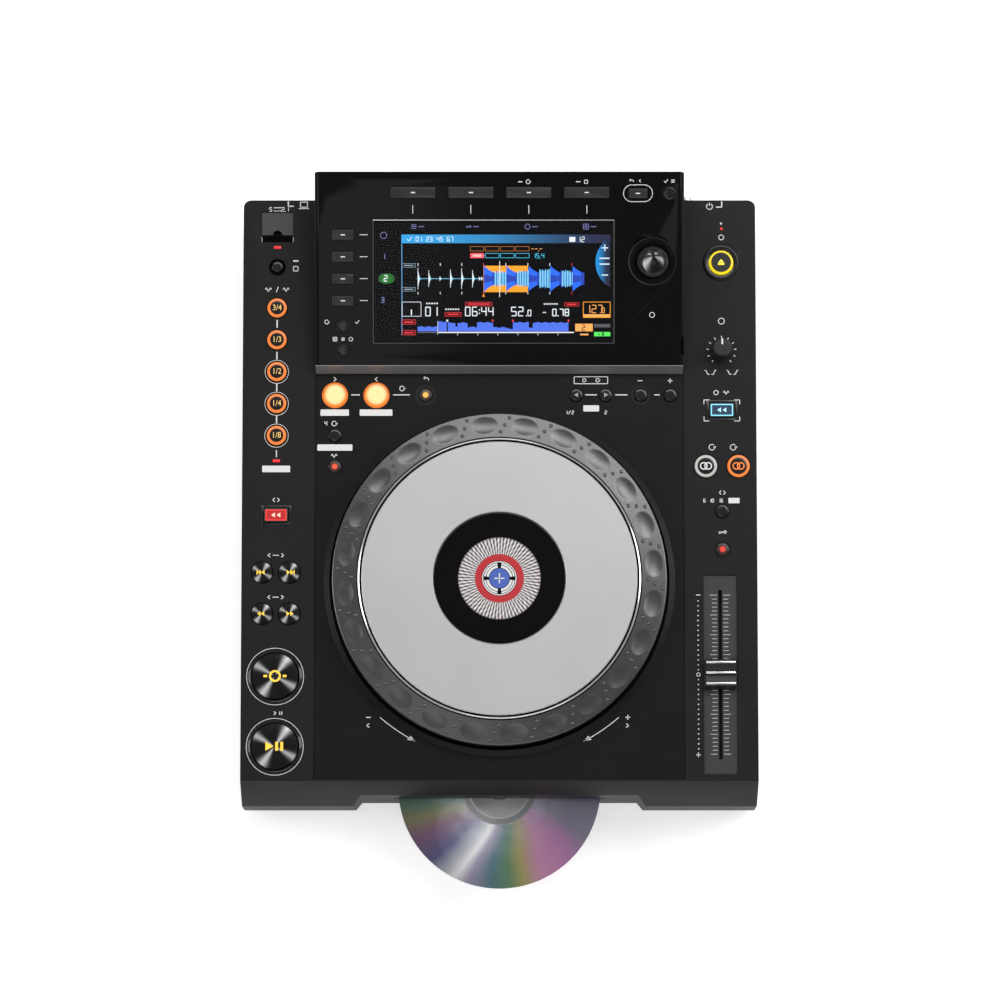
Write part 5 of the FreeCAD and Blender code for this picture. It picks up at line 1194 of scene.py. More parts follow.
@dataclass
class JogWheel:
    """The wheel: ring with finger bowls, bead, touch plate and the display in its middle."""

    centre_y: float = 118.5
    radius: float = 98.8
    top: float = 83.4
    fall: float = 2.0
    bead_outer: float = 84.2
    bead_inner: float = 81.7
    bowls: int = 24
    bowl_radius: float = 91.4
    bowl_length: float = 15.9
    bowl_width: float = 10.4
    bowl_depth: float = 0.55
    first_bowl: float = 9.5
    steps: int = 960

    def surface(self, radius: float) -> float:
        """Height of the ring's face before the bowls."""
        return self.top - self.fall * (radius - self.bead_outer) / (self.radius - self.bead_outer)

    def bowl(self, x: float, y: float) -> float:
        """How far the nearest finger bowl sinks the face.

        Args:
            x: place across from the wheel's middle.
            y: place along from the wheel's middle.

        Returns:
            The depth in millimetres.
        """
        pitch = 2 * math.pi / self.bowls
        clockwise = math.atan2(x, y) - math.radians(self.first_bowl)
        away = (clockwise + pitch / 2) % pitch - pitch / 2
        radius = math.hypot(x, y)
        across = radius * math.sin(away) / (self.bowl_length / 2)
        along = (radius * math.cos(away) - self.bowl_radius) / (self.bowl_width / 2)
        reach = across * across + along * along
        if reach >= 1.0:
            return 0.0
        return self.bowl_depth * (1.0 - reach)

    def ring(self) -> None:
        """The ring: a spun outline whose face is then pushed in at each bowl."""
        faces = 30
        outline = [(self.bead_outer, 79.6), (self.bead_outer, self.top)]
        for i in range(1, faces):
            radius = self.bead_outer + (self.radius - 0.5 - self.bead_outer) * i / faces
            outline.append((radius, self.surface(radius)))
        outline += [(self.radius - 0.5, self.surface(self.radius - 0.5)), (self.radius - 0.15, 81.2),
                    (self.radius, 80.8), (self.radius, 64.0), (self.radius - 3.0, 64.0),
                    (self.radius - 3.0, 79.6)]
        draft = Draft()
        draft.turned(outline, 0.0, 0.0, self.steps, closed=True)
        for vertex in draft.mesh.verts:
            if vertex.co.z > 80.9:
                vertex.co.z -= self.bowl(vertex.co.x, vertex.co.y)
        web = [(38.56, 64.0), (42.6, 64.0), (42.6, 79.6), (self.bead_outer, 79.6),
               (self.bead_outer, 82.1), (38.56, 82.1)]
        draft.turned(web, 0.0, 0.0, 96, closed=True)
        for i in range(self.bowls):
            middle = math.radians(self.first_bowl + 360.0 / self.bowls * (i + 0.5))
            for radius, turn in ((95.9, 1.55), (91.4, 0.0), (87.3, -1.55)):
                self.bump(draft, radius, middle + math.radians(turn))
        self.centred(draft)
        draft.piece("jog_ring_shell", [WHEEL], "jog", "wheel", stands_for=["jog_ring"], smooth=38.0)

    def bump(self, draft: Draft, radius: float, clockwise: float) -> None:
        """One small round bump between two bowls.

        Args:
            draft: what to add it to.
            radius: distance from the wheel's middle.
            clockwise: angle from the rear in radians.
        """
        outline = [(1.2, -0.3), (1.2, 0.02), (0.95, 0.3), (0.55, 0.46), (0.0, 0.52)]
        x, y = radius * math.sin(clockwise), radius * math.cos(clockwise)
        move = Matrix.Translation((x, y, self.surface(radius)))
        draft.turned(outline, 0.0, 0.0, 12, move=move)

    def centred(self, draft: Draft) -> None:
        """Move a draft from the wheel's middle to its place on the deck."""
        bmesh.ops.translate(draft.mesh, vec=(0.0, self.centre_y, 0.0), verts=draft.mesh.verts)

    def bead(self) -> None:
        """The bright bead between ring and plate, and a black ring of painted shade in the gaps on both
        sides of it.
        """
        middle = (self.bead_outer + self.bead_inner) / 2
        half = 0.75
        outline = [(middle - half, 82.2)]
        for i in range(9):
            angle = math.pi * i / 8
            outline.append((middle - half * math.cos(angle), 83.3 + 1.35 * math.sin(angle)))
        outline.append((middle + half, 82.2))
        draft = Draft()
        draft.turned(outline, 0.0, self.centre_y, 240, closed=True)
        # A black ring of painted shade fills the gaps beside the bead.
        draft.ring(81.35, 84.15, (82.1, 82.4), 0.0, self.centre_y, 240, 1)
        draft.piece("jog_bead", [BEAD, GAP_SHADE], "jog", "wheel")

    def plate(self) -> None:
        """The blasted touch plate with its turned-down edges."""
        outline = [(39.2, 82.7), (81.3, 82.7), (81.3, 84.1), (80.9, 84.5), (39.6, 84.5), (39.2, 84.2)]
        draft = Draft()
        draft.turned(outline, 0.0, self.centre_y, 192, closed=True)
        draft.piece("touch_plate", [PLATE], "touch", "touch_plate", stands_for=["jog_plate"])

    def display(self) -> None:
        """The fixed display: lens, strobe print, red ring and the split rings round a blue dial."""
        draft = Draft()
        y = self.centre_y
        draft.turned([(0.0, 76.0), (38.4, 76.0), (38.4, 81.9), (38.1, 82.2), (0.0, 82.2)], 0.0, y, 128)
        draft.piece("centre_display", [HEAD], "deck", "centre_display", stands_for=["jog_display"])
        draft = Draft()
        rings = ((14.4, 24.4, 82.26), (10.4, 14.4, 82.28), (9.5, 10.1, 82.28))
        for slot, (inner, outer, top) in enumerate(rings):
            draft.ring(inner, outer, (82.2, top), 0.0, y, 96, slot)
        draft.turned([(0.0, 82.2), (5.9, 82.2), (5.9, 82.3), (0.0, 82.3)], 0.0, y, 64, 3)
        for quarter in range(4):
            start = math.radians(90.0 * quarter + 8.0)
            for inner, outer in ((6.3, 7.7), (8.1, 9.1)):
                draft.prism(self.arc(inner, outer, start, math.radians(74.0)), (82.2, 82.3), 2,
                            move=Matrix.Translation((0.0, y, 0.0)))
        draft.line([(-3.0, y), (3.0, y)], 0.7, (82.3, 82.34), 2)
        draft.line([(0.0, y - 3.0), (0.0, y + 3.0)], 0.7, (82.3, 82.34), 2)
        draft.piece("centre_dial", [StrobeFace(), RED_RING, WHITE_INK, DIAL_BLUE], "deck",
                    "centre_display")

    @staticmethod
    def arc(inner: float, outer: float, start: float, sweep: float) -> list[Point]:
        """Corners of a flat arc.

        Args:
            inner: inner radius.
            outer: outer radius.
            start: where it starts, in radians.
            sweep: how far it runs.

        Returns:
            Its corners in order.
        """
        count = 14
        angles = [start + sweep * i / count for i in range(count + 1)]
        rim = [(outer * math.cos(angle), outer * math.sin(angle)) for angle in angles]
        back = [(inner * math.cos(angle), inner * math.sin(angle)) for angle in reversed(angles)]
        return rim + back

    def build(self) -> None:
        """Build the whole wheel."""
        self.ring()
        self.bead()
        self.plate()
        self.display()
        dress(encoder_wheel=NYLON)


@dataclass(frozen=True)
class RoundKey:
    """A round key: its solid, place, cap and the ring round it."""

    node: str
    x: float
    y: float
    radius: float
    level: Level = Level.DECK
    rise: float = 1.8
    wall: float = 2.5
    cap: Finish = KEY_BLACK
    slot: str = "key_black"
    ring: Optional[Finish] = BEZEL
    ring_outer: float = 1.6
    dish: float = 0.0
    steps: int = 48
    lit_rim: Optional[Finish] = None
    rim_width: float = 1.6

    def outline(self) -> list[Point]:
        """Half outline of stem, flange and crowned cap, with the level's face at 0.

        Returns:
            Distance and height of each corner.
        """
        flange = -self.wall - 0.2
        edge = min(0.7, self.radius * 0.16)
        top = self.rise
        return [(0.0, -6.2), (2.0, -6.2), (2.0, flange - 1.2), (self.radius + 1.1, flange - 1.2),
                (self.radius + 1.1, flange), (self.radius, flange), (self.radius, top - edge),
                (self.radius - edge * 0.3, top - edge * 0.3), (self.radius - edge, top),
                (self.radius * 0.45, top - self.dish * 0.8), (0.0, top - self.dish)]

    def build(self) -> None:
        """Build the key, and the ring round it on the case."""
        draft = Draft()
        draft.turned(self.outline(), self.x, self.y, self.steps)
        finishes = [self.cap]
        if self.lit_rim:
            finishes.append(self.lit_rim)
            edge = min(0.7, self.radius * 0.16)
            inner, outer, top = self.radius - self.rim_width, self.radius + 0.04, self.rise
            rim = [(inner, top - 0.9), (outer, top - 0.9), (outer, top - edge),
                   (outer - edge * 0.3, top - 0.1), (outer - edge, top + 0.05), (inner, top + 0.05)]
            draft.turned(rim, self.x, self.y, self.steps, 1, True)
        draft.piece(self.node + "_cap", finishes, self.node, self.slot, self.level, [self.node])

    def bezel(self, draft: Draft, slot: int) -> None:
        """Add the ring round the key to a draft on the key's level."""
        inner = self.radius + 0.3
        draft.ring(inner, self.radius + self.ring_outer, (-0.3, 0.35), self.x, self.y, self.steps, slot,
                   0.18)


@dataclass
class Strips:
    """Keys, rings and marks of the two side strips."""

    left: float = -132.2
    right: float = 132.0
    beat_y: float = 205.5
    beat_pitch: float = 19.2
    cue_y: float = 61.7
    play_y: float = 20.1
    track_y: float = 123.5
    search_y: float = 98.9
    pair_reach: float = 8.05
    reverse_y: float = 157.7
    eject_y: float = 309.8
    jog_mode_y: float = 220.7
    sync_y: float = 187.1
    sync_reach: float = 9.65
    lock_y: float = 137.3

    def keys(self) -> list[RoundKey]:
        """The round keys of both strips.

        Returns:
            The keys in the order in which they are built.
        """
        pearl = Glow("ring_pearl", (0.50, 0.48, 0.46), 0.8)
        yellow = Glow("ring_yellow", (0.80, 0.62, 0.01))
        found = []
        for number in range(1, 6):
            y = self.beat_y + self.beat_pitch * (number - 1)
            found.append(RoundKey("beat_key_%d" % number, self.left, y, 5.7, ring_outer=0.8,
                                  lit_rim=RING_ORANGE))
        for node, x, y in (("track_back_key", -self.pair_reach, self.track_y),
                           ("track_next_key", self.pair_reach, self.track_y),
                           ("search_back_key", -self.pair_reach, self.search_y),
                           ("search_next_key", self.pair_reach, self.search_y)):
            # The X-shaped bars on these caps are painted highlights.
            cap = SpunCapPaintedGlint(node + "_painted_glint", self.left + x, y, 0.55, 0.95, 16.0)
            found.append(RoundKey(node, self.left + x, y, 6.2, cap=cap, ring=BEZEL, ring_outer=0.9))
        for node, y in (("cue_key", self.cue_y), ("play_key", self.play_y)):
            cap = SpunCapPaintedGlint(node + "_painted_glint", self.left, y, 0.62, 0.95, 26.0)
            found.append(RoundKey(node, self.left, y, 13.6, rise=3.0, cap=cap, ring=None, steps=96,
                                  dish=0.25))
        # The ring round this key is painted shade in the hole round it.
        found.append(RoundKey("usb_stop_key", self.left, 307.1, 3.25, ring=GAP_SHADE, ring_outer=1.75))
        found.append(RoundKey("eject_key", self.right, self.eject_y, 7.2, cap=yellow, ring=None,
                              slot="key_lit"))
        found.append(RoundKey("sync_key", self.right - self.sync_reach, self.sync_y, 6.6,
                              slot="key_grey", ring_outer=0.8, lit_rim=pearl))
        found.append(RoundKey("master_key", self.right + self.sync_reach, self.sync_y, 6.6,
                              slot="key_grey", ring_outer=0.8, lit_rim=RING_ORANGE))
        found.append(RoundKey("tempo_range_key", self.right, 160.2, 3.85, ring_outer=1.1))
        red = LitCap("tempo_lock_lamp", self.right, self.lock_y, 3.85, (0.80, 0.05, 0.04),
                     (0.012, 0.006, 0.006), 1.0, 0.25)
        found.append(RoundKey("master_tempo_key", self.right, self.lock_y, 3.85, cap=red,
                              ring_outer=1.1))
        return found

    def lit_bar(self, node: str, x: float, y: float, width: float, length: float, lamp: Finish,
                mark: Finish, face: Finish) -> None:
        """A rectangular key with a lit rim line and a mark.

        Args:
            node: the key's solid.
            x: middle across.
            y: middle along.
            width: width of the cap.
            length: length of the cap.
            lamp: the lit rim.
            mark: the mark in the middle.
            face: the face of the cap.
        """
        half_w, half_l = width / 2, length / 2
        draft = Draft()
        draft.slab((x - half_w - 1.1, x + half_w + 1.1), (y - half_l - 1.1, y + half_l + 1.1),
                   (-3.9, -2.7))
        draft.slab((x - half_w, x + half_w), (y - half_l, y + half_l), (-2.7, 1.8), 0.5, 0.6)
        inner_w, inner_l = half_w - 0.9, half_l - 0.9
        draft.slab((x - inner_w, x + inner_w), (y - inner_l, y + inner_l), (1.7, 1.84), 0.0, 0.4, 1)
        draft.slab((x - inner_w + 0.7, x + inner_w - 0.7), (y - inner_l + 0.7, y + inner_l - 0.7),
                   (1.7, 1.9), 0.0, 0.2, 2)
        for step in (-1.6, 1.6):
            draft.prism([(x + step - 1.2, y), (x + step + 1.0, y + 1.5), (x + step + 1.0, y - 1.5)],
                        (1.8, 1.94), 3)
        draft.piece(node + "_cap", [KEY_DARK, lamp, face, mark], node, "key_lit", Level.DECK, [node])

    def rings(self) -> None:
        """Rings round the keys, in one piece for each finish."""
        groups: dict[str, tuple[Finish, Draft]] = {}
        for key in self.keys():
            if key.ring is None:
                continue
            _, draft = groups.setdefault(key.ring.name, (key.ring, Draft()))
            key.bezel(draft, 0)
        for name, (finish, draft) in groups.items():
            draft.piece("strip_" + name, [finish], "deck", "shell", Level.DECK)

    def large_key_rings(self) -> None:
        """Dark collars and pale rims round the two large keys."""
        rim = Ink("pale_rim", (0.72, 0.70, 0.68))
        draft = Draft()
        for y in (self.cue_y, self.play_y):
            draft.turned([(13.95, -0.3), (16.6, -0.3), (16.6, 0.4), (16.2, 0.9), (14.6, 1.6),
                          (13.95, 1.3)], self.left, y, 96, 0, True)
            draft.turned([(16.6, -0.3), (17.0, -0.3), (17.0, 0.3), (16.6, 0.45)], self.left, y, 96, 1,
                         True)
        draft.piece("large_key_collars", [KEY_BLACK, rim], "deck", "shell", Level.DECK)
        draft = Draft()
        y = self.eject_y
        draft.turned([(7.6, -0.3), (10.9, -0.3), (10.9, 0.5), (10.2, 1.1), (8.6, 1.3), (7.6, 0.9)],
                     self.right, y, 72, 0, True)
        draft.piece("eject_collar", [KEY_BLACK], "deck", "shell", Level.DECK)

    def marks(self) -> None:
        """Lit and printed marks on the keys, each riding its key."""
        orange = Glow("mark_orange", (0.85, 0.20, 0.03))
        yellow = Glow("mark_yellow", (0.95, 0.80, 0.05))
        x, y = self.left, self.play_y
        top = (3.0 - 0.3, 3.08)
        draft = Draft()
        draft.prism([(x - 5.4, y - 2.6), (x - 5.4, y + 2.6), (x - 0.6, y)], top, 0)
        for place in (1.2, 4.2):
            draft.slab((x + place - 0.85, x + place + 0.85), (y - 2.6, y + 2.6), top, 0.0, 0.0, 0)
        draft.piece("play_mark", [MARK_AMBER], "play_key", "key_lit", Level.DECK)
        y = self.cue_y
        draft = Draft()
        draft.ring(2.3, 3.5, top, x, y, 40)
        draft.slab((x - 6.8, x - 4.6), (y - 0.7, y + 0.7), top)
        draft.slab((x + 4.6, x + 6.8), (y - 0.7, y + 0.7), top)
        draft.piece("cue_mark", [MARK_AMBER], "cue_key", "key_lit", Level.DECK)
        self.skip_marks()
        figure = Glow("mark_gold", (0.95, 0.60, 0.18), 0.9)
        for number, text in enumerate(("1/8", "1/4", "1/2", "1/3", "3/4"), start=1):
            draft = Draft()
            draft.digits(text, x, self.beat_y + self.beat_pitch * (number - 1), 3.4, 1.82, 0, 0.9)
            draft.piece("beat_mark_%d" % number, [figure], "beat_key_%d" % number, "key_lit", Level.DECK)
        draft = Draft()
        x, y = self.right, self.eject_y
        draft.turned([(0.0, 1.6), (5.9, 1.6), (5.9, 2.0), (5.6, 2.2), (0.0, 2.2)], x, y, 48, 1)
        draft.prism([(x - 1.9, y - 0.3), (x + 1.9, y - 0.3), (x, y + 1.9)], (2.1, 2.28))
        draft.slab((x - 1.9, x + 1.9), (y - 1.7, y - 0.6), (2.1, 2.28))
        draft.piece("eject_mark", [yellow, MENU_KEY], "eject_key", "key_lit", Level.DECK)
        for node, side, finish in (("sync_key", -1, Glow("mark_pearl", (0.75, 0.74, 0.72), 0.8)),
                                   ("master_key", 1, orange)):
            draft = Draft()
            x, y = self.right + side * self.sync_reach, self.sync_y
            draft.ring(1.6, 2.3, (1.7, 1.86), x - side * 1.3, y, 28)
            draft.ring(1.6, 2.3, (1.7, 1.87), x + side * 1.3, y, 28)
            draft.piece(node + "_mark", [finish], node, "key_lit", Level.DECK)

    def skip_marks(self) -> None:
        """Double arrows on the track and search keys."""
        for node, dx, y, way, bar in (("track_back_key", -self.pair_reach, self.track_y, -1, True),
                                      ("track_next_key", self.pair_reach, self.track_y, 1, True),
                                      ("search_back_key", -self.pair_reach, self.search_y, -1, False),
                                      ("search_next_key", self.pair_reach, self.search_y, 1, False)):
            draft = Draft()
            x = self.left + dx
            for step in (-1.5, 0.7):
                near = x + way * step
                draft.prism([(near, y - 1.4), (near, y + 1.4), (near + way * 2.0, y)], (1.7, 1.86))
            if bar:
                edge = x + way * 2.9
                draft.slab((edge - 0.3, edge + 0.3), (y - 1.4, y + 1.4), (1.7, 1.86))
            draft.piece(node + "_mark", [MARK_AMBER], node, "key_lit", Level.DECK)

    def bar_frame(self, name: str, x: float, y: float, width: float, length: float) -> None:
        """A dark sunken frame round a lit bar.

        Args:
            name: the piece's name.
            x: middle across.
            y: middle along.
            width: width of the bar.
            length: length of the bar.
        """
        draft = Draft()
        half_w, half_l = width / 2, length / 2
        for side in (-1, 1):
            ends = sorted((x + side * (half_w + 0.35), x + side * (half_w + 1.6)))
            draft.slab((ends[0], ends[1]), (y - half_l - 1.6, y + half_l + 1.6), (-0.3, 0.3), 0.15)
            ends = sorted((y + side * (half_l + 0.35), y + side * (half_l + 1.6)))
            draft.slab((x - half_w - 0.36, x + half_w + 0.36), (ends[0], ends[1]), (-0.3, 0.3), 0.15)
        draft.piece(name, [BEZEL], "deck", "shell", Level.DECK)

    def build(self) -> None:
        """Build both strips."""
        self.bar_frame("reverse_frame", self.left, self.reverse_y, 14.4, 8.5)
        self.bar_frame("jog_mode_frame", self.right, self.jog_mode_y, 15.0, 9.0)
        for key in self.keys():
            key.build()
        self.rings()
        self.large_key_rings()
        self.marks()
        self.lit_bar("reverse_key", self.left, self.reverse_y, 14.4, 8.5,
                     Glow("lamp_red_rim", (0.85, 0.05, 0.04), 0.9), Glow("mark_rose", (1.0, 0.62, 0.5)),
                     Glow("lamp_red", (0.50, 0.01, 0.012), 0.8))
        self.lit_bar("jog_mode_key", self.right, self.jog_mode_y, 15.0, 9.0,
                     Glow("lamp_blue_rim", (0.25, 0.75, 1.0)), Glow("mark_sky", (0.45, 0.85, 1.0)),
                     Glow("lamp_blue", (0.005, 0.035, 0.09), 0.7))


@dataclass
class DeckKeys:
    """The keys on the centre panel and their rings."""

    row: float = 229.9
    wall: float = 3.7
    radius: float = 3.75
    call: Point = (45.75, 63.05)

    def keys(self) -> list[RoundKey]:
        """The round keys of the panel.

        Returns:
            The keys in the order in which they are built.
        """
        warm, edge = (0.95, 0.74, 0.34), (0.85, 0.22, 0.02)
        found = []
        for node, x in (("loop_in_key", -97.6), ("loop_out_key", -73.0)):
            cap = LitCap(node + "_lamp", x, self.row, 6.9, warm, edge, 1.0)
            found.append(RoundKey(node, x, self.row, 6.9, Level.PANEL, wall=self.wall, cap=cap,
                                  slot="key_lit", ring=RING_ORANGE, ring_outer=0.8))
        lamp = LitCap("reloop_lamp", -43.8, self.row, self.radius, (0.95, 0.50, 0.10),
                      (0.012, 0.008, 0.006), 1.0, 0.25)
        slip = LitCap("slip_lamp", -97.6, 186.9, self.radius, (0.85, 0.10, 0.04), (0.012, 0.006, 0.006),
                      1.0, 0.25)
        for node, x, y, ring_outer, cap in (("reloop_key", -43.8, self.row, 2.9, lamp),
                                            ("delete_key", 83.9, self.row, 2.4, KEY_BLACK),
                                            ("memory_key", 101.5, self.row, 0.9, KEY_BLACK),
                                            ("four_beat_key", -97.6, 205.6, 0.9, KEY_BLACK),
                                            ("slip_key", -97.6, 186.9, 0.9, slip)):
            found.append(self.small(node, x, y, ring_outer, cap))
        return found

    def small(self, node: str, x: float, y: float, ring_outer: float = 0.9,
              cap: Finish = KEY_BLACK) -> RoundKey:
        """A small round key of the panel."""
        return RoundKey(node, x, y, self.radius, Level.PANEL, wall=self.wall, cap=cap,
                        ring_outer=ring_outer)

    def call_pair(self) -> None:
        """The two call keys, one moulding."""
        draft = Draft()
        rings = Draft()
        for x in self.call:
            key = self.small("call_keys", x, self.row)
            draft.turned(key.outline(), x, self.row, 48)
            key.bezel(rings, 0)
            way = -1 if x < 54 else 1
            draft.prism([(x - way * 0.9, self.row - 1.4), (x - way * 0.9, self.row + 1.4),
                         (x + way * 1.5, self.row)], (1.7, 1.88), 1)
        draft.slab(self.call, (self.row - 2.0, self.row + 2.0), (-5.1, -3.9))
        draft.piece("call_keys_caps", [KEY_BLACK, GREY_INK], "call_keys", "key_black", Level.PANEL,
                    ["call_keys"])
        rings.piece("call_rings", [BEZEL], "deck", "panel", Level.PANEL)

    def build(self) -> None:
        """Build the panel's keys."""
        draft = Draft()
        finishes: list[Finish] = []
        for key in self.keys():
            key.build()
            if key.ring not in finishes:
                finishes.append(key.ring)
            key.bezel(draft, finishes.index(key.ring))
        draft.piece("panel_key_rings", finishes, "deck", "panel", Level.PANEL)
        self.call_pair()


@dataclass
class HeadKeys:
    """Keys of the display head."""

    def cap(self, draft: Draft, x: float, s: float, width: float, height: float) -> None:
        """One rectangular cap with soft edges and a shallow face."""
        half_w, half_h = width / 2, height / 2
        draft.slab((x - half_w, x + half_w), (s - half_h, s + half_h), (-2.6, 1.8), 0.5, 0.5)

    def bars(self, node: str, places: Sequence[Point], width: float, height: float) -> None:
        """A moulding of several caps, with a pale dash on each.

        Args:
            node: the solid.
            places: the caps' middles.
            width: width of a cap.
            height: height of a cap.
        """
        draft = Draft()
        for x, s in places:
            self.cap(draft, x, s, width, height)
            draft.slab((x - 1.3, x + 1.3), (s - 0.35, s + 0.35), (1.7, 1.85), slot=1)
        low_x = min(x for x, _ in places) - width / 2 - 1.1
        high_x = max(x for x, _ in places) + width / 2 + 1.1
        low_s = min(s for _, s in places) - height / 2 - 1.1
        high_s = max(s for _, s in places) + height / 2 + 1.1
        draft.slab((low_x, high_x), (low_s, high_s), (-3.9, -2.7))
        draft.piece(node + "_caps", [MENU_KEY, WHITE_INK], node, "key_black", Level.HEAD, [node])

    def build(self) -> None:
        """Build the head's keys."""
        self.bars("menu_keys", [(-51.0 + 34.2 * i, 102.7) for i in range(4)], 26.6, 6.5)
        self.bars("source_keys", [(-92.6, 38.7 + 13.0 * i) for i in range(4)], 13.0, 6.0)
        self.bars("back_key", [(81.9, 102.2)], 11.2, 5.8)
        rings = Draft()
        for node, x, s, radius in (("time_mode_key", -92.6, 23.8, 3.1),
                                   ("quantize_key", -92.6, 9.6, 3.1),
                                   ("tag_key", 100.5, 102.2, 3.8)):
            key = RoundKey(node, x, s, radius, Level.HEAD, ring_outer=0.7)
            key.build()
            key.bezel(rings, 0)
        rings.piece("head_key_rings", [BEZEL], "deck", "head", Level.HEAD)


@dataclass
class Knobs:
    """The two turning knobs."""

    selector: Point = (90.6, 62.0)
    speed: Point = (132.0, 256.7)

    def selector_knob(self) -> None:
        """Skirt and lobed grip, with a dished top, and the dish round it."""
        x, s = self.selector
        draft = Draft()
        draft.turned([(3.1, 1.2), (9.1, 1.2), (9.1, 7.0), (8.7, 7.6), (7.6, 7.8), (3.1, 7.8)], x, s, 72,
                     closed=True)
        lobes = []
        for i in range(96):
            angle = 2 * math.pi * i / 96
            radius = 7.6 + 0.7 * math.cos(6 * angle)
            lobes.append((x + radius * math.cos(angle), s + radius * math.sin(angle)))
        draft.prism(lobes, (7.7, 17.0), 0, 0.7)
        draft.piece("selector_grip_shell", [KNOB], "selector_grip", "knob", Level.HEAD,
                    ["selector_knob"])
        face = Draft()
        # The X-shaped bars on the knob's face are painted highlights.
        cap = SpunCapPaintedGlint("selector_painted_glint", x, s * SPACE.head_cosine + SPACE.head_y, 0.6, 0.75, 9.0)
        face.turned([(0.0, 16.6), (5.9, 16.6), (6.2, 17.02), (5.6, 17.15), (0.0, 16.95)], x, s, 64)
        face.piece("selector_face", [cap], "selector_grip", "knob", Level.HEAD)
        ring = Draft()
        ring.turned([(10.0, -1.7), (13.8, -0.1), (14.3, 0.25), (13.7, 0.35), (10.2, -1.3)], x, s, 96,
                    closed=True)
        # The dish's floor under the grip is black painted shade.
        ring.turned([(3.2, -1.75), (10.2, -1.75), (10.2, -1.5), (3.2, -1.5)], x, s, 64, 1, True)
        ring.piece("selector_dish", [BEZEL, GAP_SHADE], "deck", "head", Level.HEAD)
        dress(selector_shaft=NYLON)

    def speed_knob(self) -> None:
        """The speed knob with its pointer and scale ticks."""
        x, y = self.speed
        draft = Draft()
        draft.turned([(0.0, -10.0), (2.5, -10.0), (2.5, 0.5), (6.1, 0.5), (6.1, 2.2), (5.7, 2.6),
                      (5.4, 12.3), (4.9, 12.9), (0.0, 13.0)], x, y, 64)
        for i in range(24):
            angle = 2 * math.pi * i / 24
            move = Matrix.Translation((x, y, 0)) @ Matrix.Rotation(angle, 4, "Z")
            draft.slab((5.3, 5.75), (-0.25, 0.25), (3.0, 12.2), move=move)
        draft.slab((x - 0.5, x + 0.5), (y + 1.6, y + 5.2), (12.9, 13.12), slot=1)
        draft.piece("speed_knob_shell", [KNOB, WHITE_INK], "speed", "knob", Level.DECK, ["speed_knob"])

    def build(self) -> None:
        """Build both knobs."""
        self.selector_knob()
        self.speed_knob()


@dataclass
class Fader:
    """The tempo fader: sunken plate, slot, scale and cap."""

    x: float = 130.4
    centre_y: float = 63.1

    def build(self) -> None:
        """Build the fader."""
        dress(fader_track=FADER_PLATE)
        x, y = self.x, self.centre_y
        draft = Draft()
        for i in range(41):
            place = y + (i - 20) * 2.36
            half = 5.4 if i % 5 == 0 else 3.9
            for side in (-1, 1):
                ends = sorted((x + side * 1.9, x + side * (1.9 + half * 0.75)))
                draft.slab((ends[0], ends[1]), (place - 0.16, place + 0.16), (-1.4, -1.36))
        draft.piece("fader_ticks", [TICK_INK], "deck", "knob", Level.DECK)
        base = -1.4 + 0.5
        top = base + 9.0
        draft = Draft()
        half = 9.3
        outline = [(y - half, base), (y - half + 1.6, top - 1.0), (y - half + 2.6, top - 1.0),
                   (y - 3.0, top - 2.2), (y - 0.9, top - 2.2), (y - 0.5, top - 0.6),
                   (y + 0.5, top - 0.6), (y + 0.9, top - 2.2), (y + 3.0, top - 2.2),
                   (y + half - 2.6, top - 1.0), (y + half - 1.6, top - 1.0), (y + half, base)]
        lay = Matrix(((0, 0, 1, x - 8.95), (1, 0, 0, 0), (0, 1, 0, 0), (0, 0, 0, 1)))
        draft.prism(outline, (0.0, 17.9), move=lay)
        draft.slab((x - 0.8, x + 0.8), (y - 2.0, y + 2.0), (-13.0, base))
        for step in (-1, 0, 1):
            height = top - 0.62 if step == 0 else top - 1.02
            place = y + step * 6.25 if step else y
            draft.slab((x - 8.7, x + 8.7), (place - 0.55, place + 0.55), (height - 0.5, height + 0.35),
                       0.15, 0.0, 1)
        draft.piece("fader_cap", [KNOB, RIDGE_AND_GLINT], "tempo", "knob", Level.DECK, ["tempo_slider"])


@dataclass
class LoadedDisc:
    """The disc that stands out of the slot."""

    y: float = -0.6
    underside: float = 34.4

    def build(self) -> None:
        """Build the disc with its stacking ring, clear hub and rim."""
        low, high = self.underside, self.underside + 1.2
        outline = [(7.5, low + 0.1), (7.6, low), (59.8, low), (60.0, low + 0.2), (60.0, high - 0.2),
                   (59.8, high), (18.6, high), (18.2, high + 0.12), (17.4, high + 0.12), (17.0, high),
                   (7.6, high), (7.5, high - 0.1)]
        draft = Draft()
        draft.turned(outline, 0.0, self.y, 256, closed=True)
        draft.piece("pressed_disc", [MirrorDisc()], "disc", "disc", None, ["disc"])


@dataclass
class Mechanism:
    """What works inside: roller, clamp, sled, turntable and pickup."""

    def build(self) -> None:
        """Dress the pieces."""
        dress(loading_roller=RUBBER, disc_clamp=KEY_DARK, drive_sled=STEEL, turntable=KEY_DARK,
              optical_pickup=KNOB)


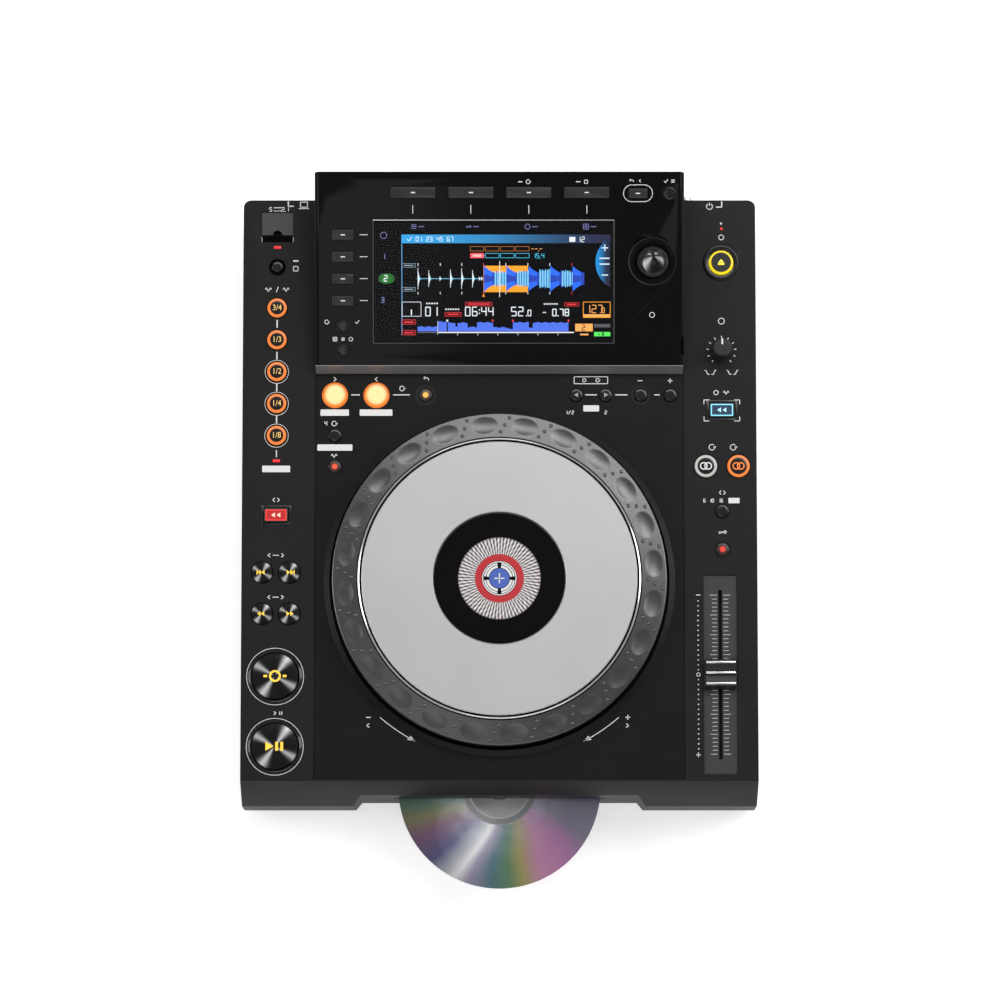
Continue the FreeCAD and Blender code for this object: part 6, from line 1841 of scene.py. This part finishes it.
@dataclass
class Rear:
    """Sockets, mains switch and the USB flap."""

    panel_y: float = 347.9
    socket_z: float = 36.0
    line: Point = (112.0, 98.0)
    digital: float = 78.0

    def collars(self) -> None:
        """Coloured collars and bright sleeves round the three phono sockets."""
        face = Matrix(((1, 0, 0, 0), (0, 0, 1, self.panel_y), (0, 1, 0, self.socket_z), (0, 0, 0, 1)))
        draft = Draft()
        for slot, x in enumerate((*self.line, self.digital)):
            move = Matrix.Translation((x, 0.0, 0.0))
            draft.turned([(4.35, -0.02), (5.6, -0.02), (5.6, 0.9), (5.2, 1.2), (4.35, 1.2)], 0.0, 0.0,
                         32, slot, True, face @ move)
            draft.ring(4.3, 4.45, (6.0, 7.7), 0.0, 0.0, 32, 3, move=face @ move)
        draft.piece("phono_collars", [WHITE_COLLAR, RED_COLLAR, ORANGE_COLLAR, NICKEL], "deck", "socket")

    def build(self) -> None:
        """Dress the sockets, the switch and the flap."""
        dress(rear_sockets=SOCKET_BODY)
        self.collars()
        dress(power_button=KEY_BLACK, usb_flap=FLAP_GREY_SHEEN)


@dataclass
class Screen:
    """The lit screen under the pane, drawn in its own dots from its rear left corner."""

    dot: float = 0.0982
    left: float = -58.0
    top: float = 77.7
    face: float = -1.78

    def __post_init__(self) -> None:
        """Collect the finishes and start drawing."""
        self.draft = Draft()
        self.finishes: list[Finish] = []

    def slot(self, finish: Finish) -> int:
        """The number of a finish, added when it is new.

        Args:
            finish: the finish.

        Returns:
            Its number in the piece.
        """
        if finish not in self.finishes:
            self.finishes.append(finish)
        return self.finishes.index(finish)

    def across(self, u: float) -> float:
        """Place across for a number of dots."""
        return self.left + u * self.dot

    def along(self, v: float) -> float:
        """Place up the slope for a number of dots down."""
        return self.top - v * self.dot

    def layer(self, number: int) -> Point:
        """Bottom and top of a layer of the picture."""
        return (self.face - 0.02, self.face + 0.012 * (number + 1))

    def box(self, u: Point, v: Point, finish: Finish, layer: int = 0) -> None:
        """A filled box."""
        self.draft.slab((self.across(u[0]), self.across(u[1])), (self.along(v[1]), self.along(v[0])),
                        self.layer(layer), slot=self.slot(finish))

    def outline(self, u: Point, v: Point, finish: Finish, width: float = 3.0) -> None:
        """A thin outlined box."""
        self.draft.frame((self.across(u[0]), self.across(u[1])), (self.along(v[1]), self.along(v[0])),
                         width * self.dot, self.layer(1), self.slot(finish))

    def number(self, text: str, u: float, v: float, height: float, finish: Finish,
               width: float = 5.0) -> None:
        """Figures whose lower left corner is at u, v."""
        self.draft.figures(text, self.across(u), self.along(v), height * self.dot, width * self.dot,
                           self.layer(2), self.slot(finish))

    def pointer(self, u: float, v: float, size: float, way: float, finish: Finish) -> None:
        """A small triangle that points down or up."""
        x, y, half = self.across(u), self.along(v), size * self.dot
        self.draft.prism([(x - half, y + way * half), (x + half, y + way * half), (x, y - way * half)],
                         self.layer(3), self.slot(finish))

    def sign(self, kind: str, u: float, v: float, size: float, width: float, layer: int,
             finish: Finish) -> None:
        """A sign in millimetres, whose middle is at u, v."""
        self.draft.symbol(kind, self.across(u), self.along(v), size, width, self.layer(layer),
                          self.slot(finish))

    def envelope(self, u: float) -> float:
        """Half height of the beat wave at a place, loud after each beat.

        Args:
            u: place across in dots.

        Returns:
            Half height in dots.
        """
        beat = 133.0
        since = (u - 497.0) % beat
        fall = 62.0 * math.exp(-since / 55.0) + 16.0
        if since > 64.0:
            fall = 46.0 + 12.0 * math.sin(u * 0.9) * math.cos(u * 0.37)
        return max(8.0, fall)

    def wave(self) -> None:
        """The beat wave: single hits, then a block in the loop and a block after it."""
        middle = 266.0
        self.box((92, 497), (middle - 1.5, middle + 1.5), LIT_SKY, 0)
        for u, tall in ((102, 64), (167, 50), (234, 14), (298, 54), (365, 62), (431, 52), (470, 12),
                        (484, 12)):
            for i in range(7):
                half = tall * math.exp(-i / 2.0)
                self.box((u + i * 3 - 4, u + i * 3 - 1), (middle - half, middle + half),
                         LIT_WHITE if i < 3 else LIT_SKY, 1)
        self.box((495, 763), (188, 347), LIT_ORANGE, 0)
        for i in range(121):
            u = 497.0 + i * 5.0
            half = self.envelope(u)
            since = (u - 497.0) % 133.0
            shade = LIT_SKY if since > 64.0 and i % 3 else (LIT_DEEP if since > 52.0 else LIT_BLUE)
            self.box((u, u + 5.4), (middle - half, middle + half), shade, 1)
            if shade is LIT_BLUE:
                self.box((u, u + 5.4), (middle - half * 0.35, middle + half * 0.35), LIT_DEEP, 2)
        self.box((590, 594), (160, 377), LIT_WHITE, 4)
        for u in (100, 234, 364, 629, 762, 894):
            self.box((u - 2, u + 2), (172, 188), LIT_WHITE, 1)
            self.box((u - 2, u + 2), (346, 360), LIT_WHITE, 1)
        for u in (495, 1027):
            self.box((u - 2, u + 2), (172, 188), LIT_RED, 1)
            self.box((u - 2, u + 2), (346, 360), LIT_RED, 1)
        self.pointer(495, 366, 9, -1.0, LIT_ORANGE)

    def overview(self) -> None:
        """The whole piece of music as a low block with its marks."""
        base = 584.0
        blocks = ((97, 215, 28), (222, 272, 58), (280, 325, 52), (325, 338, 28), (338, 398, 52),
                  (398, 455, 26), (455, 552, 54), (552, 640, 24), (640, 672, 14), (672, 768, 54),
                  (768, 792, 24), (792, 1007, 53))
        for i, (u0, u1, tall) in enumerate(blocks):
            steps = max(1, int((u1 - u0) / 12))
            for j in range(steps):
                near = u0 + (u1 - u0) * j / steps
                far = u0 + (u1 - u0) * (j + 1) / steps
                lift = tall + 3.0 * math.sin(1.7 * j + i)
                self.box((near, far + 0.2), (base - lift, base), LIT_VIOLET, 0)
        self.box((97, 213), (587, 594), LIT_GREY, 0)
        self.box((222, 1040), (587, 594), LIT_WHITE, 0)
        self.box((217, 220), (522, 604), LIT_WHITE, 2)
        for u in (339, 460, 581, 702, 823, 944):
            self.box((u - 2, u + 2), (598, 607), LIT_WHITE, 0)
        for u in (550, 672, 1008):
            self.pointer(u, 522, 8, 1.0, LIT_RED)
        self.pointer(276, 522, 8, 1.0, LIT_WHITE)

    def status(self) -> None:
        """Boxes and figures between the two waves."""
        for i in range(4):
            u = 415 + i * 91
            self.outline((u, u + 82), (72, 99), LIT_RUST)
            if i:
                self.outline((u, u + 82), (114, 140), LIT_CYAN)
                self.box((u - 9, u), (125, 128), LIT_CYAN, 0)
        self.box((415, 497), (112, 142), Glow("screen_rose", (1.0, 0.10, 0.13)), 1)
        self.box((430, 482), (120, 134), Glow("screen_pink", (1.0, 0.50, 0.50)), 2)
        self.number("--.-", 785, 99, 26, LIT_AMBER, 4)
        self.number("15.4", 792, 142, 28, LIT_CYAN, 4)
        self.outline((4, 118), (407, 493), LIT_WHITE)
        self.number("1", 42, 486, 34, LIT_WHITE, 7)
        self.number("01", 146, 490, 52, LIT_WHITE, 6)
        self.number("06:44", 386, 490, 52, LIT_WHITE, 6)
        self.number("52", 664, 490, 52, LIT_WHITE, 6)
        self.number(".0", 754, 490, 34, LIT_WHITE, 5)
        self.number("-", 852, 490, 40, LIT_WHITE, 5)
        self.number("0.78", 912, 490, 40, LIT_WHITE, 6)
        for u0, u1, v0, v1 in ((262, 360, 470, 492), (386, 545, 408, 430), (985, 1070, 411, 431)):
            self.outline((u0, u1), (v0, v1), LIT_RED)
            self.box((u0 + 14, u1 - 14), ((v0 + v1) / 2 - 4, (v0 + v1) / 2 + 4), LIT_RED, 0)
        for u0, u1, v in ((150, 232, 417), (264, 358, 452), (858, 942, 420)):
            for u in range(u0, u1 - 8, 15):
                self.box((u, u + 9), (v - 6, v + 3), LIT_WHITE, 0)
        self.outline((1097, 1259), (407, 500), LIT_ORANGE, 4)
        self.box((1097, 1259), (481, 500), LIT_AMBER, 0)
        self.number("127", 1112, 472, 46, LIT_AMBER, 5)
        self.number(".0", 1200, 472, 30, LIT_AMBER, 4)
        self.box((1048, 1154), (538, 584), LIT_AMBER, 0)
        self.number("2", 1090, 578, 32, LCD_BLACK, 5)
        self.box((1162, 1260), (588, 614), Glow("screen_green", (0.10, 0.85, 0.12)), 0)
        self.number("1 8", 1182, 610, 18, LCD_BLACK, 4)
        self.box((1162, 1260), (540, 560), LIT_GREY, 0)
        self.box((1078, 1128), (598, 608), LIT_AMBER, 0)
        for v in (529, 593):
            self.outline((4, 84), (v - 14, v + 12), LIT_RED)
            self.box((16, 72), (v - 5, v + 4), LIT_RED, 0)
        for v in (186, 330):
            self.outline((4, 84), (v - 11, v + 11), LIT_DUSK, 2.5)
            self.box((16, 72), (v - 3, v + 3), LIT_DUSK, 0)

    def title(self) -> None:
        """The band across the top, the thin edge on the left and the zoom sign on the right."""
        left, right = self.across(0), self.across(1262)
        band = ScreenGradient("screen_band", left, right, (0.02, 0.42, 0.92), (0.004, 0.006, 0.05))
        self.box((0, 1262), (0, 52), band, 0)
        self.box((0, 5), (52, 606), Glow("screen_edge", (0.10, 0.32, 0.62)), 0)
        self.number("01 23 45 67", 88, 40, 26, LIT_PALE, 4)
        self.sign("tick", 48, 27, 3.0, 0.4, 2, LIT_PALE)
        self.box((1012, 1048), (14, 44), LIT_WHITE, 1)
        self.number("12", 1062, 44, 30, LIT_WHITE, 4)
        centre, radius = 1345.0, 175.0
        dome = ScreenGradient("screen_dome", self.across(1170), self.across(1245), (0.0, 0.34, 0.85),
                              (0.002, 0.006, 0.04))
        arc = []
        for i in range(25):
            v = 15.0 + 304.0 * i / 24
            arc.append((centre - math.sqrt(max(0.0, radius * radius - (v - 167.0) ** 2)), v))
        points = [(self.across(u), self.along(v)) for u, v in arc]
        self.draft.prism(points, self.layer(2), self.slot(dome))
        self.sign("plus", 1226, 80, 3.8, 0.7, 4, LIT_PALE)
        self.sign("minus", 1226, 244, 3.8, 0.7, 4, LIT_PALE)
        for v in (143, 178):
            self.box((1194, 1254), (v - 4, v + 4), LIT_PALE, 3)

    def legends(self) -> None:
        """Dull signs printed round the lit part, one of them lit green."""
        for u, kind in ((75, "list"), (405, "key"), (760, "circle"), (1112, "grid")):
            self.sign(kind, u, -48, 3.0, 0.42, 1, LEGEND)
            ends = [(self.across(u + 28), self.along(-48)), (self.across(u + 62), self.along(-48))]
            self.draft.line(ends, 0.5, self.layer(1), self.slot(LEGEND))
        self.sign("circle", -107, 5, 3.8, 0.42, 1, LEGEND)
        self.number("1", -116, 147, 30, LEGEND, 5)
        self.number("3", -122, 410, 30, LEGEND, 5)
        x, y = self.across(-90), self.along(265)
        halo = LitCap("legend_halo", x, y * SPACE.head_cosine + SPACE.head_y, 5.2,
                      (0.004, 0.16, 0.012), (0.001, 0.002, 0.001), 1.0)
        oval = [(x + 5.4 * math.cos(i * math.pi / 16), y + 3.0 * math.sin(i * math.pi / 16))
                for i in range(32)]
        self.draft.prism(oval, self.layer(0), self.slot(halo))
        self.number("2", -104, 281, 34, LIT_WHITE, 6)

    def build(self) -> None:
        """Build the screen in one piece."""
        self.draft.slab((-73.3, 66.5), (14.8, 85.0), (-2.45, self.face), slot=self.slot(LCD_BLACK))
        self.title()
        self.wave()
        self.overview()
        self.status()
        self.legends()
        self.draft.piece("lit_screen", self.finishes, "deck", "window", Level.HEAD)


@dataclass
class Print:
    """White printing on the case, the panel and the head."""

    ink: Point = (0.0, 0.035)
    left: float = -132.2
    right: float = 132.0
    beat_y: float = 205.5
    beat_pitch: float = 19.2
    speed_y: float = 256.7
    jog_y: float = 118.5
    scale_x: float = 117.3
    zero_y: float = 62.9
    arrow_radius: float = 107.2

    def connectors(self) -> None:
        """Lines, boxes and ticks on the left strip."""
        draft = Draft()
        for i in (3, 2, 1, 0):
            low = self.beat_y + self.beat_pitch * i + 7.1
            draft.line([(self.left, low + 0.4), (self.left, low + 5.0)], 0.75, self.ink)
        for i in range(3):
            draft.ring(6.85, 7.15, self.ink, self.left, self.beat_y + self.beat_pitch * i, 40)
        draft.slab((-140.6, -124.0), (183.6, 187.5), self.ink, 0.0, 0.5)
        draft.line([(self.left, 192.6), (self.left, 196.8)], 0.6, self.ink)
        draft.symbol("dc", -132.0, 342.2, 5.0, 0.5, self.ink)
        draft.figures("5", -137.0, 341.0, 2.4, 0.45, self.ink)
        draft.figures("2.1", -129.6, 341.0, 2.4, 0.45, self.ink)
        draft.symbol("laptop", -116.6, 344.4, 5.6, 0.6, self.ink)
        draft.line([(-125.9, 347.0), (-125.9, 344.1), (-122.6, 344.1)], 0.75, self.ink)
        draft.slab((-122.9, -119.6), (310.4, 311.4), self.ink, 0.0, 0.4)
        draft.symbol("square", -121.3, 306.2, 3.4, 0.55, self.ink)
        for x, y, kind, size in ((-137.5, 293.6, "wave", 3.0), (self.left, 293.6, "slash", 3.2),
                                 (-127.0, 293.6, "wave", 3.0), (self.left, 167.0, "both", 3.0),
                                 (-136.2, 133.9, "left", 2.4), (-128.2, 133.9, "right", 2.4),
                                 (-136.2, 108.9, "left", 2.4), (-128.2, 108.9, "right", 2.4),
                                 (self.left, 40.0, "right", 2.2)):
            draft.symbol(kind, x, y, size, 0.5, self.ink)
        for x in (-129.4, -128.2):
            draft.line([(x, 39.0), (x, 41.0)], 0.5, self.ink)
        for y in (133.9, 108.9):
            draft.line([(-134.0, y), (-130.4, y)], 0.45, self.ink)
        draft.piece("left_strip_print", [WHITE_INK], "deck", "shell", Level.DECK)

    def right_strip(self) -> None:
        """Signs, ticks and scales on the right strip."""
        draft = Draft()
        draft.symbol("power", 125.3, 344.0, 3.6, 0.55, self.ink)
        draft.line([(129.2, 343.6), (132.6, 343.6), (132.6, 347.0)], 0.8, self.ink)
        for i in range(11):
            angle = math.radians(-140 + 28 * i)
            near, far = 7.6, 8.9
            ends = [(self.right + reach * math.sin(angle),
                     self.speed_y + reach * math.cos(angle)) for reach in (near, far)]
            draft.line(ends, 0.5, self.ink)
        for x, kind in ((123.4, "fall"), (127.4, "rise"), (136.4, "fall"), (140.4, "rise")):
            draft.symbol(kind, x, 243.6, 2.9, 0.45, self.ink)
        draft.slab((131.5, 132.7), (333.0, 334.2), self.ink)
        for x, y, kind, size in ((132.2, 325.2, "circle", 3.0), (self.right, 274.5, "circle", 3.6),
                                 (128.6, 231.4, "circle", 2.6), (134.6, 231.4, "wave", 2.6),
                                 (126.0, 198.6, "loop", 3.4), (138.6, 198.6, "loop", 3.4),
                                 (self.right, 171.4, "both", 2.8), (self.right, 147.8, "key", 4.6),
                                 (117.4, 110.2, "minus", 2.6), (117.1, 15.4, "plus", 2.6),
                                 (self.scale_x, self.zero_y, "circle", 2.0)):
            draft.symbol(kind, x, y, size, 0.5, self.ink)
        draft.figures("6", 120.9, 165.6, 2.0, 0.4, self.ink)
        draft.figures("10", 124.2, 165.6, 2.0, 0.4, self.ink)
        draft.figures("16", 129.6, 165.6, 2.0, 0.4, self.ink)
        draft.slab((135.6, 142.2), (165.0, 168.2), self.ink, 0.0, 0.3)
        for i in range(31):
            y = 18.9 + 87.8 * i / 30
            if abs(y - self.zero_y) > 2.0:
                draft.ring(0.05, 0.42, self.ink, self.scale_x, y, 8)
        for side in (-1, 1):
            for end in (-1, 1):
                x, y = self.right + side * 10.6, 220.7 + end * 6.3
                draft.line([(x - side * 3.2, y), (x, y), (x, y - end * 2.6)], 0.5, self.ink)
        draft.piece("right_strip_print", [WHITE_INK], "deck", "shell", Level.DECK)

    def panel(self) -> None:
        """Lines, boxes and arrows on the centre panel."""
        draft = Draft()
        for x0, x1 in ((-88.0, -82.9), (-63.1, -53.1), (50.9, 58.0), (68.8, 76.0), (91.9, 95.2)):
            draft.line([(x0, 230.2), (x1, 230.2)], 0.6, self.ink)
        for x0, x1, y0, y1 in ((-106.2, -89.3, 217.6, 221.4), (-82.9, -63.5, 217.6, 221.4),
                               (-108.0, -87.2, 196.6, 200.4), (49.8, 59.2, 220.2, 223.9)):
            draft.slab((x0, x1), (y0, y1), self.ink, 0.0, 0.5)
        draft.frame((44.4, 64.3), (236.9, 241.1), 0.45, self.ink)
        for x, y, kind, size in ((-97.6, 239.6, "right", 2.6), (-73.2, 239.6, "left", 2.6),
                                 (-57.8, 234.0, "loop", 2.8), (-43.6, 239.9, "return", 2.8),
                                 (-98.0, 212.9, "loop", 2.8), (-98.0, 193.6, "wave", 2.8),
                                 (50.4, 239.0, "circle", 2.0), (58.4, 239.0, "loop", 2.2),
                                 (83.6, 238.7, "minus", 2.8), (101.4, 238.7, "plus", 2.8),
                                 (41.6, 219.6, "slash", 2.2)):
            draft.symbol(kind, x, y, size, 0.5, self.ink)
        draft.figures("4", -103.6, 211.8, 2.4, 0.45, self.ink)
        draft.figures("1", 39.2, 218.6, 2.0, 0.42, self.ink)
        draft.figures("2", 43.0, 218.6, 2.0, 0.42, self.ink)
        draft.figures("2", 62.6, 218.6, 2.0, 0.42, self.ink)
        for side in (-1, 1):
            arc = []
            for i in range(13):
                angle = math.radians(229.0 + 13.4 * i / 12)
                arc.append((-side * self.arrow_radius * math.cos(angle),
                            self.jog_y + self.arrow_radius * math.sin(angle)))
            draft.line(arc, 0.5, self.ink)
            tip = arc[-1]
            draft.prism([(tip[0], tip[1]), (tip[0] + side * 4.6, tip[1] + 0.9),
                         (tip[0] + side * 2.6, tip[1] + 3.2)], self.ink)
        draft.symbol("minus", -77.2, 37.6, 2.8, 0.55, self.ink)
        draft.symbol("plus", 75.6, 37.6, 2.8, 0.55, self.ink)
        draft.symbol("left", -77.4, 32.8, 2.6, 0.5, self.ink)
        draft.symbol("right", 75.4, 32.8, 2.6, 0.5, self.ink)
        draft.piece("panel_print", [WHITE_INK], "deck", "panel", Level.PANEL)

    def head(self) -> None:
        """Ticks, dashes and signs on the head."""
        draft = Draft()
        for i in range(4):
            x = -51.2 + 34.3 * i
            draft.line([(x, 90.2), (x, 95.2)], 0.42, self.ink)
            s = 38.7 + 13.0 * i
            draft.line([(-82.6, s), (-78.0, s)], 0.42, self.ink)
        for x, kind in ((17.0, "loop"), (51.2, "square")):
            draft.symbol(kind, x, 109.0, 2.4, 0.45, self.ink)
            draft.line([(x - 6.0, 109.0), (x - 3.4, 109.0)], 0.6, self.ink)
        rim = []
        for i in range(33):
            angle = math.pi * (i / 16.0) + math.pi / 2
            shift = -3.6 if 0 < (i % 32) <= 16 else 3.6
            rim.append((81.9 + shift + 5.0 * math.cos(angle), 102.2 + 5.0 * math.sin(angle)))
        draft.line(rim, 0.42, self.ink)
        for x, s, kind, size in ((78.0, 109.6, "return", 2.2), (83.0, 109.6, "left", 1.8),
                                 (98.4, 109.4, "tick", 2.4),
                                 (102.6, 109.4, "list", 2.0), (-102.2, 26.0, "loop", 2.4), (-84.2, 26.0,
                                                                                            "tick", 2.4),
                                 (-97.4, 15.8, "grid", 2.2), (-92.6, 15.8, "list", 2.0), (-88.0, 15.8,
                                                                                          "circle", 2.2),
                                 (90.4, 30.2, "circle", 3.0)):
            draft.symbol(kind, x, s, size, 0.42, self.ink)
        draft.piece("head_print", [WHITE_INK], "deck", "head", Level.HEAD)

    def lamps(self) -> None:
        """Small signal lamps, and the flap's recess: a black slab of painted shade with bright lines at
        its sides.
        """
        draft = Draft()
        draft.slab((-134.4, -130.0), (318.3, 319.9), (-0.2, 0.16), 0.05, 0.6)
        draft.slab((-134.4, -130.0), (189.6, 191.2), (-0.2, 0.16), 0.05, 0.6)
        draft.ring(0.05, 0.8, (-0.2, 0.16), 132.4, 330.4, 20)
        draft.piece("signal_lamps", [LED_RED], "deck", "key_lit", Level.DECK)
        # The recess under the flap is a black slab of painted shade.
        draft = Draft()
        draft.slab((-141.4, -123.0), (322.3, 326.2), (-0.2, 0.03), 0.0, 0.4)
        draft.piece("flap_recess", [GAP_SHADE], "deck", "shell", Level.DECK)
        draft = Draft()
        for x in (-141.5, -122.9):
            draft.line([(x, 322.4), (x, 325.4)], 0.3, (-0.1, 0.06))
        draft.piece("flap_recess_edges", [RIDGE_AND_GLINT], "deck", "shell", Level.DECK)

    def build(self) -> None:
        """Print everything."""
        self.connectors()
        self.right_strip()
        self.panel()
        self.head()
        self.lamps()


def main() -> None:
    """Build the studio and every sub-assembly."""
    logging.basicConfig(level=logging.INFO, format="%(name)s: %(message)s")
    assemblies = [Studio(), Case(), Head(), JogWheel(), Strips(), DeckKeys(), HeadKeys(), Knobs(),
                  Fader(), LoadedDisc(), Mechanism(), Rear(), Screen(), Print()]
    for assembly in assemblies:
        LOG.info("building %s", type(assembly).__name__)
        assembly.build()


if __name__ == "__main__":
    main()
